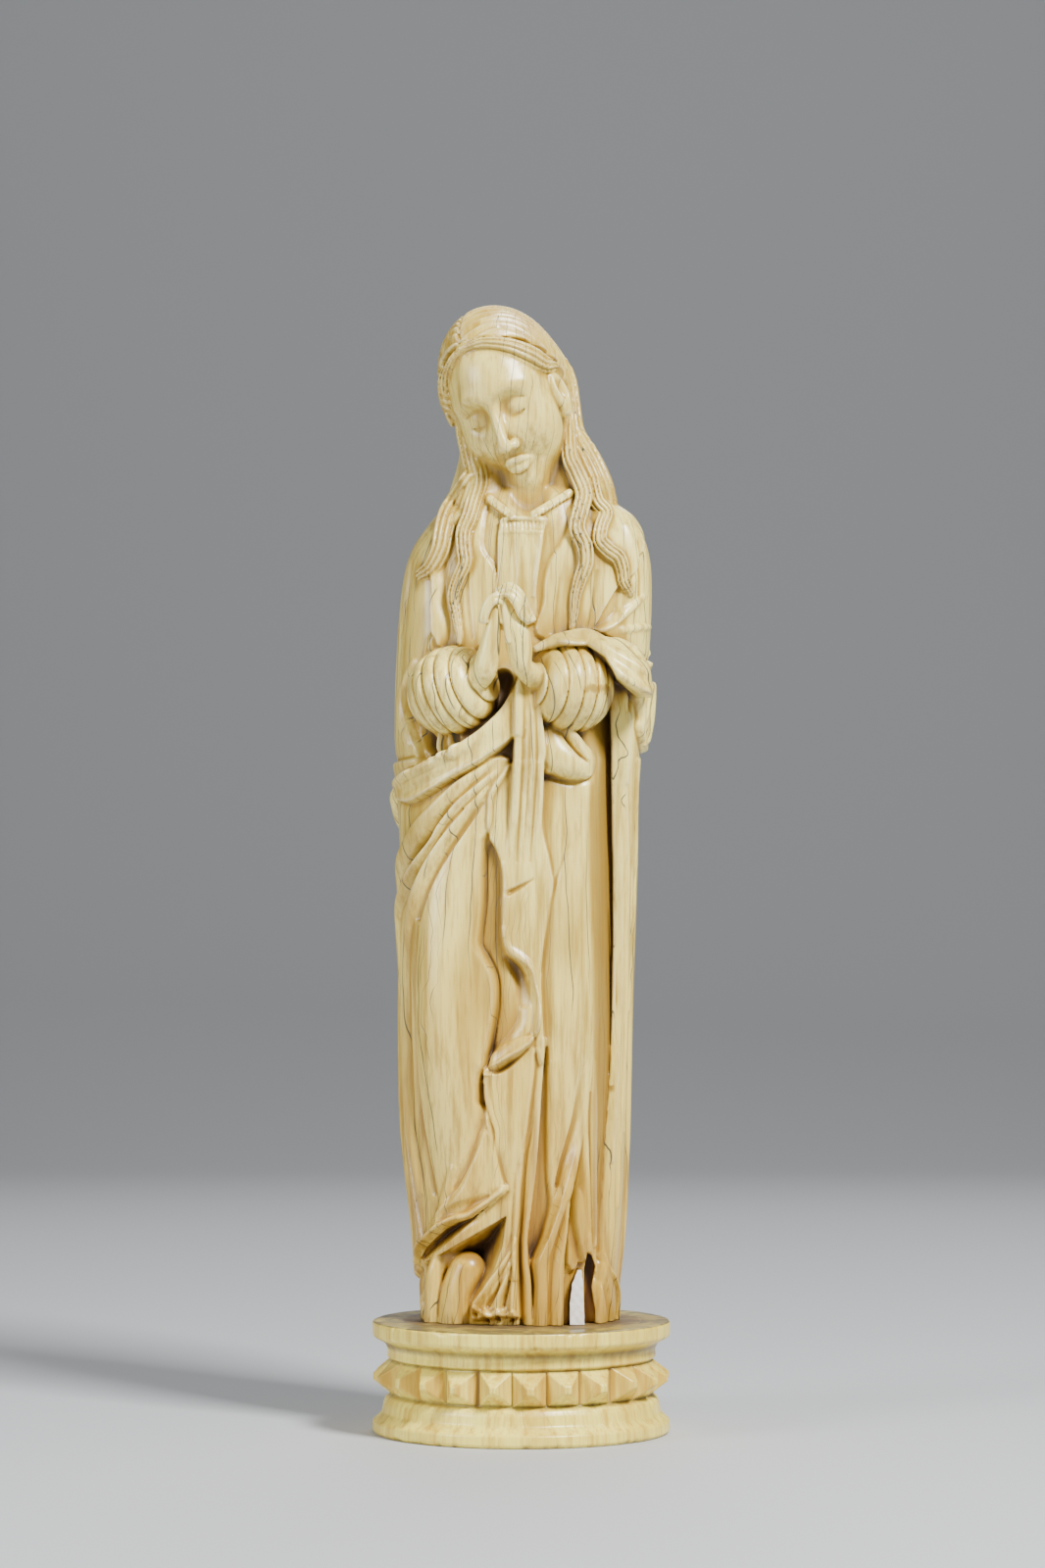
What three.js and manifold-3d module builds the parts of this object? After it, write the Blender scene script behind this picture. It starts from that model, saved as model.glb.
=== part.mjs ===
// A carved ivory statuette of a mourning virgin. She stands with clasped hands on a round plinth
// that carries a band of pyramid studs, and a white filling mends her broken hem.
// Millimetres, +Z up. The figure faces -Y, and the origin is the centre of the plinth's underside.
import * as THREE from "three";
import { mergeVertices } from "three/addons/utils/BufferGeometryUtils.js";
import Module from "manifold-3d";

const wasm = await Module();
wasm.setup();

const { clamp, lerp, degToRad } = THREE.MathUtils;

// Driving dimensions of the plinth
const PLINTH_TOP = 29.5;
const PLATE_RADIUS = 39.9;
const FOOT_RADIUS = 39.7;
const BAND_RADIUS = 34.6;
const BAND_BOTTOM = 10.2;
const BAND_TOP = 19.4;
const STUD_COUNT = 24;
const STUD_TIP_RADIUS = 39.8;
const STUD_TIP_WIDTH = 1.3;
const STUD_TURN = 3.5;
const PLINTH_SEGMENTS = 48;

// Driving dimensions of the figure
const FIGURE_TRIANGLES = 6800;
const CELL = 0.92;
const SKIRT_BOTTOM = 26;
const HEAD_CENTRE = [-3.4, -3.4, 274.6];
const HEAD_SCALE = 1.05;
const HEAD_TALL = 1.06;
const HEAD_PARTING = 2.5;
const HEAD_PITCH = 18;
const HEAD_YAW = 22;
const HEAD_ROLL = 19;
const LEFT_SLEEVE_RADIUS = 12;
const RIGHT_SLEEVE_RADIUS = 12.2;
const SLEEVE_RINGS = 3.9;
const FILLING_GAP = 0.35;

// The robe's smooth outline: height, left edge, right edge, front and back
const OUTLINE = [
  [24, -25.4, 22.4, -17.4, 18],
  [34, -25.6, 22.8, -17.4, 18.5],
  [54, -27, 25, -17.4, 20],
  [80, -30, 26.2, -17.6, 21.5],
  [110, -31, 27, -18, 22.5],
  [146, -31.2, 28.6, -17.8, 23],
  [166, -31.8, 29.2, -17.4, 23],
  [180, -32.2, 30.2, -17.6, 23],
  [200, -32, 32.6, -15.6, 22.5],
  [222, -30.6, 33.8, -14.6, 21],
  [234, -28, 33, -13.8, 19],
  [242, -22.6, 29.6, -12.6, 17],
  [247, -16.6, 24.6, -11, 15],
  [250.5, -10, 17, -8.6, 12],
  [252.5, -4, 8, -4, 7],
];
const OUTLINE_POWER = 2.3;

// Small tools

const dot = (a, b) => a[0] * b[0] + a[1] * b[1] + a[2] * b[2];
const minus = (a, b) => [a[0] - b[0], a[1] - b[1], a[2] - b[2]];
const crossProduct = (e, f) => [
  e[1] * f[2] - e[2] * f[1],
  e[2] * f[0] - e[0] * f[2],
  e[0] * f[1] - e[1] * f[0],
];

// Union and cut of two distances, rounded over the width k
const join = (a, b, k) => {
  const h = Math.max(k - Math.abs(a - b), 0) / k;
  return Math.min(a, b) - h * h * k * 0.25;
};
const cut = (a, b, k) => -join(-a, b, k);

function smoothstep(x, low, high) {
  const t = clamp((x - low) / (high - low), 0, 1);
  return t * t * (3 - 2 * t);
}

// The row of a table at a height, blended between its rows, which rise by their first value
function rowAt(rows, height) {
  let i = 0;
  while (i + 2 < rows.length && rows[i + 1][0] < height) i++;
  const [a, b] = [rows[i], rows[i + 1]];
  const t = clamp((height - a[0]) / (b[0] - a[0]), 0, 1);
  return a.map((value, k) => lerp(value, b[k], t));
}

// A smooth path through points that may carry widths and heights as further components
function smoothPath(points, steps = 6, closed = false) {
  if (points.length < 3) return points;
  const { length } = points;
  const pick = (i) => points[closed ? (i + length) % length : clamp(i, 0, length - 1)];
  const path = [];
  for (let i = 0; i < (closed ? length : length - 1); i++) {
    const [p0, p1, p2, p3] = [-1, 0, 1, 2].map((k) => pick(i + k));
    for (let s = 0; s < steps; s++) {
      const t = s / steps;
      path.push(
        p1.map((value, k) => {
          const v0 = (p2[k] - p0[k]) / 2;
          const v1 = (p3[k] - value) / 2;
          const cubic = 2 * (value - p2[k]) + v0 + v1;
          const square = 3 * (p2[k] - value) - 2 * v0 - v1;
          return ((cubic * t + square) * t + v0) * t + value;
        }),
      );
    }
  }
  if (!closed) path.push(points[length - 1]);
  return path;
}

// The nearest place on a path of [x, y, ...] points: its distance, side and blended components
function nearest(path, x, y) {
  let best = { distance: Infinity };
  for (let i = 0; i + 1 < path.length; i++) {
    const [a, b] = [path[i], path[i + 1]];
    const [dx, dy] = [b[0] - a[0], b[1] - a[1]];
    const t = clamp(((x - a[0]) * dx + (y - a[1]) * dy) / (dx * dx + dy * dy + 1e-9), 0, 1);
    const [ex, ey] = [x - a[0] - t * dx, y - a[1] - t * dy];
    const distance = Math.hypot(ex, ey);
    if (distance < best.distance) {
      best = { distance, side: Math.sign(dx * ey - dy * ex), index: i, t };
    }
  }
  return best;
}

// The signed distance to a closed outline of [x, y] points, positive inside
function inset(outline, x, y) {
  let inside = false;
  let distance = Infinity;
  for (let i = 0, j = outline.length - 1; i < outline.length; j = i++) {
    const [a, b] = [outline[i], outline[j]];
    if (a[1] > y !== b[1] > y && x < ((b[0] - a[0]) * (y - a[1])) / (b[1] - a[1]) + a[0]) {
      inside = !inside;
    }
    const [dx, dy] = [b[0] - a[0], b[1] - a[1]];
    const t = clamp(((x - a[0]) * dx + (y - a[1]) * dy) / (dx * dx + dy * dy + 1e-9), 0, 1);
    distance = Math.min(distance, Math.hypot(x - a[0] - t * dx, y - a[1] - t * dy));
  }
  return inside ? distance : -distance;
}

// The robe's section at a height: centre, half width, half depth
const outlineRows = smoothPath(OUTLINE, 4);
function section(z) {
  const [, left, right, front, back] = rowAt(outlineRows, z);
  return {
    x: (left + right) / 2,
    y: (front + back) / 2,
    halfWidth: (right - left) / 2,
    halfDepth: (back - front) / 2,
  };
}

// The girth position runs around the robe from 0 at the middle of the front, in millimetres
// measured on an ellipse of average size, positive to the right, and meets itself at the back.
const GIRTH_WIDTH = 32;
const GIRTH_DEPTH = 22;
const GIRTH_STEPS = 720;
const girthTable = [0];
for (let i = 1; i <= GIRTH_STEPS; i++) {
  const angle = (Math.PI * (i - 0.5)) / GIRTH_STEPS;
  const speed = Math.hypot(GIRTH_WIDTH * Math.cos(angle), GIRTH_DEPTH * Math.sin(angle));
  girthTable.push(girthTable[i - 1] + (speed * Math.PI) / GIRTH_STEPS);
}
const HALF_GIRTH = girthTable[GIRTH_STEPS];
function girthOfAngle(angle) {
  const place = (Math.abs(angle) / Math.PI) * GIRTH_STEPS;
  const i = Math.min(Math.floor(place), GIRTH_STEPS - 1);
  return Math.sign(angle) * lerp(girthTable[i], girthTable[i + 1], place - i);
}

// The girth position of the front surface at a given x and height, carried on past the sides
function girthOfFront(x, z) {
  const { x: centre, halfWidth } = section(z);
  const reach = (x - centre) / halfWidth;
  const across = clamp(reach, -0.99, 0.99);
  const forward = Math.pow(1 - Math.pow(Math.abs(across), OUTLINE_POWER), 1 / OUTLINE_POWER);
  return girthOfAngle(Math.atan2(across, forward)) + (reach - across) * halfWidth * 1.6;
}

// The y of the smooth front surface at a given x and height
function frontOf(x, z) {
  const { x: centre, y, halfWidth, halfDepth } = section(z);
  const across = clamp(Math.abs(x - centre) / halfWidth, 0, 0.995);
  return y - halfDepth * Math.pow(1 - Math.pow(across, OUTLINE_POWER), 1 / OUTLINE_POWER);
}

// Relief: how far the cloth stands out from the smooth robe at each girth position and height

const RELIEF_STEP = 0.6;
const RELIEF_TOP = 256;
const reliefColumns = Math.round((2 * HALF_GIRTH) / RELIEF_STEP);
const reliefRows = Math.round((RELIEF_TOP - SKIRT_BOTTOM) / RELIEF_STEP);
const relief = new Float32Array(reliefColumns * reliefRows);

// Calls change(u, z, height) for the relief cells within a box and stores what it returns
function changeRelief(points, margin, change) {
  for (const wrap of [-2 * HALF_GIRTH, 0, 2 * HALF_GIRTH]) {
    const us = points.map((p) => p[0] + wrap);
    const zs = points.map((p) => p[1]);
    const firstColumn = Math.ceil((Math.min(...us) - margin + HALF_GIRTH) / RELIEF_STEP);
    const lastColumn = Math.floor((Math.max(...us) + margin + HALF_GIRTH) / RELIEF_STEP);
    const firstRow = Math.ceil((Math.min(...zs) - margin - SKIRT_BOTTOM) / RELIEF_STEP);
    const lastRow = Math.floor((Math.max(...zs) + margin - SKIRT_BOTTOM) / RELIEF_STEP);
    for (let r = Math.max(firstRow, 0); r <= Math.min(lastRow, reliefRows - 1); r++) {
      for (let c = Math.max(firstColumn, 0); c <= Math.min(lastColumn, reliefColumns - 1); c++) {
        const u = c * RELIEF_STEP - HALF_GIRTH - wrap;
        const z = r * RELIEF_STEP + SKIRT_BOTTOM;
        const cell = r * reliefColumns + c;
        relief[cell] = change(u, z, relief[cell]);
      }
    }
  }
}

const toGirth = (points, onFront) =>
  onFront ? points.map(([x, z, ...rest]) => [girthOfFront(x, z), z, ...rest]) : points;

// A fold along points [x, z, half width, lift]. A power under 1 makes a full roll and over 1 a
// soft swell, and lean moves the crest towards the right hand side of the fold's direction.
function fold(points, { power = 1.5, lean = 0, onFront = true } = {}) {
  const path = smoothPath(toGirth(points, onFront));
  const reach = Math.max(...path.map((p) => p[2]));
  changeRelief(path, reach, (u, z, height) => {
    const { distance, side, index, t } = nearest(path, u, z);
    const width = lerp(path[index][2], path[index + 1][2], t);
    const lift = lerp(path[index][3], path[index + 1][3], t);
    const s = clamp((-side * distance) / width, -1, 1);
    const shifted = s > lean ? (s - lean) / (1 - lean) : (s - lean) / (1 + lean);
    return height + lift * Math.pow(1 - shifted * shifted, power);
  });
}

// Cloth laid over a closed outline. Keep is how much of what lies beneath still shows, soft is
// the width of its edge, and shade cuts a line of that depth just outside the edge. Between the
// two heights of fade the cloth thins out to nothing. A lift can also be a function of the place.
function lay(outline, lift, { keep = 1, soft = 0.8, shade = 0, fade, onFront = true } = {}) {
  const path = smoothPath(toGirth(outline, onFront), 4, true);
  changeRelief(path, 3 + soft, (u, z, height) => {
    const inner = inset(path, u, z);
    const thin = fade ? 1 - smoothstep(z, ...fade) : 1;
    const amount = smoothstep(inner, -soft, soft);
    const line = shade * Math.exp(-Math.pow((inner + soft) / 1.1, 2)) * (1 - amount) * thin;
    const raised = typeof lift === "function" ? lift(u, z) : lift;
    return height * (1 - amount * thin * (1 - keep)) + raised * amount * thin - line;
  });
}

// The value at a place, blended between values given at several places
const blend = (at, places, values) => rowAt(places.map((place, i) => [place, values[i]]), at)[1];

// Dress and mantle swelling over both legs
fold(
  [
    [-19, 164, 11, 0.4], [-20, 134, 12, 3.2], [-19.5, 106, 12, 3.6], [-18, 82, 12, 1.6],
    [-16, 66, 10, 0.4],
  ],
  { power: 1.5 },
);
fold(
  [[12, 170, 8, 0.8], [14.2, 146, 9, 2.6], [14, 116, 9, 3], [12.4, 94, 8, 2.2], [11, 78, 6, 0.6]],
  { power: 1.3 },
);
fold([[16.4, 176, 4, 1], [18.4, 160, 3.4, 1], [19.4, 136, 3, 0.8], [19.4, 112, 3, 0.6]], { power: 1.2 });

// The back layers of the falling front edge: the lowest one, then the middle one over it
lay(
  [
    [-8.6, 98], [-9.5, 92.3], [-9.1, 87.8], [-8.1, 84.2], [-6.9, 80], [-6.9, 74.7], [-7.8, 69.6],
    [-9.6, 64.4], [-6.4, 63.6], [-2.4, 64], [-0.8, 72.5], [1.2, 80], [2.6, 90], [3.4, 100], [2, 105],
    [-7, 101],
  ],
  0.8,
  { soft: 0.6, fade: [82, 66], shade: 0.3 },
);
fold(
  [
    [-9, 96, 1, 0.9], [-9, 91.6, 1.2, 1.1], [-8.6, 87.4, 1.3, 1.1], [-7.4, 82, 1.5, 1],
    [-6.8, 77, 1.8, 0.8], [-7.2, 71.6, 2.2, 0.5], [-8.8, 65.4, 2.6, 0.2],
  ],
  { power: 1, lean: 0.5 },
);
fold(
  [[3.4, 101, 1.4, 0.5], [2.6, 90, 1.6, 0.6], [1.2, 80, 1.6, 0.7], [-0.6, 73, 1.4, 0.3]],
  { power: 1, lean: -0.5 },
);
lay(
  [
    [-8.6, 156], [-10.4, 150], [-10.8, 140], [-11.3, 132], [-11.2, 128.6], [-9.4, 125], [-7.5, 121],
    [-6.9, 115], [-7.5, 109.6], [-8.3, 104.4], [-9, 97], [-7, 97.6], [-3.2, 100.4], [0.8, 103],
    [3, 107.4], [3.7, 113.5], [3, 118], [1.8, 122.4], [-0.8, 125], [-3.2, 127], [-4.8, 131],
    [-4.8, 140], [-4.8, 148], [-6.4, 154],
  ],
  -1.2,
  { soft: 0.6 },
);
fold(
  [
    [-8.8, 96.8, 2.4, 1.2], [-5.6, 99.6, 3, 2.2], [-1.2, 103.4, 3.4, 2.8], [1.6, 108, 3.2, 2.6],
    [2, 113.5, 2.8, 1.8], [1.4, 118.6, 2.2, 0.6],
  ],
  { power: 0.9, lean: 0.55 },
);
fold(
  [[-8.4, 96, 1, -1.6], [-5.6, 96.6, 1.5, -2.4], [-2.4, 98.8, 1.4, -1.8], [1, 101.8, 1, -0.8]],
  { power: 1 },
);

// The mantle wrapped over the left leg, with its sharp edge along the falling front
const LEG_EDGE = [
  [-8, 160], [-10, 156.4], [-10.5, 151.7], [-10.6, 140.5], [-11.1, 134.9], [-11.5, 129.2], [-9.7, 126],
  [-8, 122.8], [-7, 119.5], [-6.8, 115], [-7.4, 109.6], [-8.3, 104.4], [-9.4, 99], [-10.8, 94],
  [-11.4, 88],
];
fold(LEG_EDGE.slice(1, -2).map(([x, z]) => [x - 1, z, 2, 0.35]), { power: 1, lean: -0.4 });
fold(LEG_EDGE.slice(1, -1).map(([x, z]) => [x + 0.5, z, 0.8, -0.7]), { power: 1 });

// The front layer, its turned lips and the long fluted end that hangs from the waist
lay(
  [
    [-4.6, 174], [-7.8, 169], [-8.3, 164.6], [-8.3, 157.4], [-6.6, 153.3], [-5.1, 148.5],
    [-4.9, 143.7], [-5.3, 137.3], [-5.1, 130], [-3.4, 126.6], [-0.9, 124.8], [1.8, 122.4], [3, 118],
    [3.8, 113.5], [3.2, 107], [4, 100], [5.2, 98], [5.6, 104], [5.3, 112], [5, 120], [5.6, 127.6],
    [6.8, 136.5], [7.8, 143.7], [7, 151], [5.4, 160], [5.4, 176], [-2, 177],
  ],
  1.3,
  { soft: 0.5, shade: 0.12 },
);
fold(
  [
    [-4.6, 133, 1.6, 0.7], [-3.4, 128.4, 2.2, 1.2], [-0.4, 126, 2.4, 1.6], [2.2, 122.8, 2, 1.4],
    [3.4, 117.6, 1.6, 1.2], [4, 112, 1.4, 0.9], [3.6, 107, 1.2, 0.5],
  ],
  { power: 0.9, lean: 0.55 },
);
fold(
  [[-3.8, 124.6, 1, -1], [-1.4, 123, 1.6, -1.8], [0.8, 120.6, 1.6, -1.4], [1.6, 117, 1.2, -0.8]],
  { power: 1.1 },
);
fold(
  [[-4.6, 150, 1.2, 0.5], [-4.2, 143, 1.4, 0.7], [-4.4, 137, 1.4, 0.7], [-4.2, 132, 1.2, 0.5]],
  { power: 1, lean: 0.4 },
);

// The narrow sunk panel between the pleats, with its sharp sides
lay(
  [
    [6.6, 102], [7, 90], [6.9, 80], [7.1, 69], [7.8, 60.7], [5.8, 52.4], [2.9, 46.6], [1.7, 50],
    [1.9, 54], [2.9, 62], [3.9, 70], [4.6, 80], [5.2, 90], [5.9, 98],
  ],
  -1.7,
  { soft: 0.5 },
);
fold(
  [
    [5.6, 104, 1.1, 0.5], [5, 94, 1.2, 0.9], [4.2, 83, 1.2, 1.1], [3.2, 72, 1.2, 1.2],
    [2.1, 62, 1.2, 1.2], [1.1, 54, 1.2, 1.3], [0.9, 47, 1.3, 1.4], [1.7, 40, 1.4, 1.3],
    [2.3, 27, 1.5, 1.2],
  ],
  { power: 0.9, lean: -0.35 },
);
fold(
  [
    [3.4, 100, 0.9, -0.3], [2.8, 90, 1, -0.5], [1.9, 80, 1.1, -0.8], [0.9, 70, 1.1, -1],
    [0.1, 60, 1.1, -1], [-0.4, 50, 1.1, -1], [-0.2, 40, 1.1, -0.8], [0.4, 27, 1.1, -0.8],
  ],
  { power: 1.2 },
);
fold(
  [
    [0.4, 75, 0.9, 0.3], [-0.6, 66, 1.2, 0.8], [-1.2, 57, 1.3, 1], [-1.6, 48, 1.3, 1],
    [-1.4, 42, 1.2, 0.8],
  ],
  { power: 0.9, lean: 0.3 },
);

// The fan of pleats on the right, above the broken hem
lay(
  [
    [16.2, 94], [14.6, 80], [12.9, 74], [10.3, 67], [8.1, 59.4], [5.8, 52.4], [2.9, 46.6], [3.4, 40],
    [3.6, 27], [10.4, 27], [10.6, 43.4], [11.2, 50], [11.8, 57.5], [12.8, 64], [14.3, 71], [15.4, 78],
    [16.8, 90],
  ],
  1.9,
  { soft: 0.5, fade: [58, 88], shade: 0.54 },
);
fold(
  [
    [15.8, 90, 0.9, 0.2], [14.6, 78, 1.2, 0.9], [12.4, 69, 1.5, 1.2], [9.6, 60.4, 1.7, 1.3],
    [7, 52.8, 1.9, 1.3], [4.8, 45.6, 1.9, 1.2], [4.8, 36, 1.9, 1], [4.8, 27, 1.9, 1],
  ],
  { power: 0.9, lean: 0.2 },
);
fold(
  [
    [11, 62, 0.7, -0.3], [9, 54, 0.9, -0.8], [7.4, 46, 1, -0.9], [6.8, 36, 1, -0.8],
    [6.6, 27, 1, -0.8],
  ],
  { power: 1.2 },
);
fold(
  [
    [11.8, 61, 0.7, 0.2], [10.2, 52, 0.9, 0.6], [8.9, 44, 1, 0.8], [8.8, 34, 1.1, 0.8],
    [8.8, 27, 1.1, 0.8],
  ],
  { power: 1 },
);
fold(
  [
    [15.4, 98, 1.2, -0.4], [14.4, 90, 1.6, -1], [13.4, 82, 1.4, -1.2], [11.4, 74, 1.1, -1.2],
    [9.4, 66, 0.9, -0.9],
  ],
  { power: 1.2 },
);
fold(
  [[13.2, 66, 0.9, -1], [12.1, 58, 1, -2], [11.4, 50, 1, -2.4], [11, 42, 1, -2.2], [10.9, 27, 1, -2]],
  { power: 1 },
);
lay(
  [[12.4, 66], [12, 58], [11.9, 50], [11.9, 44], [13.4, 43], [15, 45], [15.2, 54], [14.6, 64]],
  0.4,
  { soft: 0.5 },
);
lay(
  [
    [17.4, 98], [15.4, 80], [14.6, 70], [13.9, 65], [13.3, 59], [13.9, 52.4], [15, 47.6], [15.8, 45.7],
    [17.3, 47.6], [17.6, 58], [17.6, 72], [18, 90],
  ],
  1.7,
  { soft: 0.5, fade: [58, 86], shade: 0.48 },
);
fold(
  [
    [17, 92, 0.8, 0.2], [16.4, 78, 1.2, 0.8], [15.9, 66, 1.4, 1], [15.8, 56, 1.5, 1],
    [16.4, 49, 1.2, 0.9],
  ],
  { power: 0.9 },
);
fold(
  [
    [19.2, 98, 0.9, 0.4], [19.2, 84, 1.1, 1], [19, 70, 1.1, 1.1], [19, 58, 1.1, 1],
    [19.2, 50, 0.9, 0.7],
  ],
  { power: 0.9 },
);
fold(
  [[18, 90, 0.6, -0.4], [17.9, 76, 0.7, -0.8], [17.8, 62, 0.8, -1], [17.8, 52, 0.8, -1]],
  { power: 1.1 },
);

// The broken hem: a recess under the mended fold, a dark gap and the mantle's corner beside it
lay([[11.6, 44.4], [13.4, 43.4], [16.8, 45.6], [17, 27], [11.4, 27]], -1.2, { soft: 0.5 });
lay(
  [
    [19.2, 44], [20.2, 45.6], [21.4, 43.4], [22.6, 40.3], [24.4, 34], [24.6, 24], [18, 24],
    [18.2, 34.6],
  ],
  0.9,
  { soft: 0.9 },
);
fold(
  [
    [20.4, 47.6, 0.8, 0.4], [21.6, 43, 0.9, 1], [22.8, 38, 1, 1.2], [24, 33, 1.1, 1.2],
    [24.4, 27, 1.2, 1.2],
  ],
  { power: 0.9 },
);
fold([[19.4, 42, 1.2, -0.6], [20.6, 36, 1.6, -1], [21.4, 27, 1.8, -0.8]], { power: 1.2 });

// The dark hollow under the mantle's lifted hem, with the shoe and the flared, scrolled pleat in it
const HEM = [
  [-4.4, 64.5], [-6.3, 62.6], [-10, 59.7], [-12.8, 57.5], [-16.6, 56.2], [-19.8, 54.3], [-22.4, 52],
  [-24.9, 49.2], [-26.5, 46], [-27.9, 43.6],
];
fold(
  [[-27.2, 37, 0.8, 0.4], [-27.8, 34.6, 1.2, 1.5], [-27.2, 31.6, 1.2, 1.2], [-26.8, 26, 1.2, 0.8]],
  { power: 0.9 },
);
lay(
  [
    [-1.4, 52], [-3.6, 48], [-6.2, 44.2], [-9.6, 39.8], [-12.6, 35.8], [-12.4, 33.6], [-9, 32],
    [-7, 27], [-1, 27], [-0.8, 40],
  ],
  0.5,
  { soft: 0.6, shade: 0.36 },
);
fold(
  [[-2, 51, 0.8, 0.4], [-5, 45.4, 1.1, 1], [-8.6, 39.8, 1.4, 1.3], [-11.6, 35.2, 1.6, 1.4]],
  { power: 0.9 },
);
fold([[-2, 48, 0.7, 0.4], [-4.2, 42, 1, 1], [-5.8, 37, 1.2, 1.2], [-6.4, 34.6, 1.2, 1]], { power: 0.9 });
fold(
  [[-1.8, 46, 0.6, 0.4], [-2.2, 40, 0.9, 1], [-2.4, 35, 1.1, 1.2], [-2.4, 33.6, 1.1, 1]],
  { power: 0.9 },
);
fold([[-3.4, 44, 0.6, -0.5], [-6.6, 38, 0.9, -1.2], [-8.8, 34.6, 1, -1.4]], { power: 1.1 });
fold([[-3, 41, 0.6, -0.5], [-4.2, 37, 0.8, -1.1], [-4.6, 34.6, 0.8, -1.1]], { power: 1.1 });
for (const [x, z, r] of [[-12.4, 34.4, 1.5], [-9.6, 33, 1.4], [-6.4, 33.6, 1.3], [-2.6, 33, 1.5]]) {
  fold(
    [[x - 0.8, z - 1.6, r, 0.6], [x + 0.6, z - 0.8, r, 1.5], [x + 1.4, z - 2.4, r, 0.6]],
    { power: 0.8 },
  );
  fold(
    [[x - 0.4, z - 2.4, 0.5, -0.8], [x + 0.5, z - 2, 0.6, -1.6], [x + 0.6, z - 3, 0.5, -0.8]],
    { power: 1 },
  );
}
lay([[-14, 30.4], [-1, 31.6], [0, 27], [-15, 27]], -1.4, { soft: 0.6 });

// The mantle over the left leg ends in a rising hem with a thick lip
lay(
  [
    ...[...HEM].reverse(), [-5.4, 69], [-6.8, 75], [-7.6, 80.5], [-9.4, 86],
    ...[...LEG_EDGE].reverse(), [-7.4, 168], [-3, 178], [-16, 177], [-30, 178], [-38, 170], [-38, 110],
    [-36, 44],
  ],
  1.2,
  { soft: 0.6, shade: 0.36 },
);
fold(HEM.map(([x, z]) => [x + 0.2, z + 0.8, 1.1, 1.1]), { power: 0.8 });
fold(
  [
    [-26.8, 44.4, 1.6, 0.8], [-24, 50.4, 2.4, 1.6], [-18.4, 58, 2.8, 1.8], [-13.4, 64.6, 2.6, 1.6],
    [-10.6, 72, 2.2, 1.2], [-9.2, 79, 1.8, 0.6],
  ],
  { power: 1 },
);
fold(
  [[-16.4, 66, 1.4, -0.6], [-12.4, 74, 1.6, -0.9], [-10.2, 82, 1.6, -1.1], [-10, 92, 1.4, -1]],
  { power: 1.2 },
);
fold([[-21, 56, 1.4, 0.6], [-18.6, 63, 1.8, 1], [-16.6, 70, 1.6, 0.6]], { power: 1.2 });
fold(
  [[-8.6, 63, 1.2, -0.5], [-13, 61, 1.5, -1.1], [-19, 57.8, 1.6, -1.1], [-23.8, 52.4, 1.3, -0.6]],
  { power: 1.2 },
);

// Folds drawn slantwise from the waist, over the hip and down the left side
fold(
  [
    [-4.4, 179.8, 0.7, 0.4], [-9.7, 175.2, 1.2, 1.2], [-14.5, 171.2, 1.9, 2], [-19.3, 165.5, 2.7, 2.5],
    [-25, 159.1, 3.2, 2.4], [-29, 153.5, 3.2, 1.9], [-31.6, 148.6, 2.8, 1.4], [-33, 144, 2.2, 1],
  ],
  { power: 1, lean: 0.35 },
);
fold(
  [
    [-15.6, 167, 0.8, -0.4], [-19.7, 161.5, 1.3, -1.8], [-22.5, 156.7, 1.7, -2.4],
    [-26.6, 151.2, 1.9, -2.2], [-29.6, 146, 1.5, -1.2],
  ],
  { power: 1.1 },
);
fold(
  [
    [-6.4, 174.4, 0.6, 0.4], [-9.4, 171.6, 0.9, 1.2], [-12.3, 168.6, 1.2, 2], [-16.1, 164.3, 1.5, 2.6],
    [-20.9, 157.3, 1.8, 2.8], [-25.8, 150, 2, 2.8], [-29, 143.6, 2, 2.4], [-31, 137.6, 1.9, 1.8],
    [-32.2, 130, 1.8, 1.2], [-32.6, 120, 1.6, 0.6],
  ],
  { power: 0.9, lean: 0.2 },
);
fold(
  [
    [-8.6, 170.2, 0.6, 0.3], [-11.2, 166.8, 0.9, 1.1], [-15.3, 161.4, 1.3, 1.9],
    [-19.3, 154.6, 1.5, 2.3], [-22.9, 147.4, 1.7, 2.3], [-25.8, 140, 1.8, 2.2], [-27.6, 132.5, 1.8, 2],
    [-28.5, 124, 1.8, 1.8], [-28.7, 112, 1.8, 1.6], [-28.8, 96, 1.8, 1.7], [-27.8, 80, 1.8, 1.6],
    [-25.4, 64, 1.6, 1],
  ],
  { power: 0.9, lean: 0.2 },
);
fold(
  [
    [-14, 164.6, 0.5, -0.5], [-17.6, 159.8, 0.8, -1.2], [-21.6, 153, 1, -1.8], [-24.6, 147, 1.2, -2.2],
    [-27, 141.6, 1.3, -2.6], [-28.9, 135.6, 1.4, -3], [-30, 128, 1.6, -3.2], [-30.5, 118, 1.8, -3.2],
    [-30.7, 106, 2, -3.2], [-30.6, 92, 1.9, -3], [-29.4, 76, 1.9, -2.8], [-27.2, 62, 1.7, -2],
    [-25.4, 52, 1.2, -1],
  ],
  { power: 0.9 },
);
fold(
  [
    [-9.8, 166, 0.7, -0.4], [-14, 160.2, 1, -1.2], [-18.6, 152.4, 1.2, -1.6], [-22, 144.6, 1.3, -1.5],
    [-24.4, 136, 1.3, -1],
  ],
  { power: 1 },
);
fold(
  [
    [-24.6, 134, 1, -0.5], [-25.8, 118, 1.3, -1], [-26, 100, 1.3, -1.1], [-24.8, 82, 1.3, -1],
    [-21.8, 64, 1.3, -0.6],
  ],
  { power: 1.2 },
);

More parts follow.
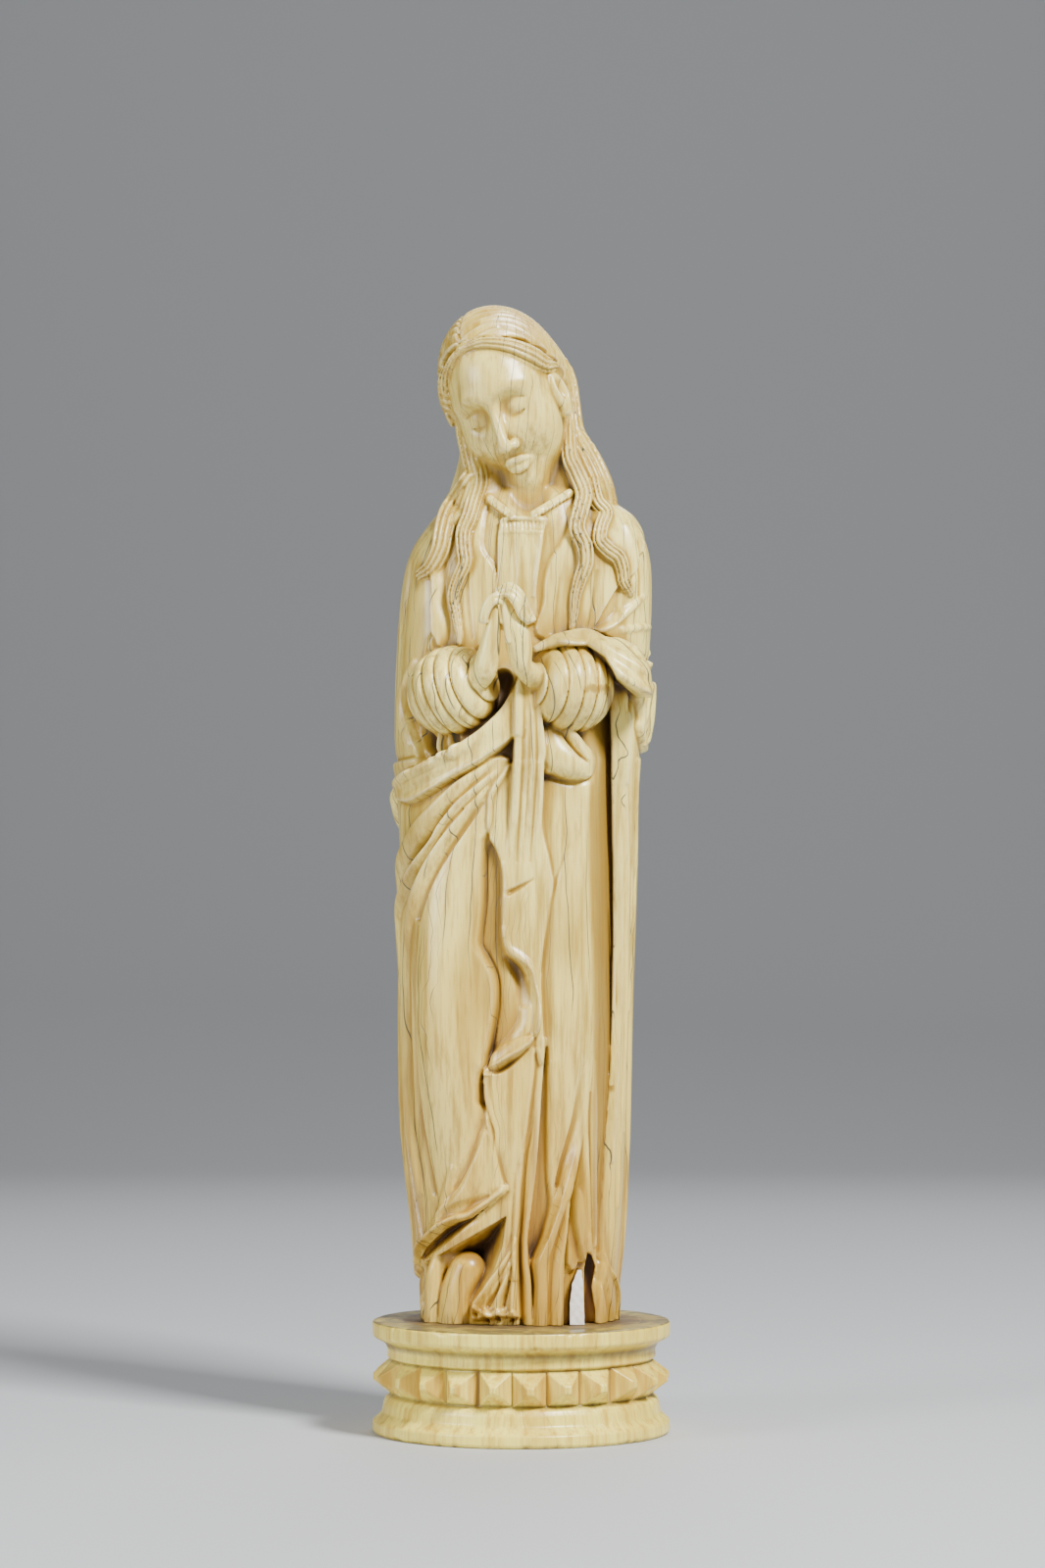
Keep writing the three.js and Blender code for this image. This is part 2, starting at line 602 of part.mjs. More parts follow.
// The mantle's rolled edge across the waist: a top plane, a ridge and a front face
const WAIST_TOP = [
  [-30.4, 173.2], [-25, 176.7], [-20, 179.3], [-15, 182], [-12, 184], [-8.9, 186.7], [-4.8, 191.5],
  [-2.4, 196], [-0.6, 199],
];
const WAIST_BOTTOM = [
  [-1.6, 183.6], [-4.8, 180.7], [-11.3, 176], [-17.7, 172.3], [-22.6, 169], [-26.6, 166.9],
  [-29.4, 166.9], [-31.4, 168.2], [-32.6, 170.8],
];
lay(
  [...WAIST_TOP, [0.2, 198], [0.2, 185], ...WAIST_BOTTOM],
  (u, z) => blend(u, [-50, -44, -32, 0], [0.2, 1, 3.2, 3.8]),
  { soft: 0.6, shade: 0.6, keep: 0.1 },
);
fold(
  [
    [-32.6, 171.6, 1.2, 0.4], [-30, 172.4, 1.3, 0.7], [-25, 175, 1.4, 0.9], [-20, 177.4, 1.5, 1],
    [-15, 180.2, 1.6, 1], [-11, 183.4, 1.8, 0.8], [-7, 187, 2, 0.4],
  ],
  { power: 0.9 },
);
fold(
  [[-28, 168.8, 1.4, -0.5], [-20, 173, 1.6, -0.6], [-12, 178.2, 1.8, -0.5], [-6, 183, 1.8, -0.4]],
  { power: 1.1 },
);

// The pouch tucked in beside it, in two layers
lay(
  [
    [5.2, 190.6], [5.2, 175.8], [8, 173.8], [12.9, 172.5], [17.4, 173.4], [19, 176], [18.6, 178.6],
    [15.4, 182.2], [12.9, 185], [10, 187.6], [6.4, 190.6],
  ],
  2.2,
  { soft: 0.6, shade: 0.84, keep: 0.3 },
);
fold(
  [
    [5.8, 184, 3, 0.8], [8, 179.6, 4, 2], [11.6, 176.6, 3.8, 2.2], [15.6, 175.4, 2.6, 1.6],
    [17.8, 175.6, 1.6, 0.6],
  ],
  { power: 0.8 },
);
fold(
  [
    [9.8, 187.2, 1.2, 0.8], [12, 184, 1.6, 1.8], [14.6, 181, 1.9, 2.2], [17, 178.4, 1.7, 2],
    [18, 176.8, 1.2, 1],
  ],
  { power: 0.8 },
);
fold(
  [
    [9.6, 186.6, 0.6, -0.6], [11.2, 182.4, 0.7, -1.2], [14, 178.4, 0.7, -1.2],
    [16.8, 176.2, 0.5, -0.6],
  ],
  { power: 1 },
);

// The fluted end that hangs over both from the waist, with the nick below it
lay(
  [
    [-0.9, 200], [-1.8, 184], [-2.3, 172], [-3, 160], [-3.9, 150.4], [-3.8, 145], [-2.9, 143.2],
    [-0.6, 144.8], [2.6, 146.6], [4.2, 148.6], [4.6, 156], [5, 168], [5.2, 180], [4.6, 190],
    [3.4, 200],
  ],
  (u, z) => blend(z, [146, 158, 172, 186, 200], [2.2, 2.6, 3.6, 5.2, 5.6]),
  { keep: 0.15, soft: 0.5, fade: [168, 147], shade: 0.35 },
);
for (const [place, width, depth] of [[0.3, 0.7, 0.8], [0.5, 0.6, 0.5], [0.74, 0.8, 0.8]]) {
  fold(
    [
      [lerp(-0.9, 3.4, place), 198, width, -depth / 2], [lerp(-1.9, 5.1, place), 180, width, -depth],
      [lerp(-2.7, 4.7, place), 164, width, -depth], [lerp(-3.6, 4.2, place), 151, width, -depth / 3],
    ],
    { power: 1.2 },
  );
}
fold(
  [[-3.3, 142.6, 1, -1.3], [-1.6, 143.4, 0.9, -1.2], [0.9, 144.9, 0.7, -0.7], [2.9, 146.3, 0.5, -0.3]],
  { power: 1 },
);

// The mantle's straight fall beyond the channel on the right
fold(
  [
    [23.4, 168, 1, 0.5], [23.6, 150, 1.1, 0.8], [24.2, 130, 1, 0.8], [24.4, 110, 1, 0.8],
    [23.6, 90, 1, 0.7], [22.4, 72, 1, 0.6],
  ],
  { power: 1 },
);
lay(
  [
    [24.4, 200], [24.6, 186], [24.8, 172], [24.9, 150], [25.2, 120], [24.2, 100], [22.8, 80],
    [21.2, 62], [20.4, 46], [18.8, 26], [33, 26], [35, 90], [38, 130], [40, 200],
  ],
  1.6,
  { soft: 0.6, shade: 0.36 },
);
fold(
  [
    [25.8, 190, 1.1, 0.9], [26.2, 160, 1.1, 0.9], [26.4, 130, 1, 0.7], [26, 104, 1, 0.6],
    [24.8, 80, 1, 0.6], [24, 60, 1, 0.5],
  ],
  { power: 0.9 },
);
fold(
  [[29.2, 178, 1.2, 0.9], [29.2, 150, 1.2, 0.9], [29, 125, 1, 0.7], [28.4, 112, 0.9, 0.4]],
  { power: 0.9 },
);

// The mantle's end thrown over the arm falls to a second corner below it
lay(
  [
    [24, 199.5], [25.4, 198], [28.6, 194.6], [29.6, 190], [29.2, 187], [29.8, 184], [31.2, 181.6],
    [33.6, 180.8], [38, 182], [40, 197.5],
  ],
  1.6,
  { soft: 0.5, shade: 0.48 },
);
fold([[32, 198, 1.6, 0.9], [32.4, 190, 1.6, 1.2], [32.6, 184, 1.4, 0.9]], { power: 0.9 });
fold(
  [[28, 197, 0.9, -0.8], [27.4, 190, 1.1, -1.6], [27, 182, 1.1, -1.4], [26.8, 170, 0.9, -0.6]],
  { power: 1 },
);
fold([[31, 196, 0.8, -0.6], [30.6, 190, 0.9, -1.2], [30.4, 183, 0.9, -1]], { power: 1 });
fold(
  [[25.8, 200, 1, 0.6], [25.6, 192, 1.3, 1.2], [25.6, 182, 1.3, 1.2], [25.6, 172, 1, 0.6]],
  { power: 0.9 },
);

// Mantle edges over the arms, with hollows where they leave the sleeves
lay(
  [
    [-10.6, 252], [-12, 246], [-17, 240], [-20.6, 232], [-20.4, 225.3], [-20, 219.2], [-19, 213],
    [-20.4, 207.6], [-24.6, 203], [-28.6, 199], [-29.8, 194], [-29.4, 189.5], [-27.8, 184.6],
    [-26.4, 180], [-27, 174], [-31, 168], [-40, 164], [-40, 252],
  ],
  1.8,
  { soft: 0.6, fade: [186, 166], shade: 0.54 },
);
fold(
  [[-27, 204, 1.4, 0.5], [-30.4, 196, 1.6, 0.8], [-30.6, 189, 1.6, 0.8], [-28.6, 182, 1.4, 0.6]],
  { power: 1 },
);
fold([[-26.4, 187, 1.4, -1], [-24.2, 182.4, 2.4, -6.5], [-23, 179.6, 1.6, -4]], { power: 0.9 });
for (const x of [-20.4, -17.6, -14.6]) {
  fold([[x, 188, 0.8, 1], [x - 0.6, 182.6, 1.1, 1.4], [x - 1, 178.6, 1, 1]], { power: 0.9 });
}
fold([[-12, 192, 3.4, -3], [-8, 194, 3.6, -5], [-5, 199, 3, -5]], { power: 1 });
fold([[-27.6, 231, 1.2, -0.6], [-29, 222, 1.4, -0.9], [-30.4, 212, 1.2, -0.5]], { power: 1.2 });
fold([[-21.4, 221, 1, 0.5], [-21, 214, 1.2, 0.8], [-22.6, 207.6, 1, 0.5]], { power: 1 });

// The mantle over the right shoulder, drawn into folds towards the elbow
lay(
  [
    [12, 252], [18.6, 244], [22, 236], [25.6, 228], [25.8, 220], [24, 214.6], [20, 211.6], [36, 206],
    [40, 230], [36, 252],
  ],
  1.2,
  { soft: 0.6, shade: 0.42 },
);
fold(
  [[31.6, 222, 0.9, 0.4], [28, 218.6, 1.3, 1], [23.6, 214.6, 1.3, 1], [20.4, 212, 0.9, 0.5]],
  { power: 0.9 },
);
fold([[33.4, 214, 0.9, 0.4], [30, 213.4, 1.2, 0.8], [25.6, 212.4, 1.2, 0.6]], { power: 0.9 });
fold([[29.6, 236, 1.4, -0.7], [30.8, 228, 1.5, -0.9], [30.4, 221, 1.2, -0.5]], { power: 1.2 });
fold([[26, 240, 1.6, 0.7], [27.6, 232, 1.8, 0.9], [28.6, 226, 1.4, 0.4]], { power: 1.1 });

// The bodice: overlapping fronts on both sides and the flat panel with its beaded band
lay(
  [
    [-7.4, 248.6], [-8.5, 246.3], [-10, 240], [-10.1, 233.7], [-7.2, 229.1], [-6.5, 224.6],
    [-6.6, 212], [-20, 206], [-20, 240], [-12, 252],
  ],
  0.9,
  { soft: 0.4, shade: 0.3 },
);
lay(
  [
    [14, 246], [12.8, 239.8], [10.5, 235.3], [7.6, 230.7], [6.1, 225.3], [5.7, 219.2], [4, 211],
    [16, 208], [24, 222], [22, 250],
  ],
  0.9,
  { soft: 0.4, shade: 0.3 },
);
lay(
  [
    [-5.1, 241.6], [-2.6, 242.4], [5.8, 242.4], [5.8, 238], [5, 231.4], [3.9, 223.8], [3.3, 214],
    [-6, 214], [-6.4, 224.5], [-6, 232.2],
  ],
  1.1,
  { soft: 0.35, shade: 0.24 },
);
fold(
  [[-5, 241.2, 0.7, 0.4], [-2.6, 241.9, 0.8, 0.8], [1, 241.9, 0.9, 0.9], [5.4, 241.6, 0.9, 0.8]],
  { power: 0.8 },
);

// Soft folds on the hidden sides and back, in keeping with the front and plainer
for (const [u, bottom, top, width, lift] of [
  [46, 26, 200, 3, 1.6], [54, 26, 176, 3.4, 2], [63, 26, 206, 3.2, 1.8], [72, 26, 182, 3.6, 2.2],
  [81, 26, 196, 3, 1.6], [-46, 26, 150, 3, 1.6], [-55, 26, 184, 3.4, 2], [-64, 26, 200, 3, 1.6],
  [-74, 26, 178, 3.6, 2.2], [-82, 26, 190, 2.6, 1.4],
]) {
  const sway = 2.4 * Math.sin(u * 1.7);
  fold(
    [
      [u * 1.01, bottom, width * 1.2, lift], [u + sway, lerp(bottom, top, 0.45), width, lift],
      [u * 0.97, top, width * 0.6, 0.2],
    ],
    { onFront: false, power: 1.1 },
  );
}
fold(
  [[-46, 168, 4, 2.4], [-56, 160, 4.4, 2.6], [-70, 156, 4, 2], [-84, 156, 3, 0.6]],
  { onFront: false, power: 0.8 },
);
fold([[46, 206, 3, 1.6], [60, 200, 3.4, 1.6], [74, 198, 3, 0.6]], { onFront: false, power: 0.9 });

function reliefAt(u, z) {
  const column = (u + HALF_GIRTH) / RELIEF_STEP;
  const row = clamp((z - SKIRT_BOTTOM) / RELIEF_STEP, 0, reliefRows - 1.001);
  const [c, r] = [Math.floor(column), Math.floor(row)];
  const [s, t] = [column - c, row - r];
  const at = (i, j) => relief[j * reliefColumns + (((i % reliefColumns) + reliefColumns) % reliefColumns)];
  return lerp(lerp(at(c, r), at(c + 1, r), s), lerp(at(c, r + 1), at(c + 1, r + 1), s), t);
}

// The distance to the robe with its relief, negative inside
function robe(x, y, z) {
  const { x: cx, y: cy, halfWidth, halfDepth } = section(Math.min(z, OUTLINE[OUTLINE.length - 1][0]));
  const [dx, dy] = [x - cx, y - cy];
  const [across, forward] = [dx / halfWidth, -dy / halfDepth];
  const size = Math.pow(
    Math.pow(Math.abs(across), OUTLINE_POWER) + Math.pow(Math.abs(forward), OUTLINE_POWER),
    1 / OUTLINE_POWER,
  );
  const reach = Math.hypot(dx, dy);
  const flat = reach < 1e-6 ? -Math.min(halfWidth, halfDepth) : reach * (1 - 1 / size);
  const u = girthOfAngle(Math.atan2(across, forward));
  const fade = clamp((252 - z) / 8, 0, 1);
  return Math.max(flat - reliefAt(u, z) * fade, z - OUTLINE[OUTLINE.length - 1][0], SKIRT_BOTTOM - z);
}

// The field of distances on a grid that the solids are worked into

const LOW = [-41, -37, SKIRT_BOTTOM - 1.5];
const HIGH = [41, 29, 303];
const counts = LOW.map((low, k) => Math.ceil((HIGH[k] - low) / CELL) + 1);
const field = new Float32Array(counts[0] * counts[1] * counts[2]).fill(20);

// Works a solid into the field inside a box: combine is join or cut, rounded over k
function work(low, high, k, combine, distance) {
  const from = low.map((v, i) => clamp(Math.floor((v - k - 2 - LOW[i]) / CELL), 0, counts[i] - 1));
  const to = high.map((v, i) => clamp(Math.ceil((v + k + 2 - LOW[i]) / CELL), 0, counts[i] - 1));
  for (let l = from[2]; l <= to[2]; l++) {
    for (let j = from[1]; j <= to[1]; j++) {
      for (let i = from[0]; i <= to[0]; i++) {
        const cell = (l * counts[1] + j) * counts[0] + i;
        const p = [LOW[0] + i * CELL, LOW[1] + j * CELL, LOW[2] + l * CELL];
        field[cell] = combine(field[cell], distance(p), k);
      }
    }
  }
}

const ellipsoidDistance = (p, centre, radii) => {
  const d = minus(p, centre);
  const near = Math.hypot(d[0] / radii[0], d[1] / radii[1], d[2] / radii[2]);
  const steep = Math.hypot(d[0] / radii[0] ** 2, d[1] / radii[1] ** 2, d[2] / radii[2] ** 2);
  return steep < 1e-9 ? -Math.min(...radii) : (near * (near - 1)) / steep;
};

// A limb through points [x, y, z, radius]
function limbDistance(p, path) {
  let best = Infinity;
  for (let i = 0; i + 1 < path.length; i++) {
    const [a, b] = [path[i], path[i + 1]];
    const along = minus(b, a);
    const t = clamp(dot(minus(p, a), along) / (dot(along, along) + 1e-9), 0, 1);
    const gap = Math.hypot(...[0, 1, 2].map((k) => p[k] - a[k] - t * along[k]));
    best = Math.min(best, gap - lerp(a[3], b[3], t));
  }
  return best;
}

function addLimb(points, k = 1, combine = join) {
  const path = smoothPath(points, 4);
  const low = [0, 1, 2].map((i) => Math.min(...path.map((p) => p[i] - p[3])));
  const high = [0, 1, 2].map((i) => Math.max(...path.map((p) => p[i] + p[3])));
  work(low, high, k, combine, (p) => limbDistance(p, path));
}

work(LOW, HIGH, 0.01, join, ([x, y, z]) => robe(x, y, z));

// The deep channel cut between dress and mantle on the right: height, where the dress starts to
// slope in, the mantle's edge, and how far back the cut reaches there
const CHANNEL = [
  [54, 18.9, 20.2, -14], [60, 18.5, 20.6, -12], [70, 18.4, 21.2, -10], [85, 18.6, 22.4, -7.5],
  [95, 18.8, 23.2, -6.5], [110, 18.8, 23.8, -5.5], [130, 18, 24.2, -4.5], [150, 16.6, 24.2, -3.5],
  [158, 16.2, 24, -3], [166, 16.4, 23.9, -2.5], [172, 17.4, 23.8, -2], [178, 18.4, 23.8, -1.5],
  [183, 16.4, 23.8, -1], [188, 15, 23.6, -0.5], [196, 14.6, 23.4, 0],
];
work([12, -30, 54], [26, 4, 196], 0.9, cut, ([x, y, z]) => {
  const [, start, edge, depth] = rowAt(CHANNEL, z);
  const front = frontOf(start, z) - 2.4;
  const drop = Math.max(depth - front, 1.4 * (edge - start));
  const share = (x - start) / (edge - start);
  const side = front + drop * (share > 0 ? Math.pow(share, 1.7) : share);
  const floor = (y - side) / Math.hypot(1, (1.4 * drop) / (edge - start));
  return Math.max(x - edge, start - 1.5 - x, floor, z - 196, 54 - z);
});

// The dark hollow under the mantle's lifted hem, with a fold, the lining and the shoe inside it
const HOLLOW = [
  ...[...HEM].reverse(), [-29.4, 41.6], [-29.4, 24], [-13, 24], [-13, 35.4], [-10.4, 38.8],
  [-7.2, 44], [-5, 50], [-3.9, 58],
];
work([-30, -26, 24], [-2, -3, 68], 0.5, cut, ([x, y, z]) => {
  const inner = inset(HOLLOW, x, z);
  const floor = Math.min(frontOf(x, z) + 1.5 + 2 * inner, -2.5);
  return Math.max(-inner, (y - floor) / 1.8);
});
addLimb([[-21.8, -8.6, 47, 1.4], [-23, -8.6, 42, 2.2], [-23.2, -8, 34, 2.5], [-23, -7.4, 24, 2.6]], 0.8);
addLimb(
  [
    [-21.6, -7.6, 42, 0.8], [-19.4, -9, 46, 1.1], [-15.8, -10, 50.8, 1.2], [-12.2, -11, 55.4, 1],
    [-9.4, -12, 59.4, 0.6],
  ],
  1.4,
);
addLimb([[-16.6, -9.2, 24, 5.2], [-16.5, -9.4, 36, 5.1], [-14.2, -9.8, 43.4, 4.9]], 0.6);

// The gap beside the broken fold
const PIT = [
  [16.6, 24], [16.5, 44], [17.3, 48.4], [18.4, 47.4], [19.4, 44.4], [18.4, 39], [19.4, 32.6],
  [19.4, 24],
];
work([15, -26, 24], [21, -6, 50], 0.5, cut, ([x, y, z]) => Math.max(-inset(PIT, x, z), y + 8));

// Neck, and the collar round it
const NECK_HOLLOW = [[2.2, -13.6, 252.4], [7.8, 7, 10]];
work([-6, -21, 242], [10.4, -6, 263], 1.2, cut, (p) => ellipsoidDistance(p, ...NECK_HOLLOW));
addLimb([[1, 2, 236, 9], [1.9, -1.4, 248, 7.6], [0.2, -2.6, 262, 8.2]], 1.5);
addLimb([[-8.2, -10.2, 247.2, 1.2], [-5.2, -11.8, 244.7, 1.2], [-2.2, -13.4, 242.2, 1.1]], 0.5);
addLimb([[12.8, -9.4, 249, 1.2], [8, -11.4, 245.9, 1.2], [3.2, -13.4, 242.8, 1.1]], 0.5);

// Head, in its own frame of right, forward and up

const turn = new THREE.Matrix4()
  .makeRotationY(degToRad(-HEAD_ROLL))
  .multiply(new THREE.Matrix4().makeRotationZ(degToRad(-HEAD_YAW)))
  .multiply(new THREE.Matrix4().makeRotationX(degToRad(HEAD_PITCH)));
const headAxes = [[1, 0, 0], [0, -1, 0], [0, 0, 1]].map((axis) =>
  new THREE.Vector3(...axis).applyMatrix4(turn).toArray(),
);
const headSizes = [HEAD_SCALE, HEAD_SCALE, HEAD_SCALE * HEAD_TALL];
const toHead = (p) => headAxes.map((axis, i) => dot(minus(p, HEAD_CENTRE), axis) / headSizes[i]);
function fromHead(q) {
  const sized = q.map((v, i) => v * headSizes[i]);
  return HEAD_CENTRE.map((centre, k) => centre + dot(sized, headAxes.map((axis) => axis[k])));
}

const headBall = (q, centre, radii) => ellipsoidDistance(q, centre, radii);
const headLimb = (q, ...points) => limbDistance(q, points);

// A calm, plain face of even proportions with lowered lids
function faceDistance(q) {
  const side = [Math.abs(q[0]), q[1], q[2]];
  let d = headBall(q, [0, -1.5, 4.6], [13.8, 16.2, 15.2]);
  d = join(d, headBall(q, [0, 3.2, -5], [11.8, 11.4, 15.4]), 6);
  d = join(d, headBall(side, [6.4, 8, -6], [5.2, 5, 6]), 4);
  d = join(d, headBall(q, [0, 9.8, -17.2], [4, 4.2, 3.8]), 4);
  d = join(d, headLimb(side, [1.6, 13.7, 4.2, 0.8], [5.2, 12.7, 5.6, 1], [9, 9.9, 4.6, 0.8]), 3);
  d = cut(d, headBall(side, [5.3, 16.2, 0.8], [4.6, 4.4, 3.2]), 3.4);
  d = join(d, headBall(side, [5.3, 9.6, 0], [3.5, 3.3, 2.7]), 0.9);
  const nose = [[0, 12.6, 4.4, 1.1], [0, 14.6, 0, 1.1], [0, 16.4, -4, 1.3], [0, 17.4, -7, 1.7]];
  d = join(d, headLimb(q, ...nose), 1.4);
  d = join(d, headBall(side, [1.9, 15.2, -7.6], [1.3, 1.9, 1.3]), 0.7);
  d = join(d, headLimb(side, [0, 14.9, -11.6, 0.95], [1.8, 14.4, -11.7, 0.9], [3.7, 12.9, -12.4, 0.35]), 0.6);
  d = join(d, headLimb(side, [0, 14.5, -13.7, 1.15], [1.6, 14, -13.6, 1], [3.4, 12.8, -12.9, 0.35]), 0.6);
  d = cut(d, headLimb(side, [0, 16, -12.6, 0.3], [2, 15.4, -12.6, 0.3], [4.1, 13.5, -12.7, 0.2]), 0.5);
  d = cut(d, headLimb(side, [2.2, 13, -0.6, 0.3], [5.2, 12.8, -1.8, 0.35], [8.6, 10.8, -0.6, 0.3]), 0.6);
  return cut(d, headLimb(side, [2.4, 13, 1.6, 0.3], [5.2, 12.9, 2.7, 0.35], [8.6, 10.8, 1.4, 0.3]), 0.8);
}
const headLow = HEAD_CENTRE.map((v) => v - 26);
const headHigh = HEAD_CENTRE.map((v) => v + 26);
work(headLow, headHigh, 1.2, join, (p) => HEAD_SCALE * faceDistance(toHead(p)));

// The ear on the right, and the hair combed from a parting over the skull
work(headLow, headHigh, 0.8, join, (p) => {
  const q = toHead(p);
  const shell = headBall(q, [13.9, 1.6, -2.6], [2, 3.4, 5.6]);
  const open = cut(shell, headBall(q, [15.6, 2.6, -1.4], [1.7, 1.7, 3.2]), 0.6);
  return join(open, headBall(q, [13.6, 2.6, -7], [1.5, 1.5, 1.6]), 0.6);
});
work(headLow, headHigh, 0.5, join, (p) => {
  const q = toHead(p);
  const fromParting = Math.abs(q[0] + HEAD_PARTING);
  const groove = 0.7 * Math.exp(-Math.pow(fromParting / 0.8, 2)) * smoothstep(q[1], -10, 2);
  const cap = headBall(q, [0, -2.6, 4.8], [15.2, 18.2, 17.8]) + groove;
  const hairline = 0.785 * (q[1] - 7.6) - 0.62 * (q[2] - 17.4);
  return Math.max(cap, hairline, -q[2] - 16);
});

// Hair rolled back from the brow on both sides like a rope, then drawn behind the ears
const HAIRLINES = [
  [
    [-1.4, 8.4, 17.2, 1.2], [-6, 8.2, 15.4, 1.6], [-10.4, 7, 11.6, 2], [-13, 5, 7, 2.4],
    [-14, 3.4, 1.5, 2.6],
  ],
  [
    [-2.8, 8.4, 17.2, 1.2], [3, 8.4, 16.8, 1.9], [8.4, 7.2, 13.6, 2.6], [11.8, 5.2, 9.2, 3.1],
    [13.4, 3, 5.6, 2.7], [14, -0.6, 3.6, 2],
  ],
];
for (const line of HAIRLINES) {
  addLimb(line.map(([right, forward, up, radius]) => [...fromHead([right, forward, up]), radius]), 0.8);
}
addLimb(
  [
    [-12.6, -5, 294, 2], [-16.6, -6.4, 290, 2.9], [-18.8, -7, 284, 3.3], [-19.2, -6.6, 277.6, 3.2],
    [-18, -5.6, 271.6, 2.6],
  ],
  0.6,
);

// Hair falling past the neck onto the shoulders and down the back
addLimb([[-9, 1, 268, 5], [-8.8, -0.6, 258, 6.4], [-9, -2, 248, 7]], 2);
addLimb([[11, 2, 268, 5], [12, 0.4, 258, 6.4], [12.4, -1, 247, 7.4]], 2);
addLimb([[0.6, 7, 280, 12.6], [3, 10, 268, 13], [4, 12, 254, 14], [3, 13, 242, 15]], 5);
addLimb(
  [
    [6.6, 5.4, 286.4, 4.2], [9.8, 3.8, 281.6, 5], [11.6, 2.6, 274, 4.6], [12.6, 1.4, 266, 4.8],
    [16.2, -0.6, 257.5, 6], [19.2, -1.6, 250, 6.2], [21.6, 0, 241, 5.2],
  ],
  1.2,
);
addLimb(
  [
    [-15.6, -3.4, 270, 2.6], [-14.4, -4.4, 265, 3.2], [-12.6, -5, 259, 3.8],
    [-11.6, -5.6, 253, 4.2], [-13.6, -6, 246, 4.4],
  ],
  1.2,
);
addLimb([[-12, 4, 276, 6], [-10, 6, 262, 6.6], [-12, 6, 250, 7.4], [-16, 4, 240, 7]], 4);
addLimb([[2, 16, 244, 11], [2, 19.4, 226, 9], [2, 20.4, 208, 6], [1, 21, 194, 2]], 4);
addLimb([[0.6, 9, 287.4, 8], [3, 14, 279, 9], [3, 17, 264, 10], [2, 18, 248, 10]], 3);

// Wavy locks over the chest: [x, z, half width]
const LOCKS = [
  [
    [12.6, 272, 1.6], [12.4, 266, 2.1], [12.8, 259, 2.3], [14.7, 254.5, 2.4], [16.6, 249.1, 2.5],
    [15.8, 244.5, 2.4], [14.7, 239.2, 2.4], [16.6, 234.6, 2.4], [17, 230, 2.3], [15.5, 225.5, 2],
    [14.3, 220.9, 1.6], [13.9, 216.3, 1.3], [13.4, 212.5, 0.9],
  ],
  [
    [18.9, 251.4, 2.1], [20, 246.8, 2.2], [22.3, 243.8, 2.2], [21.2, 240, 2.1], [20.8, 236.1, 2.1],
    [23.1, 233.5, 2.2], [25.7, 231.6, 2.2], [26.9, 228.5, 2], [27.3, 225.5, 1.8], [28.8, 222.8, 1.4],
  ],
  [
    [-13.9, 252.2, 3.2], [-17.7, 246.8, 3.3], [-19.6, 243, 3.2], [-20.7, 238.4, 3],
    [-21.5, 233.9, 2.8], [-23.8, 229.3, 2.5], [-26.4, 227.4, 1.9],
  ],
  [
    [-11.6, 257.5, 2.5], [-11.2, 252.2, 2.5], [-12.7, 246.8, 2.4], [-13.9, 242.3, 2.3],
    [-15.4, 238.4, 2.2], [-15.4, 233.9, 2.1], [-15, 230, 2], [-16.9, 225.5, 1.9],
    [-18.1, 220.9, 1.7], [-17.3, 216.3, 1.4], [-16.5, 211.7, 1.1], [-16.3, 208.7, 0.8],
  ],
];
function lying(x, z) {
  if (z < 246) return frontOf(x, z) - 1.5;
  return lerp(frontOf(x, 246) - 1.5, -4, (z - 246) / 18);
}
for (const lock of LOCKS) addLimb(lock.map(([x, z, r]) => [x, lying(x, z), z, r * 1.06]), 0.4);

// Puffed sleeves with ring seams, gathered at the wrists. Returns how far a place lies outside
// the plain sleeve.
function addSleeve(centre, axis, radius, length) {
  const direction = new THREE.Vector3(...axis).normalize().toArray();
  const low = centre.map((c) => c - radius - 3);
  const high = centre.map((c) => c + radius + 3);
  const reach = (p) => {
    const d = minus(p, centre);
    const along = dot(d, direction);
    const across = Math.sqrt(Math.max(dot(d, d) - along * along, 0));
    return { along, barrel: (Math.hypot(along / length, across / radius) - 1) * radius * 0.95 };
  };
  work(low, high, 0.6, join, (p) => {
    const { along, barrel } = reach(p);
    const ring = Math.abs(((along / SLEEVE_RINGS + 64.5) % 1) - 0.5) * 2;
    return Math.max(barrel + 1.3 * Math.pow(ring, 4), along - length * 0.88);
  });
  return (p) => reach(p).barrel;
}
addSleeve([-18, -13.6, 196], [0.8, -0.5, 0.3], LEFT_SLEEVE_RADIUS, 12.6);
const fromRightSleeve = addSleeve([12.6, -15, 196.8], [-0.86, -0.5, 0.06], RIGHT_SLEEVE_RADIUS, 12);

// Cloth thrown over the right forearm: a thick turned edge over a sheet that ends in a corner
const FLAP = [
  [2.9, 208.2], [6.7, 210.4], [11.3, 211.9], [17.4, 213], [21.9, 212.6], [26.5, 211], [31.1, 207.9],
  [33.7, 203.3], [34.6, 196.4], [34.4, 194.4], [30.6, 194.8], [27.4, 197], [25, 198.8],
  [23.6, 201.6], [21.9, 204.4], [17.4, 207.4], [10, 207.4],
];
work([0, -34, 188], [37, 0, 216], 0.5, join, ([x, y, z]) => {
  const thrown = fromRightSleeve([x > 14 ? lerp(x, 14, 0.5) : x, y, lerp(z, 199, 0.12)]);
  const folds = 0.35 * Math.sin((z - 203 + 0.62 * (x - 14)) * 1.15);
  return cut(thrown - 1.5 + folds, inset(FLAP, x, z), 1.6);
});
addLimb(
  [
    [3.8, -22.4, 206.6, 0.9], [7, -21.4, 208, 1.4], [12, -20.2, 209.6, 1.8], [17, -19.8, 210, 2.1],
    [21, -19.6, 208, 2.1], [24.4, -19, 203.6, 2], [27, -17.6, 199.8, 1.7], [30, -15.6, 197, 1.4],
    [33, -13.2, 195.6, 1],
  ],
  1,
);

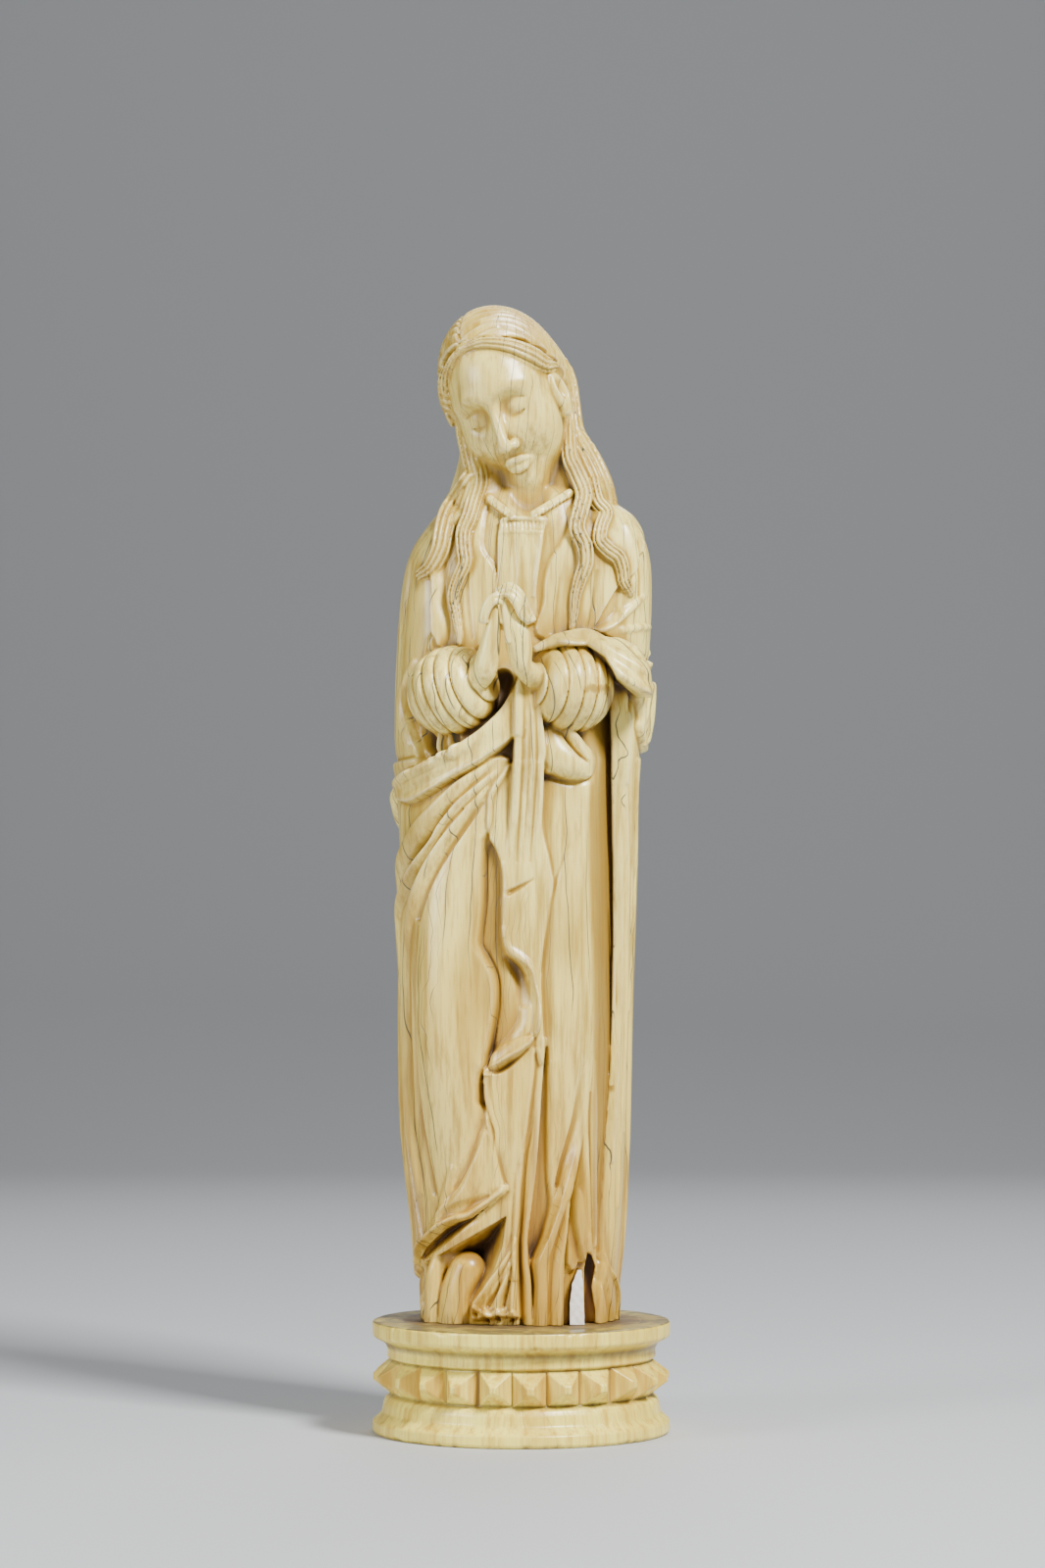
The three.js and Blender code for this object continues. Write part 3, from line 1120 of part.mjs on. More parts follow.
// Clasped hands: the palms lean together and the fingers are laced over the top in two bundles
addLimb(
  [
    [-12.6, -20, 197.6, 3.4], [-9.8, -24.8, 200.6, 3.3], [-8.6, -26.2, 205, 2.9], [-7.7, -27.2, 210, 2.3],
    [-7.2, -27.8, 214, 1.8], [-7, -28.2, 217.4, 1.2],
  ],
  0.4,
);
addLimb(
  [
    [4, -20.6, 199, 3.4], [0.4, -25.6, 201.6, 2.7], [-0.5, -26.4, 206, 3.3], [-1.2, -26.8, 210.4, 3.3],
    [-2.8, -27.4, 214.4, 2.3], [-4.4, -28, 218.4, 1.5],
  ],
  0.4,
);
const FINGER_RADIUS = 1.05;
const FINGERS = [
  [[-4.8, -29.2, 219.4], [-6.3, -30, 219.9], [-8.3, -30.2, 218.8], [-9.7, -29.8, 216.4], [-10.4, -29, 214]],
  [[-5.4, -29.2, 218.2], [-6.8, -30, 218.2], [-8, -30, 217.2], [-8.9, -29.6, 215.6]],
  [[-5.6, -28.6, 221.4], [-3.2, -29.2, 222.2], [-0.8, -29.4, 221], [0.9, -29.2, 218.4], [3, -28.8, 214]],
  [[-5.2, -29.4, 221], [-3, -30.2, 221.2], [-1, -30.4, 219.6], [0, -30.3, 217.4], [2.4, -29.6, 213.6]],
  [[-4.7, -29.6, 220], [-3, -30.5, 219.6], [-1.6, -30.7, 218], [-0.8, -30.5, 216], [1.4, -29.6, 213.4]],
  [[-4.9, -28.8, 220.4], [-4.4, -29.2, 217.4], [-3.9, -29.4, 213], [-3.4, -29.2, 208]],
];
for (const finger of FINGERS) addLimb(finger.map((p) => [...p, FINGER_RADIUS]), 0.2);
addLimb([[-4.9, -29.4, 206, 0.8], [-4.6, -28.6, 200, 2], [-4.6, -26, 196, 2.6]], 0.5, cut);

// The figure's flat underside
work(LOW, [HIGH[0], HIGH[1], SKIRT_BOTTOM], 0.01, cut, (p) => p[2] - SKIRT_BOTTOM);

// Surface of the field: each cell is split into six tetrahedra along one diagonal, and every
// tetrahedron that the surface crosses gives one or two triangles.

const CORNERS = [[0, 0, 0], [1, 0, 0], [1, 1, 0], [0, 1, 0], [0, 0, 1], [1, 0, 1], [1, 1, 1], [0, 1, 1]];
const TETRAHEDRA = [[0, 5, 1, 6], [0, 1, 2, 6], [0, 2, 3, 6], [0, 3, 7, 6], [0, 7, 4, 6], [0, 4, 5, 6]];

function surfaceOfField() {
  const [nx, ny, nz] = counts;
  const positions = [];
  const triangles = [];
  const made = new Map();
  const strides = CORNERS.map(([i, j, l]) => (l * ny + j) * nx + i);
  const place = (cell) => [cell % nx, Math.floor(cell / nx) % ny, Math.floor(cell / (nx * ny))];
  const crossing = (a, b) => {
    const [low, high] = a < b ? [a, b] : [b, a];
    const key = low * 8388608 + (high - low);
    let vertex = made.get(key);
    if (vertex === undefined) {
      const t = clamp(field[low] / (field[low] - field[high]), 0.04, 0.96);
      const [p, q] = [place(low), place(high)];
      vertex = positions.length / 3;
      for (let k = 0; k < 3; k++) positions.push(LOW[k] + lerp(p[k], q[k], t) * CELL);
      made.set(key, vertex);
    }
    return vertex;
  };
  for (let l = 0; l + 1 < nz; l++) {
    for (let j = 0; j + 1 < ny; j++) {
      for (let i = 0; i + 1 < nx; i++) {
        const base = (l * ny + j) * nx + i;
        const first = field[base] < 0;
        if (strides.every((stride) => field[base + stride] < 0 === first)) continue;
        for (const tetrahedron of TETRAHEDRA) {
          const cells = tetrahedron.map((corner) => base + strides[corner]);
          const inner = cells.filter((cell) => field[cell] < 0);
          const outer = cells.filter((cell) => field[cell] >= 0);
          if (inner.length === 0 || outer.length === 0) continue;
          const loop = [];
          if (inner.length === 2) {
            loop.push([inner[0], outer[0]], [inner[0], outer[1]], [inner[1], outer[1]], [inner[1], outer[0]]);
          } else if (inner.length === 1) {
            for (const cell of outer) loop.push([inner[0], cell]);
          } else {
            for (const cell of inner) loop.push([cell, outer[0]]);
          }
          const ring = loop.map(([a, b]) => crossing(a, b));
          const outward = minus(place(outer[0]), place(inner[0]));
          const at = (v) => [positions[3 * v], positions[3 * v + 1], positions[3 * v + 2]];
          const [e, f] = [minus(at(ring[1]), at(ring[0])), minus(at(ring[2]), at(ring[0]))];
          if (dot(crossProduct(e, f), outward) < 0) ring.reverse();
          for (let v = 1; v + 1 < ring.length; v++) triangles.push(ring[0], ring[v], ring[v + 1]);
        }
      }
    }
  }
  return { positions, triangles };
}

// Keeps only the largest connected surface
function largestBody({ positions, triangles }) {
  const parent = Int32Array.from({ length: positions.length / 3 }, (_, i) => i);
  const root = (v) => {
    while (parent[v] !== v) v = parent[v] = parent[parent[v]];
    return v;
  };
  for (let i = 0; i < triangles.length; i += 3) {
    parent[root(triangles[i])] = root(triangles[i + 1]);
    parent[root(triangles[i])] = root(triangles[i + 2]);
  }
  const sizes = new Map();
  for (const v of triangles) sizes.set(root(v), (sizes.get(root(v)) ?? 0) + 1);
  const [biggest] = [...sizes].sort((a, b) => b[1] - a[1])[0];
  return { positions, triangles: triangles.filter((v) => root(v) === biggest) };
}

// A heap of candidate edges, cheapest first
class Heap {
  items = [];
  push(item) {
    const { items } = this;
    let i = items.length;
    items.push(item);
    while (i > 0) {
      const up = (i - 1) >> 1;
      if (items[up].cost <= item.cost) break;
      items[i] = items[up];
      i = up;
    }
    items[i] = item;
  }
  pop() {
    const { items } = this;
    const top = items[0];
    const last = items.pop();
    if (items.length === 0) return top;
    let i = 0;
    while (true) {
      let child = 2 * i + 1;
      if (child >= items.length) break;
      if (child + 1 < items.length && items[child + 1].cost < items[child].cost) child++;
      if (items[child].cost >= last.cost) break;
      items[i] = items[child];
      i = child;
    }
    items[i] = last;
    return top;
  }
}

// Fewer, larger facets: the edge whose removal moves the surface least goes first. Face and
// hands weigh more, so they keep smaller facets.
const attention = ([x, y, z]) => {
  if (z > 250 && y < 2) return 7;
  if (z > 205 && y < -22) return 4;
  return y > 10 ? 0.5 : 1;
};

// The place where a quadric is smallest, if it has one
function lowest([xx, xy, xz, x, yy, yz, y, zz, z]) {
  const [first, second, third] = [xz * yz - xy * zz, xy * yz - xz * yy, xy * xz - xx * yz];
  const rows = [
    [yy * zz - yz * yz, first, second],
    [first, xx * zz - xz * xz, third],
    [second, third, xx * yy - xy * xy],
  ];
  const size = dot([xx, xy, xz], rows[0]);
  return Math.abs(size) < 1e-6 ? undefined : rows.map((row) => -dot(row, [x, y, z]) / size);
}

function simplify({ positions, triangles }, target) {
  const count = positions.length / 3;
  const point = Array.from({ length: count }, (_, v) => positions.slice(3 * v, 3 * v + 3));
  const faces = [];
  const around = Array.from({ length: count }, () => new Set());
  const quadric = Array.from({ length: count }, () => new Float64Array(10));
  const version = new Int32Array(count);
  const normalOf = (a, b, c) => crossProduct(minus(b, a), minus(c, a));
  for (let i = 0; i < triangles.length; i += 3) {
    const face = [triangles[i], triangles[i + 1], triangles[i + 2]];
    const normal = normalOf(...face.map((v) => point[v]));
    const area = Math.hypot(...normal);
    if (area > 1e-12) {
      const [a, b, c] = normal.map((n) => n / area);
      const d = -dot([a, b, c], point[face[0]]);
      const weight = area * attention(point[face[0]]);
      const terms = [a * a, a * b, a * c, a * d, b * b, b * c, b * d, c * c, c * d, d * d];
      for (const v of face) terms.forEach((term, k) => (quadric[v][k] += term * weight));
    }
    for (const v of face) around[v].add(faces.length);
    faces.push(face);
  }
  const errorAt = (q, [x, y, z]) =>
    q[0] * x * x + 2 * q[1] * x * y + 2 * q[2] * x * z + 2 * q[3] * x + q[4] * y * y +
    2 * q[5] * y * z + 2 * q[6] * y + q[7] * z * z + 2 * q[8] * z + q[9];
  const bestPlace = (q, a, b) => {
    const middle = a.map((v, k) => (v + b[k]) / 2);
    const solved = lowest(q);
    const places = [middle, a, b];
    const reach = 2 * Math.hypot(...minus(a, b)) + 0.5;
    if (solved && Math.hypot(...minus(solved, middle)) < reach) places.push(solved);
    return places.reduce((best, place) => (errorAt(q, place) < errorAt(q, best) ? place : best));
  };
  const heap = new Heap();
  const offer = (a, b) => {
    const q = quadric[a].map((v, k) => v + quadric[b][k]);
    const place = bestPlace(q, point[a], point[b]);
    const length = Math.hypot(...minus(point[a], point[b]));
    const cost = Math.max(errorAt(q, place), 0) + 1e-4 * length;
    heap.push({ cost, a, b, place, ages: [version[a], version[b]] });
  };
  const neighbours = (v) => {
    const found = new Set();
    for (const f of around[v]) for (const w of faces[f]) if (w !== v) found.add(w);
    return found;
  };
  for (let v = 0; v < count; v++) for (const w of neighbours(v)) if (w > v) offer(v, w);
  let left = faces.length;
  const alive = new Uint8Array(count).fill(1);
  const turnsOver = (v, gone, place) => {
    for (const f of around[v]) {
      const face = faces[f];
      if (face.includes(gone)) continue;
      const before = normalOf(...face.map((w) => point[w]));
      const corners = face.map((w) => (w === v ? place : point[w]));
      const after = normalOf(...corners);
      const size = Math.hypot(...after);
      const edges = corners.map((corner, k) => Math.hypot(...minus(corner, corners[(k + 1) % 3])));
      if (size < 0.02 * Math.max(...edges) ** 2) return true;
      if (dot(before, after) < 0.35 * Math.hypot(...before) * size) return true;
    }
    return false;
  };
  while (left > target && heap.items.length > 0) {
    const { a, b, place, ages } = heap.pop();
    if (!alive[a] || !alive[b] || version[a] !== ages[0] || version[b] !== ages[1]) continue;
    const shared = [...neighbours(a)].filter((v) => neighbours(b).has(v));
    if (shared.length !== 2) continue;
    if (turnsOver(a, b, place) || turnsOver(b, a, place)) continue;
    point[a] = place;
    for (let k = 0; k < 10; k++) quadric[a][k] += quadric[b][k];
    for (const f of [...around[b]]) {
      const face = faces[f];
      if (face.includes(a)) {
        for (const v of face) around[v].delete(f);
        faces[f] = null;
        left--;
      } else {
        face[face.indexOf(b)] = a;
        around[a].add(f);
      }
    }
    alive[b] = 0;
    version[a]++;
    for (const v of neighbours(a)) offer(a, v);
  }
  const names = new Map();
  const result = { positions: [], triangles: [] };
  for (const face of faces) {
    if (!face) continue;
    for (const v of face) {
      if (!names.has(v)) {
        names.set(v, names.size);
        result.positions.push(...point[v]);
      }
      result.triangles.push(names.get(v));
    }
  }
  return result;
}

// Joining and cutting closed solids

function toSolid(geometry) {
  const bare = geometry.clone();
  for (const name of Object.keys(bare.attributes)) if (name !== "position") bare.deleteAttribute(name);
  const merged = mergeVertices(bare, 1e-4);
  return new wasm.Manifold(
    new wasm.Mesh({
      numProp: 3,
      vertProperties: new Float32Array(merged.attributes.position.array),
      triVerts: new Uint32Array(merged.index.array),
    }),
  );
}

function toGeometry(solid) {
  const { vertProperties, triVerts } = solid.getMesh();
  const geometry = new THREE.BufferGeometry();
  geometry.setAttribute("position", new THREE.Float32BufferAttribute(vertProperties, 3));
  geometry.setIndex(new THREE.BufferAttribute(triVerts, 1));
  geometry.computeVertexNormals();
  return geometry;
}

// The plinth: a turned block with a band of four-sided pyramid studs

const PLINTH_PROFILE = [
  [0, 0], [38.9, 0], [FOOT_RADIUS, 0.8], [39.6, 3.2], [38.4, 4.2], [37.2, 5.5], [36.8, 8], [36.2, 9.3],
  [34.8, BAND_BOTTOM], [BAND_RADIUS, BAND_BOTTOM + 0.3], [BAND_RADIUS, BAND_TOP - 0.3], [34.9, BAND_TOP],
  [35.9, 20.1], [35.7, 22], [36.3, 23.5], [37.5, 24.4], [39.2, 25.2], [PLATE_RADIUS, 25.9],
  [PLATE_RADIUS, 29], [39.4, PLINTH_TOP], [0, PLINTH_TOP],
];

function makePlinth() {
  const profile = PLINTH_PROFILE.map(([radius, z]) => new THREE.Vector2(radius, z));
  const turned = new THREE.LatheGeometry(profile, PLINTH_SEGMENTS).rotateX(Math.PI / 2);
  let solid = toSolid(turned.rotateZ(degToRad(STUD_TURN)));
  const root = BAND_RADIUS * Math.cos(Math.PI / STUD_COUNT) - 1.2;
  const reach = STUD_TIP_RADIUS - root;
  const baseWidth = 2 * BAND_RADIUS * Math.sin(Math.PI / STUD_COUNT) + 2.1;
  for (let i = 0; i < STUD_COUNT; i++) {
    const stud = new THREE.CylinderGeometry(STUD_TIP_WIDTH / Math.SQRT2, baseWidth / Math.SQRT2, reach, 4)
      .rotateY(Math.PI / 4)
      .translate(0, root + reach / 2, 0)
      .rotateZ((2 * Math.PI * i) / STUD_COUNT + degToRad(STUD_TURN))
      .translate(0, 0, (BAND_BOTTOM + BAND_TOP) / 2);
    const keeper = new THREE.CylinderGeometry(44, 44, BAND_TOP - BAND_BOTTOM, 8)
      .rotateX(Math.PI / 2)
      .translate(0, 0, (BAND_BOTTOM + BAND_TOP) / 2);
    solid = solid.add(toSolid(stud).intersect(toSolid(keeper)));
  }
  return toGeometry(solid);
}

// The white filling under the broken hem, standing on the plinth

const FILLING = [
  [12.6, PLINTH_TOP], [16.6, PLINTH_TOP], [16.2, 41], [15.8, 43.6], [14.6, 43.8], [13.2, 40],
  [12.6, 35],
];
const FILLING_FRONT = -17.2;
const FILLING_BACK = -12.6;

function fillingShape(grow) {
  const centre = [14.6, 36];
  const points = FILLING.map(([x, z]) => {
    const away = [x - centre[0], z - centre[1]];
    const length = Math.hypot(...away);
    const low = grow > 0 && z <= PLINTH_TOP ? 2 : 0;
    return new THREE.Vector2(x + (away[0] / length) * grow * 1.6, z + (away[1] / length) * grow * 1.3 - low);
  });
  const depth = FILLING_BACK - FILLING_FRONT + (grow > 0 ? grow + 6 : 0);
  return new THREE.ExtrudeGeometry(new THREE.Shape(points), { depth, bevelEnabled: false })
    .rotateX(Math.PI / 2)
    .translate(0, FILLING_BACK + Math.max(grow, 0), 0);
}

function makeFigure() {
  const body = simplify(largestBody(surfaceOfField()), FIGURE_TRIANGLES);
  const geometry = new THREE.BufferGeometry();
  geometry.setAttribute("position", new THREE.Float32BufferAttribute(body.positions, 3));
  geometry.setIndex(body.triangles);
  const below = new THREE.BoxGeometry(120, 120, 20).translate(0, 0, PLINTH_TOP - 10);
  return toGeometry(toSolid(geometry).subtract(toSolid(below)).subtract(toSolid(fillingShape(FILLING_GAP))));
}

const ivory = new THREE.MeshStandardMaterial({ color: "#dccba0", roughness: 0.42, metalness: 0 });
const darkIvory = new THREE.MeshStandardMaterial({ color: "#d2bd8a", roughness: 0.45, metalness: 0 });
const filler = new THREE.MeshStandardMaterial({ color: "#eceae2", roughness: 0.85, metalness: 0 });

const statuette = new THREE.Group();
for (const [name, geometry, material] of [
  ["plinth", makePlinth(), darkIvory],
  ["figure", makeFigure(), ivory],
  ["repair_insert", toGeometry(toSolid(fillingShape(0))), filler],
]) {
  const mesh = new THREE.Mesh(geometry, material);
  mesh.name = name;
  statuette.add(mesh);
}

export default statuette;
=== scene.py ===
import math
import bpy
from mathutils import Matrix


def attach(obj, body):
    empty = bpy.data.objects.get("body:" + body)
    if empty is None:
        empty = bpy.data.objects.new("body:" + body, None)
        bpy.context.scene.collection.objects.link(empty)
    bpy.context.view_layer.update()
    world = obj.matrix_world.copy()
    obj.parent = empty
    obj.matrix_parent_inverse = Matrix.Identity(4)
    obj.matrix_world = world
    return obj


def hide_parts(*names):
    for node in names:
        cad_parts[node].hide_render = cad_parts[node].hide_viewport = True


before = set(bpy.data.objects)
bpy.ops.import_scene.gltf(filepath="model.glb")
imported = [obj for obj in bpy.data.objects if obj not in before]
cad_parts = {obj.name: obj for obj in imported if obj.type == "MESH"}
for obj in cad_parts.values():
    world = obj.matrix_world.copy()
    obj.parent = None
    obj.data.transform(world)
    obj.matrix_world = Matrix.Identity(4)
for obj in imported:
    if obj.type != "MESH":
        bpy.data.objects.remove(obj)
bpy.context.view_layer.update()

from concurrent.futures import ThreadPoolExecutor

import bmesh
import bpy
import numpy as np
import openvdb
from mathutils import Vector

# A carved ivory statuette of a mourning virgin on a round plinth. The shapes are worked in
# millimetres, +Z up, facing -Y, from the same named sizes as the solids, and made in metres.

MM = 0.001
PLINTH_TOP = 29.5
CELL = 0.3
RELIEF_STEP = 0.2
FIGURE_TRIANGLES = 195000

HEAD_CENTRE = np.array([-3.4, -3.4, 274.6])
HEAD_SCALE = 1.05
HEAD_TALL = 1.06
HEAD_PITCH = 18
HEAD_YAW = 22
HEAD_ROLL = 19
PARTING = 2.5
STRAND_PITCH = 2.6
STRAND_DEPTH = 1.3
LOCK_ROOT = 246
SLEEVE_RINGS = 3.9
SLEEVE_GATHER = 0.88
CHANNEL_BOTTOM = 54
CHANNEL_TOP = 196
CHANNEL_POWER = 1.4

# The robe's smooth outline: height, left edge, right edge, front and back
OUTLINE = [
    [24, -25.4, 22.4, -17.4, 18], [34, -25.6, 22.8, -17.4, 18.5], [54, -27, 25, -17.4, 20],
    [80, -30, 26.2, -17.6, 21.5], [110, -31, 27, -18, 22.5], [146, -31.2, 28.6, -17.8, 23],
    [166, -31.8, 29.2, -17.4, 23], [180, -32.2, 30.2, -17.6, 23], [200, -32, 32.6, -15.6, 22.5],
    [222, -30.6, 33.8, -14.6, 21], [234, -28, 33, -13.8, 19], [242, -22.6, 29.6, -12.6, 17],
    [247, -16.6, 24.6, -11, 15], [250.5, -10, 17, -8.6, 12], [252.5, -4, 8, -4, 7],
]
OUTLINE_POWER = 2.3
SKIRT_BOTTOM = 26
SKIRT_TOP = 252.5
RELIEF_TOP = 252
RELIEF_FADE = 8
RELIEF_REACH = 9.5


# Small tools


def join(a, b, k):
    """The union of two distances, rounded over the width k"""
    h = np.maximum(k - np.abs(a - b), 0) / k
    return np.minimum(a, b) - h * h * k * 0.25


def cut(a, b, k):
    """The first distance with the second cut out of it"""
    return -join(-a, b, k)


def smoothstep(x, low, high):
    """0 below low, 1 above high, and a smooth rise between them"""
    t = np.clip((x - low) / (high - low), 0, 1)
    return t * t * (3 - 2 * t)


def lerp(a, b, t):
    """The place at share t of the way from a to b"""
    return a + (b - a) * t


def smooth_path(points, steps=6, closed=False):
    """A smooth path through points that may carry widths and heights as further components"""
    p = np.array(points, float)
    if len(p) < 3:
        return p
    count = len(p) if closed else len(p) - 1
    path = []
    for i in range(count):
        if closed:
            p0, p1, p2, p3 = (p[(i + k) % len(p)] for k in (-1, 0, 1, 2))
        else:
            p0, p1, p2, p3 = (p[min(max(i + k, 0), len(p) - 1)] for k in (-1, 0, 1, 2))
        for t in np.arange(steps) / steps:
            v0 = (p2 - p0) / 2
            v1 = (p3 - p1) / 2
            cubic = 2 * (p1 - p2) + v0 + v1
            square = 3 * (p2 - p1) - 2 * v0 - v1
            path.append(((cubic * t + square) * t + v0) * t + p1)
    if not closed:
        path.append(p[-1])
    return np.array(path)


# The robe's section, and the girth position that runs around it in millimetres

OUTLINE_ROWS = smooth_path(OUTLINE, 4)
GIRTH_WIDTH = 32
GIRTH_DEPTH = 22
GIRTH_STEPS = 720
GIRTH_STRETCH = 1.6
GIRTH_ANGLES = np.linspace(0, math.pi, GIRTH_STEPS + 1)
speeds = np.hypot(
    GIRTH_WIDTH * np.cos((GIRTH_ANGLES[1:] + GIRTH_ANGLES[:-1]) / 2),
    GIRTH_DEPTH * np.sin((GIRTH_ANGLES[1:] + GIRTH_ANGLES[:-1]) / 2),
)
GIRTH_TABLE = np.concatenate([[0], np.cumsum(speeds) * math.pi / GIRTH_STEPS])
HALF_GIRTH = GIRTH_TABLE[-1]


def section(z):
    """The middle, half width and half depth of the robe at a height"""
    heights = OUTLINE_ROWS[:, 0]
    left, right, front, back = (np.interp(z, heights, OUTLINE_ROWS[:, k]) for k in (1, 2, 3, 4))
    return (left + right) / 2, (front + back) / 2, (right - left) / 2, (back - front) / 2


def girth_of_angle(angle):
    """The girth position at an angle round the robe, 0 at the front"""
    return np.sign(angle) * np.interp(np.abs(angle), GIRTH_ANGLES, GIRTH_TABLE)


def girth_of_front(x, z):
    """The girth position of the front surface, carried on past the sides"""
    centre, _, half_width, _ = section(z)
    reach = (x - centre) / half_width
    across = np.clip(reach, -0.99, 0.99)
    forward = (1 - np.abs(across) ** OUTLINE_POWER) ** (1 / OUTLINE_POWER)
    return girth_of_angle(np.arctan2(across, forward)) + (reach - across) * half_width * GIRTH_STRETCH


def front_of(x, z):
    """The y of the smooth front surface at a given x and height"""
    centre, y, half_width, half_depth = section(z)
    across = np.clip(abs(x - centre) / half_width, 0, 0.995)
    return y - half_depth * (1 - across ** OUTLINE_POWER) ** (1 / OUTLINE_POWER)


# Relief: how far the cloth stands out from the smooth robe at each girth position and height

COLUMNS = round(2 * HALF_GIRTH / RELIEF_STEP)
GIRTH_STEP = 2 * HALF_GIRTH / COLUMNS
ROWS = round((RELIEF_TOP + 4 - SKIRT_BOTTOM) / RELIEF_STEP)
relief = np.zeros((ROWS, COLUMNS), np.float32)


def relief_patch(points, margin):
    """The relief's rows and columns around some points, with the heights and girths of each"""
    low = points[:, :2].min(0) - margin
    high = points[:, :2].max(0) + margin
    left = math.ceil((low[0] + HALF_GIRTH) / GIRTH_STEP)
    right = math.floor((high[0] + HALF_GIRTH) / GIRTH_STEP)
    columns = np.arange(left, right + 1)
    first = max(math.ceil((low[1] - SKIRT_BOTTOM) / RELIEF_STEP), 0)
    last = min(math.floor((high[1] - SKIRT_BOTTOM) / RELIEF_STEP), ROWS - 1)
    rows = np.arange(first, last + 1)
    place = np.ix_(rows, columns % COLUMNS)
    return place, columns * GIRTH_STEP - HALF_GIRTH, rows * RELIEF_STEP + SKIRT_BOTTOM


def to_girth(points, front):
    """Points whose x is turned into a girth position where they lie on the front"""
    p = np.array(points, float)
    if front:
        p[:, 0] = girth_of_front(p[:, 0], p[:, 1])
    return p


def fold(points, power=1.5, lean=0.0, front=True):
    """A fold along points [x, z, half width, lift]. A power under 1 makes a full roll and over 1 a
    soft swell, and lean moves the crest towards the right hand side of the fold's direction."""
    path = smooth_path(to_girth(points, front))
    reach = path[:, 2].max()
    place, us, zs = relief_patch(path, reach)
    best = np.full((len(zs), len(us)), 1e6)
    share = np.zeros_like(best)
    lift = np.zeros_like(best)
    for a, b in zip(path[:-1], path[1:]):
        wide = max(a[2], b[2]) + 0.3
        r = slice(*np.searchsorted(zs, [min(a[1], b[1]) - wide, max(a[1], b[1]) + wide]))
        c = slice(*np.searchsorted(us, [min(a[0], b[0]) - wide, max(a[0], b[0]) + wide]))
        u = us[None, c]
        z = zs[r, None]
        d = b - a
        t = np.clip(((u - a[0]) * d[0] + (z - a[1]) * d[1]) / (d[0] ** 2 + d[1] ** 2 + 1e-9), 0, 1)
        eu = u - a[0] - t * d[0]
        ez = z - a[1] - t * d[1]
        gap = np.hypot(eu, ez)
        near = gap < best[r, c]
        side = np.sign(d[0] * ez - d[1] * eu)
        best[r, c] = np.where(near, gap, best[r, c])
        share[r, c] = np.where(near, -side * gap / (a[2] + t * d[2]), share[r, c])
        lift[r, c] = np.where(near, a[3] + t * d[3], lift[r, c])
    s = np.clip(np.where(best > 1e5, 1, share), -1, 1)
    s = np.where(s > lean, (s - lean) / (1 - lean), (s - lean) / (1 + lean))
    relief[place] += lift * np.clip(1 - s * s, 0, 1) ** power


def inset(outline, u, z):
    """The signed distance to a closed outline, positive inside"""
    inside = np.zeros(np.broadcast(u, z).shape, bool)
    distance = np.full(inside.shape, 1e6)
    for a, b in zip(outline, np.roll(outline, 1, 0)):
        d = b - a
        if a[1] != b[1]:
            crosses = ((a[1] > z) != (b[1] > z)) & (u < d[0] * (z - a[1]) / (b[1] - a[1]) + a[0])
            inside ^= crosses
        t = np.clip(((u - a[0]) * d[0] + (z - a[1]) * d[1]) / (d[0] ** 2 + d[1] ** 2 + 1e-9), 0, 1)
        distance = np.minimum(distance, np.hypot(u - a[0] - t * d[0], z - a[1] - t * d[1]))
    return np.where(inside, distance, -distance)


def lay(outline, lift, keep=1.0, soft=0.8, shade=0, fade=None, front=True):
    """Cloth laid over a closed outline. Keep is how much of what lies beneath still shows, soft is
    the width of its edge, and shade cuts a line of that depth just outside the edge. Between the
    two heights of fade the cloth thins out to nothing. A lift can also be a function of the place."""
    path = smooth_path(to_girth(outline, front), 4, closed=True)
    place, us, zs = relief_patch(path, 3 + soft)
    inner = inset(path, us[None, :], zs[:, None])
    amount = smoothstep(inner, -soft, soft)
    line = shade * np.exp(-(((inner + soft) / 1.1) ** 2)) * (1 - amount)
    if fade:
        thin = 1 - smoothstep(zs[:, None], *fade)
        amount = amount * thin
        line = line * thin
    if callable(lift):
        lift = lift(us[None, :], zs[:, None])
    relief[place] = relief[place] * (1 - amount * (1 - keep)) + lift * amount - line


# Dress and mantle swelling over both legs
fold([
    [-19, 164, 11, 0.4], [-20, 134, 12, 3.2], [-19.5, 106, 12, 3.6], [-18, 82, 12, 1.6], [-16, 66, 10, 0.4],
], power=1.5)
fold([
    [12, 170, 8, 0.8], [14.2, 146, 9, 2.6], [14, 116, 9, 3], [12.4, 94, 8, 2.2], [11, 78, 6, 0.6],
], power=1.3)
fold([[16.4, 176, 4, 1], [18.4, 160, 3.4, 1], [19.4, 136, 3, 0.8], [19.4, 112, 3, 0.6]], power=1.2)

# The back layers of the falling front edge: the lowest one, then the middle one over it
lay([
    [-8.6, 98], [-9.5, 92.3], [-9.1, 87.8], [-8.1, 84.2], [-6.9, 80], [-6.9, 74.7], [-7.8, 69.6],
    [-9.6, 64.4], [-6.4, 63.6], [-2.4, 64], [-0.8, 72.5], [1.2, 80], [2.6, 90], [3.4, 100], [2, 105],
    [-7, 101],
], 0.8, soft=0.6, fade=(82, 66), shade=0.3)
fold([
    [-9, 96, 1, 0.9], [-9, 91.6, 1.2, 1.1], [-8.6, 87.4, 1.3, 1.1], [-7.4, 82, 1.5, 1],
    [-6.8, 77, 1.8, 0.8], [-7.2, 71.6, 2.2, 0.5], [-8.8, 65.4, 2.6, 0.2],
], power=1, lean=0.5)
fold([
    [3.4, 101, 1.4, 0.5], [2.6, 90, 1.6, 0.6], [1.2, 80, 1.6, 0.7], [-0.6, 73, 1.4, 0.3],
], power=1, lean=-0.5)
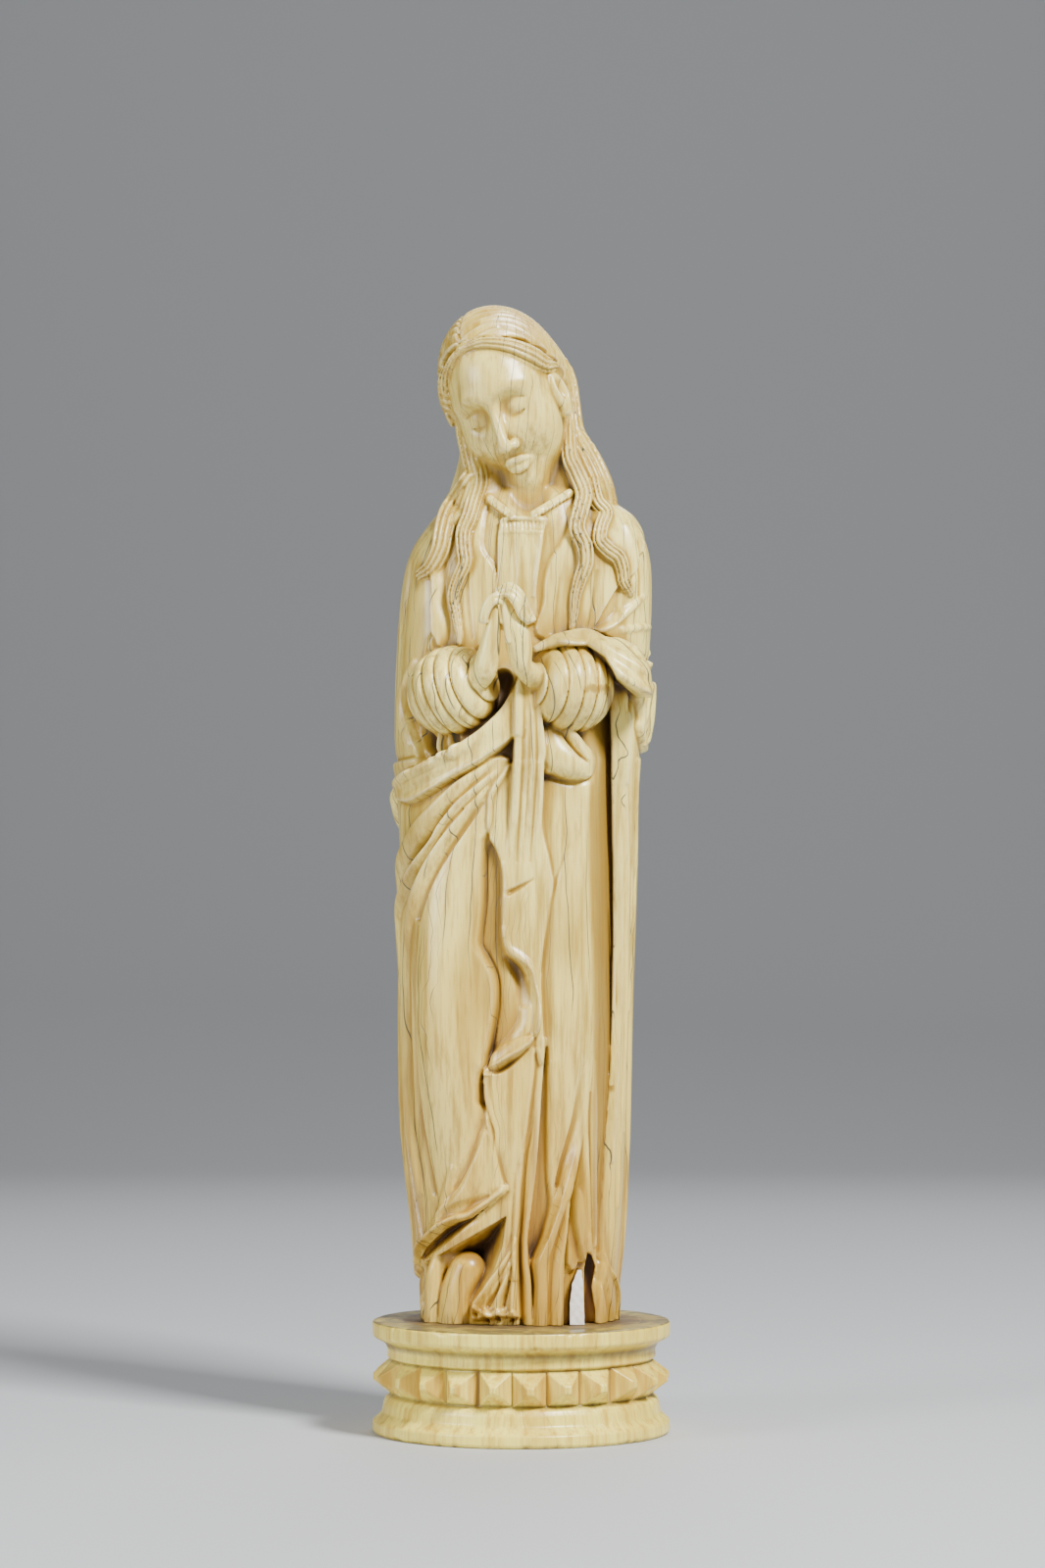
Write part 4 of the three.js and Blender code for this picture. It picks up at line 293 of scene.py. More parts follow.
lay([
    [-8.6, 156], [-10.4, 150], [-10.8, 140], [-11.3, 132], [-11.2, 128.6], [-9.4, 125], [-7.5, 121],
    [-6.9, 115], [-7.5, 109.6], [-8.3, 104.4], [-9, 97], [-7, 97.6], [-3.2, 100.4], [0.8, 103], [3, 107.4],
    [3.7, 113.5], [3, 118], [1.8, 122.4], [-0.8, 125], [-3.2, 127], [-4.8, 131], [-4.8, 140], [-4.8, 148],
    [-6.4, 154],
], -1.2, soft=0.6)
fold([
    [-8.8, 96.8, 2.4, 1.2], [-5.6, 99.6, 3, 2.2], [-1.2, 103.4, 3.4, 2.8], [1.6, 108, 3.2, 2.6],
    [2, 113.5, 2.8, 1.8], [1.4, 118.6, 2.2, 0.6],
], power=0.9, lean=0.55)
fold([[-8.4, 96, 1, -1.6], [-5.6, 96.6, 1.5, -2.4], [-2.4, 98.8, 1.4, -1.8], [1, 101.8, 1, -0.8]], power=1)

# The mantle wrapped over the left leg, with its sharp edge along the falling front
LEG_EDGE = [
    [-8, 160], [-10, 156.4], [-10.5, 151.7], [-10.6, 140.5], [-11.1, 134.9], [-11.5, 129.2], [-9.7, 126],
    [-8, 122.8], [-7, 119.5], [-6.8, 115], [-7.4, 109.6], [-8.3, 104.4], [-9.4, 99], [-10.8, 94],
    [-11.4, 88],
]
fold([[x - 1, z, 2, 0.35] for x, z in LEG_EDGE[1:-2]], power=1, lean=-0.4)
fold([[x + 0.5, z, 0.8, -0.7] for x, z in LEG_EDGE[1:-1]], power=1)

# The front layer, its turned lips and the long fluted end that hangs from the waist
lay([
    [-4.6, 174], [-7.8, 169], [-8.3, 164.6], [-8.3, 157.4], [-6.6, 153.3], [-5.1, 148.5], [-4.9, 143.7],
    [-5.3, 137.3], [-5.1, 130], [-3.4, 126.6], [-0.9, 124.8], [1.8, 122.4], [3, 118], [3.8, 113.5],
    [3.2, 107], [4, 100], [5.2, 98], [5.6, 104], [5.3, 112], [5, 120], [5.6, 127.6], [6.8, 136.5],
    [7.8, 143.7], [7, 151], [5.4, 160], [5.4, 176], [-2, 177],
], 1.3, soft=0.5, shade=0.12)
fold([
    [-4.6, 133, 1.4, 0.5], [-3.6, 128.2, 1.7, 0.8], [-0.6, 125.6, 1.8, 1], [2, 122.6, 1.6, 1],
    [3.4, 117.6, 1.4, 0.8], [4, 112, 1.3, 0.7], [3.6, 107, 1.2, 0.4],
], power=0.9, lean=0.55)
fold([
    [-4, 125.4, 1.2, -0.7], [-1.8, 123, 2.2, -1.6], [0, 119.4, 2.4, -1.5], [0.8, 114, 2, -0.8],
], power=1.2)
fold([
    [-4.6, 150, 1.2, 0.5], [-4.2, 143, 1.4, 0.7], [-4.4, 137, 1.4, 0.7], [-4.2, 132, 1.2, 0.5],
], power=1, lean=0.4)
fold([
    [11.4, 155.4, 0.5, -0.2], [10, 151, 0.6, -0.4], [8.2, 144, 0.7, -0.5], [6.4, 136.5, 0.7, -0.4],
    [5, 122, 0.6, -0.3],
], power=1.2)

# The narrow sunk panel between the pleats, with its sharp sides
lay([
    [6.6, 102], [7, 90], [6.9, 80], [7.1, 69], [7.8, 60.7], [5.8, 52.4], [2.9, 46.6], [1.7, 50], [1.9, 54],
    [2.9, 62], [3.9, 70], [4.6, 80], [5.2, 90], [5.9, 98],
], -1.7, soft=0.5)
fold([
    [5.6, 104, 1.1, 0.5], [5, 94, 1.2, 0.9], [4.2, 83, 1.2, 1.1], [3.2, 72, 1.2, 1.2], [2.1, 62, 1.2, 1.2],
    [1.1, 54, 1.2, 1.3], [0.9, 47, 1.3, 1.4], [1.7, 40, 1.4, 1.3], [2.3, 27, 1.5, 1.2],
], power=0.9, lean=-0.35)
fold([
    [3.4, 100, 0.9, -0.3], [2.8, 90, 1, -0.5], [1.9, 80, 1.1, -0.8], [0.9, 70, 1.1, -1], [0.1, 60, 1.1, -1],
    [-0.4, 50, 1.1, -1], [-0.2, 40, 1.1, -0.8], [0.4, 27, 1.1, -0.8],
], power=1.2)
fold([
    [0.4, 75, 0.9, 0.3], [-0.6, 66, 1.2, 0.8], [-1.2, 57, 1.3, 1], [-1.6, 48, 1.3, 1], [-1.4, 42, 1.2, 0.8],
], power=0.9, lean=0.3)
fold([[7.8, 98, 0.9, 0.3], [8, 84, 1, 0.5], [8.1, 70, 1, 0.5], [8.9, 60, 1, 0.3]], power=1)

# The fan of pleats on the right, above the broken hem
lay([
    [16.2, 94], [14.6, 80], [12.9, 74], [10.3, 67], [8.1, 59.4], [5.8, 52.4], [2.9, 46.6], [3.4, 40],
    [3.6, 27], [10.4, 27], [10.6, 43.4], [11.2, 50], [11.8, 57.5], [12.8, 64], [14.3, 71], [15.4, 78],
    [16.8, 90],
], 1.9, soft=0.5, fade=(58, 88), shade=0.54)
fold([
    [15.8, 90, 0.9, 0.2], [14.6, 78, 1.2, 0.9], [12.4, 69, 1.5, 1.2], [9.6, 60.4, 1.7, 1.3],
    [7, 52.8, 1.9, 1.3], [4.8, 45.6, 1.9, 1.2], [4.8, 36, 1.9, 1], [4.8, 27, 1.9, 1],
], power=0.9, lean=0.2)
fold([
    [11, 62, 0.7, -0.3], [9, 54, 0.9, -0.8], [7.4, 46, 1, -0.9], [6.8, 36, 1, -0.8], [6.6, 27, 1, -0.8],
], power=1.2)
fold([
    [11.8, 61, 0.7, 0.2], [10.2, 52, 0.9, 0.6], [8.9, 44, 1, 0.8], [8.8, 34, 1.1, 0.8], [8.8, 27, 1.1, 0.8],
], power=1)
fold([
    [15.4, 98, 1.2, -0.4], [14.4, 90, 1.6, -1], [13.4, 82, 1.4, -1.2], [11.4, 74, 1.1, -1.2],
    [9.4, 66, 0.9, -0.9],
], power=1.2)
fold([
    [13.2, 66, 0.9, -1], [12.1, 58, 1, -2], [11.4, 50, 1, -2.4], [11, 42, 1, -2.2], [10.9, 27, 1, -2],
], power=1)
lay([
    [12.4, 66], [12, 58], [11.9, 50], [11.9, 44], [13.4, 43], [15, 45], [15.2, 54], [14.6, 64],
], 0.4, soft=0.5)
lay([
    [17.4, 98], [15.4, 80], [14.6, 70], [13.9, 65], [13.3, 59], [13.9, 52.4], [15, 47.6], [15.8, 45.7],
    [17.3, 47.6], [17.6, 58], [17.6, 72], [18, 90],
], 1.7, soft=0.5, fade=(58, 86), shade=0.48)
fold([
    [17, 92, 0.8, 0.2], [16.4, 78, 1.2, 0.8], [15.9, 66, 1.4, 1], [15.8, 56, 1.5, 1], [16.4, 49, 1.2, 0.9],
], power=0.9)
fold([
    [19.2, 98, 0.9, 0.4], [19.2, 84, 1.1, 1], [19, 70, 1.1, 1.1], [19, 58, 1.1, 1], [19.2, 50, 0.9, 0.7],
], power=0.9)
fold([[18, 90, 0.6, -0.4], [17.9, 76, 0.7, -0.8], [17.8, 62, 0.8, -1], [17.8, 52, 0.8, -1]], power=1.1)

# The broken hem: a recess under the mended fold, a dark gap and the mantle's corner beside it
lay([[11.6, 44.4], [13.4, 43.4], [16.8, 45.6], [17, 27], [11.4, 27]], -1.2, soft=0.5)
lay([
    [19.2, 44], [20.2, 45.6], [21.4, 43.4], [22.6, 40.3], [24.4, 34], [24.6, 24], [18, 24], [18.2, 34.6],
], 0.9, soft=0.9)
fold([
    [20.4, 47.6, 0.8, 0.4], [21.6, 43, 0.9, 1], [22.8, 38, 1, 1.2], [24, 33, 1.1, 1.2],
    [24.4, 27, 1.2, 1.2],
], power=0.9)
fold([[19.4, 42, 1.2, -0.6], [20.6, 36, 1.6, -1], [21.4, 27, 1.8, -0.8]], power=1.2)

# The dark hollow under the mantle's lifted hem, with the shoe and the flared, scrolled pleat in it
HEM = [
    [-4.4, 64.5], [-6.3, 62.6], [-10, 59.7], [-12.8, 57.5], [-16.6, 56.2], [-19.8, 54.3], [-22.4, 52],
    [-24.9, 49.2], [-26.5, 46], [-27.9, 43.6],
]
fold([
    [-27.2, 37, 0.8, 0.4], [-27.8, 34.6, 1.2, 1.5], [-27.2, 31.6, 1.2, 1.2], [-26.8, 26, 1.2, 0.8],
], power=0.9)
lay([
    [-1.4, 52], [-3.6, 48], [-6.2, 44.2], [-9.6, 39.8], [-12.6, 35.8], [-12.4, 33.6], [-9, 32], [-7, 27],
    [-1, 27], [-0.8, 40],
], 0.5, soft=0.6, shade=0.36)
fold([[-2, 51, 0.8, 0.4], [-5, 45.4, 1.1, 1], [-8.6, 39.8, 1.4, 1.3], [-11.6, 35.2, 1.6, 1.4]], power=0.9)
fold([[-2, 48, 0.7, 0.4], [-4.2, 42, 1, 1], [-5.8, 37, 1.2, 1.2], [-6.4, 34.6, 1.2, 1]], power=0.9)
fold([[-1.8, 46, 0.6, 0.4], [-2.2, 40, 0.9, 1], [-2.4, 35, 1.1, 1.2], [-2.4, 33.6, 1.1, 1]], power=0.9)
fold([[-3.4, 44, 0.6, -0.5], [-6.6, 38, 0.9, -1.2], [-8.8, 34.6, 1, -1.4]], power=1.1)
fold([[-3, 41, 0.6, -0.5], [-4.2, 37, 0.8, -1.1], [-4.6, 34.6, 0.8, -1.1]], power=1.1)
for x, z, r in [[-12.4, 34.4, 1.5], [-9.6, 33, 1.4], [-6.4, 33.6, 1.3], [-2.6, 33, 1.5]]:
    fold([[x - 0.8, z - 1.6, r, 0.6], [x + 0.6, z - 0.8, r, 1.5], [x + 1.4, z - 2.4, r, 0.6]], power=0.8)
    fold([[x - 0.4, z - 2.4, 0.5, -0.8], [x + 0.5, z - 2, 0.6, -1.6], [x + 0.6, z - 3, 0.5, -0.8]], power=1)
lay([[-14, 30.4], [-1, 31.6], [0, 27], [-15, 27]], -1.4, soft=0.6)

# The mantle over the left leg ends in a rising hem with a thick lip
lay([
    *HEM[::-1], [-5.4, 69], [-6.8, 75], [-7.6, 80.5], [-9.4, 86], *LEG_EDGE[::-1], [-7.4, 168], [-3, 178],
    [-16, 177], [-30, 178], [-38, 170], [-38, 110], [-36, 44],
], 1.2, soft=0.6, shade=0.36)
fold([[x + 0.2, z + 0.8, 1.1, 1.1] for x, z in HEM], power=0.8)
fold([
    [-26.8, 44.4, 1.6, 0.8], [-24, 50.4, 2.4, 1.6], [-18.4, 58, 2.8, 1.8], [-13.4, 64.6, 2.6, 1.6],
    [-10.6, 72, 2.2, 1.2], [-9.2, 79, 1.8, 0.6],
], power=1)
fold([
    [-16.4, 66, 1.4, -0.6], [-12.4, 74, 1.6, -0.9], [-10.2, 82, 1.6, -1.1], [-10, 92, 1.4, -1],
], power=1.2)
fold([[-21, 56, 1.4, 0.6], [-18.6, 63, 1.8, 1], [-16.6, 70, 1.6, 0.6]], power=1.2)
fold([
    [-8.6, 63, 1.2, -0.5], [-13, 61, 1.5, -1.1], [-19, 57.8, 1.6, -1.1], [-23.8, 52.4, 1.3, -0.6],
], power=1.2)

# Folds drawn slantwise from the waist, over the hip and down the left side
fold([
    [-4.4, 179.8, 0.7, 0.4], [-9.7, 175.2, 1.2, 1.2], [-14.5, 171.2, 1.9, 2], [-19.3, 165.5, 2.7, 2.5],
    [-25, 159.1, 3.2, 2.4], [-29, 153.5, 3.2, 1.9], [-31.6, 148.6, 2.8, 1.4], [-33, 144, 2.2, 1],
], power=1, lean=0.35)
fold([
    [-15.6, 167, 0.8, -0.4], [-19.7, 161.5, 1.3, -1.8], [-22.5, 156.7, 1.7, -2.4],
    [-26.6, 151.2, 1.9, -2.2], [-29.6, 146, 1.5, -1.2],
], power=1.1)
fold([
    [-6.4, 174.4, 0.6, 0.4], [-9.4, 171.6, 0.9, 1.2], [-12.3, 168.6, 1.2, 2], [-16.1, 164.3, 1.5, 2.6],
    [-20.9, 157.3, 1.8, 2.8], [-25.8, 150, 2, 2.8], [-29, 143.6, 2, 2.4], [-31, 137.6, 1.9, 1.8],
    [-32.2, 130, 1.8, 1.2], [-32.6, 120, 1.6, 0.6],
], power=0.9, lean=0.2)
fold([
    [-8.6, 170.2, 0.6, 0.3], [-11.2, 166.8, 0.9, 1.1], [-15.3, 161.4, 1.3, 1.9], [-19.3, 154.6, 1.5, 2.3],
    [-22.9, 147.4, 1.7, 2.3], [-25.8, 140, 1.8, 2.2], [-27.6, 132.5, 1.8, 2], [-28.5, 124, 1.8, 1.8],
    [-28.7, 112, 1.8, 1.6], [-28.8, 96, 1.8, 1.7], [-27.8, 80, 1.8, 1.6], [-25.4, 64, 1.6, 1],
], power=0.9, lean=0.2)
fold([
    [-14, 164.6, 0.5, -0.5], [-17.6, 159.8, 0.8, -1.2], [-21.6, 153, 1, -1.8], [-24.6, 147, 1.2, -2.2],
    [-27, 141.6, 1.3, -2.6], [-28.9, 135.6, 1.4, -3], [-30, 128, 1.6, -3.2], [-30.5, 118, 1.8, -3.2],
    [-30.7, 106, 2, -3.2], [-30.6, 92, 1.9, -3], [-29.4, 76, 1.9, -2.8], [-27.2, 62, 1.7, -2],
    [-25.4, 52, 1.2, -1],
], power=0.9)
fold([
    [-9.8, 166, 0.7, -0.4], [-14, 160.2, 1, -1.2], [-18.6, 152.4, 1.2, -1.6], [-22, 144.6, 1.3, -1.5],
    [-24.4, 136, 1.3, -1],
], power=1)
fold([
    [-24.6, 134, 1, -0.5], [-25.8, 118, 1.3, -1], [-26, 100, 1.3, -1.1], [-24.8, 82, 1.3, -1],
    [-21.8, 64, 1.3, -0.6],
], power=1.2)


def waist_lift(u, z):
    """The rolled edge stands out most at the front and dies away round the side"""
    return np.interp(u, [-50, -44, -32, 0], [0.2, 1, 3.2, 3.8])


# The mantle's rolled edge across the waist: a top plane, a ridge and a front face
WAIST_TOP = [
    [-30.4, 173.2], [-25, 176.7], [-20, 179.3], [-15, 182], [-12, 184], [-8.9, 186.7], [-4.8, 191.5],
    [-2.4, 196], [-0.6, 199],
]
WAIST_BOTTOM = [
    [-1.6, 183.6], [-4.8, 180.7], [-11.3, 176], [-17.7, 172.3], [-22.6, 169], [-26.6, 166.9],
    [-29.4, 166.9], [-31.4, 168.2], [-32.6, 170.8],
]
lay([*WAIST_TOP, [0.2, 198], [0.2, 185], *WAIST_BOTTOM], waist_lift, soft=0.6, shade=0.6, keep=0.1)
fold([
    [-32.6, 171.6, 1.2, 0.4], [-30, 172.4, 1.3, 0.7], [-25, 175, 1.4, 0.9], [-20, 177.4, 1.5, 1],
    [-15, 180.2, 1.6, 1], [-11, 183.4, 1.8, 0.8], [-7, 187, 2, 0.4],
], power=0.9)
fold([
    [-28, 168.8, 1.4, -0.5], [-20, 173, 1.6, -0.6], [-12, 178.2, 1.8, -0.5], [-6, 183, 1.8, -0.4],
], power=1.1)

# The pouch tucked in beside it, in two layers
lay([
    [5.2, 190.6], [5.2, 175.8], [8, 173.8], [12.9, 172.5], [17.4, 173.4], [19, 176], [18.6, 178.6],
    [15.4, 182.2], [12.9, 185], [10, 187.6], [6.4, 190.6],
], 2.2, soft=0.6, shade=0.84, keep=0.3)
fold([
    [5.8, 184, 3, 0.8], [8, 179.6, 4, 2], [11.6, 176.6, 3.8, 2.2], [15.6, 175.4, 2.6, 1.6],
    [17.8, 175.6, 1.6, 0.6],
], power=0.8)
fold([
    [9.8, 187.2, 1.2, 0.8], [12, 184, 1.6, 1.8], [14.6, 181, 1.9, 2.2], [17, 178.4, 1.7, 2],
    [18, 176.8, 1.2, 1],
], power=0.8)
fold([
    [9.6, 186.6, 0.6, -0.6], [11.2, 182.4, 0.7, -1.2], [14, 178.4, 0.7, -1.2], [16.8, 176.2, 0.5, -0.6],
], power=1)


def fluted_lift(u, z):
    """The fluted end stands out more the higher it hangs"""
    return np.interp(z, [146, 158, 172, 186, 200], [2.2, 2.6, 3.6, 5.2, 5.6])


# The fluted end that hangs over both from the waist, with the nick below it
lay([
    [-0.9, 200], [-1.8, 184], [-2.3, 172], [-3, 160], [-3.9, 150.4], [-3.8, 145], [-2.9, 143.2],
    [-0.6, 144.8], [2.6, 146.6], [4.2, 148.6], [4.6, 156], [5, 168], [5.2, 180], [4.6, 190], [3.4, 200],
], fluted_lift, keep=0.15, soft=0.5, fade=(168, 147), shade=0.35)
for place, width, depth in [[0.3, 0.7, 0.8], [0.5, 0.6, 0.5], [0.74, 0.8, 0.8]]:
    fold([
        [lerp(-0.9, 3.4, place), 198, width, -depth / 2], [lerp(-1.9, 5.1, place), 180, width, -depth],
        [lerp(-2.7, 4.7, place), 164, width, -depth], [lerp(-3.6, 4.2, place), 151, width, -depth / 3],
    ], power=1.2)
fold([
    [-3.3, 142.6, 1, -1.3], [-1.6, 143.4, 0.9, -1.2], [0.9, 144.9, 0.7, -0.7], [2.9, 146.3, 0.5, -0.3],
], power=1)

# The mantle's straight fall beyond the channel on the right
fold([
    [23.4, 168, 1, 0.5], [23.6, 150, 1.1, 0.8], [24.2, 130, 1, 0.8], [24.4, 110, 1, 0.8],
    [23.6, 90, 1, 0.7], [22.4, 72, 1, 0.6],
], power=1)
lay([
    [24.4, 200], [24.6, 186], [24.8, 172], [24.9, 150], [25.2, 120], [24.2, 100], [22.8, 80], [21.2, 62],
    [20.4, 46], [18.8, 26], [33, 26], [35, 90], [38, 130], [40, 200],
], 1.6, soft=0.6, shade=0.36)
fold([
    [25.8, 190, 1.1, 0.9], [26.2, 160, 1.1, 0.9], [26.4, 130, 1, 0.7], [26, 104, 1, 0.6],
    [24.8, 80, 1, 0.6], [24, 60, 1, 0.5],
], power=0.9)
fold([
    [27.6, 186, 0.7, -0.7], [27.6, 160, 0.8, -0.9], [27.6, 130, 0.8, -0.7], [27, 104, 0.8, -0.6],
    [25.8, 80, 0.8, -0.5],
], power=1.1)
fold([[29.2, 178, 1.2, 0.9], [29.2, 150, 1.2, 0.9], [29, 125, 1, 0.7], [28.4, 112, 0.9, 0.4]], power=0.9)

# The mantle's end thrown over the arm falls to a second corner below it
lay([
    [24, 199.5], [25.4, 198], [28.6, 194.6], [29.6, 190], [29.2, 187], [29.8, 184], [31.2, 181.6],
    [33.6, 180.8], [38, 182], [40, 197.5],
], 1.6, soft=0.5, shade=0.48)
fold([[32, 198, 1.6, 0.9], [32.4, 190, 1.6, 1.2], [32.6, 184, 1.4, 0.9]], power=0.9)
fold([[28, 197, 0.9, -0.8], [27.4, 190, 1.1, -1.6], [27, 182, 1.1, -1.4], [26.8, 170, 0.9, -0.6]], power=1)
fold([[31, 196, 0.8, -0.6], [30.6, 190, 0.9, -1.2], [30.4, 183, 0.9, -1]], power=1)
fold([[25.8, 200, 1, 0.6], [25.6, 192, 1.3, 1.2], [25.6, 182, 1.3, 1.2], [25.6, 172, 1, 0.6]], power=0.9)

# Mantle edges over the arms, with hollows where they leave the sleeves
lay([
    [-10.6, 252], [-12, 246], [-17, 240], [-20.6, 232], [-20.4, 225.3], [-20, 219.2], [-19, 213],
    [-20.4, 207.6], [-24.6, 203], [-28.6, 199], [-29.8, 194], [-29.4, 189.5], [-27.8, 184.6], [-26.4, 180],
    [-27, 174], [-31, 168], [-40, 164], [-40, 252],
], 1.8, soft=0.6, fade=(186, 166), shade=0.54)
fold([
    [-27, 204, 1.4, 0.5], [-30.4, 196, 1.6, 0.8], [-30.6, 189, 1.6, 0.8], [-28.6, 182, 1.4, 0.6],
], power=1)
fold([[-26.4, 187, 1.4, -1], [-24.2, 182.4, 2.4, -6.5], [-23, 179.6, 1.6, -4]], power=0.9)
for x in (-20.4, -17.6, -14.6):
    fold([[x, 188, 0.8, 1], [x - 0.6, 182.6, 1.1, 1.4], [x - 1, 178.6, 1, 1]], power=0.9)
fold([[-12, 192, 3.4, -3], [-8, 194, 3.6, -5], [-5, 199, 3, -5]], power=1)
fold([[-27.6, 231, 1.2, -0.6], [-29, 222, 1.4, -0.9], [-30.4, 212, 1.2, -0.5]], power=1.2)
fold([[-21.4, 221, 1, 0.5], [-21, 214, 1.2, 0.8], [-22.6, 207.6, 1, 0.5]], power=1)

# The mantle over the right shoulder, drawn into folds towards the elbow
lay([
    [12, 252], [18.6, 244], [22, 236], [25.6, 228], [25.8, 220], [24, 214.6], [20, 211.6], [36, 206],
    [40, 230], [36, 252],
], 1.2, soft=0.6, shade=0.42)
fold([[31.6, 222, 0.9, 0.4], [28, 218.6, 1.3, 1], [23.6, 214.6, 1.3, 1], [20.4, 212, 0.9, 0.5]], power=0.9)
fold([[33.4, 214, 0.9, 0.4], [30, 213.4, 1.2, 0.8], [25.6, 212.4, 1.2, 0.6]], power=0.9)
fold([[29.6, 236, 1.4, -0.7], [30.8, 228, 1.5, -0.9], [30.4, 221, 1.2, -0.5]], power=1.2)
fold([[26, 240, 1.6, 0.7], [27.6, 232, 1.8, 0.9], [28.6, 226, 1.4, 0.4]], power=1.1)

# The bodice: overlapping fronts on both sides and the flat panel with its beaded band
lay([
    [-7.4, 248.6], [-8.5, 246.3], [-10, 240], [-10.1, 233.7], [-7.2, 229.1], [-6.5, 224.6], [-6.6, 212],
    [-20, 206], [-20, 240], [-12, 252],
], 0.9, soft=0.4, shade=0.3)
lay([
    [14, 246], [12.8, 239.8], [10.5, 235.3], [7.6, 230.7], [6.1, 225.3], [5.7, 219.2], [4, 211], [16, 208],
    [24, 222], [22, 250],
], 0.9, soft=0.4, shade=0.3)
lay([
    [-5.1, 241.6], [-2.6, 242.4], [5.8, 242.4], [5.8, 238], [5, 231.4], [3.9, 223.8], [3.3, 214], [-6, 214],
    [-6.4, 224.5], [-6, 232.2],
], 1.1, soft=0.35, shade=0.24)
fold([[4.9, 237, 0.6, 0.4], [4.1, 229, 0.7, 0.5], [3.2, 221, 0.6, 0.4]], power=0.9)
fold([
    [-5, 241.2, 0.7, 0.4], [-2.6, 241.9, 0.8, 0.8], [1, 241.9, 0.9, 0.9], [5.4, 241.6, 0.9, 0.8],
], power=0.8)
fold([[-5.1, 238.2, 0.5, 0.3], [0.4, 238.2, 0.5, 0.4], [5.5, 238, 0.5, 0.3]], power=0.8)
for i in range(11):
    fold([[-4.6 + i * 0.98, 240.6, 0.42, 0.45], [-4.6 + i * 0.98, 239, 0.42, 0.45]], power=0.8)
fold([[-2, 236, 0.8, -0.3], [-1.6, 228, 0.9, -0.4], [-2, 222, 0.8, -0.3]], power=1.3)
fold([[9.8, 226, 0.5, -0.3], [9, 218, 0.7, -0.5], [8, 211, 0.6, -0.4]], power=1.2)
fold([[-13.6, 230, 0.6, -0.3], [-13.8, 220, 0.7, -0.5], [-12.6, 210, 0.6, -0.4]], power=1.2)
fold([[19.4, 228, 0.7, -0.4], [18.6, 220, 0.8, -0.6], [17, 213, 0.7, -0.5]], power=1.2)

# Soft folds on the hidden sides and back, in keeping with the front and plainer
for u, bottom, top, width, lift in [
    [46, 26, 200, 3, 1.6], [54, 26, 176, 3.4, 2], [63, 26, 206, 3.2, 1.8], [72, 26, 182, 3.6, 2.2],
    [81, 26, 196, 3, 1.6], [-46, 26, 150, 3, 1.6], [-55, 26, 184, 3.4, 2], [-64, 26, 200, 3, 1.6],
    [-74, 26, 178, 3.6, 2.2], [-82, 26, 190, 2.6, 1.4],
]:
    sway = 2.4 * math.sin(u * 1.7)
    fold([
        [u * 1.01, bottom, width * 1.2, lift], [u + sway, lerp(bottom, top, 0.45), width, lift],
        [u * 0.97, top, width * 0.6, 0.2],
    ], front=False, power=1.1)
fold([
    [-46, 168, 4, 2.4], [-56, 160, 4.4, 2.6], [-70, 156, 4, 2], [-84, 156, 3, 0.6],
], front=False, power=0.8)
fold([[46, 206, 3, 1.6], [60, 200, 3.4, 1.6], [74, 198, 3, 0.6]], front=False, power=0.9)


def relief_at(u, z):
    """The relief at any girth position and height, blended between its cells"""
    column = (u + HALF_GIRTH) / GIRTH_STEP
    row = np.clip((z - SKIRT_BOTTOM) / RELIEF_STEP, 0, ROWS - 1.001)
    c = np.floor(column).astype(np.int32)
    r = row.astype(np.int32)
    s = column - c
    t = row - r
    left = c % COLUMNS
    right = (c + 1) % COLUMNS
    lower = relief[r, left] * (1 - s) + relief[r, right] * s
    upper = relief[r + 1, left] * (1 - s) + relief[r + 1, right] * s
    return lower * (1 - t) + upper * t


def robe(x, y, z):
    """The distance to the robe with its relief, negative inside"""
    cx, cy, half_width, half_depth = (v.astype(np.float32) for v in section(np.minimum(z, SKIRT_TOP)))
    dx = x - cx
    dy = y - cy
    across = dx / half_width
    forward = -dy / half_depth
    size = (np.abs(across) ** OUTLINE_POWER + np.abs(forward) ** OUTLINE_POWER) ** (1 / OUTLINE_POWER)
    flat = np.hypot(dx, dy) * (1 - 1 / np.maximum(size, 1e-4))
    near = np.abs(flat) < RELIEF_REACH
    across, forward, heights = (np.broadcast_to(v, flat.shape)[near] for v in (across, forward, z))
    u = girth_of_angle(np.arctan2(across, forward))
    flat[near] -= relief_at(u, heights) * np.clip((RELIEF_TOP - heights) / RELIEF_FADE, 0, 1)
    return np.maximum(np.maximum(flat, z - SKIRT_TOP), SKIRT_BOTTOM - z)


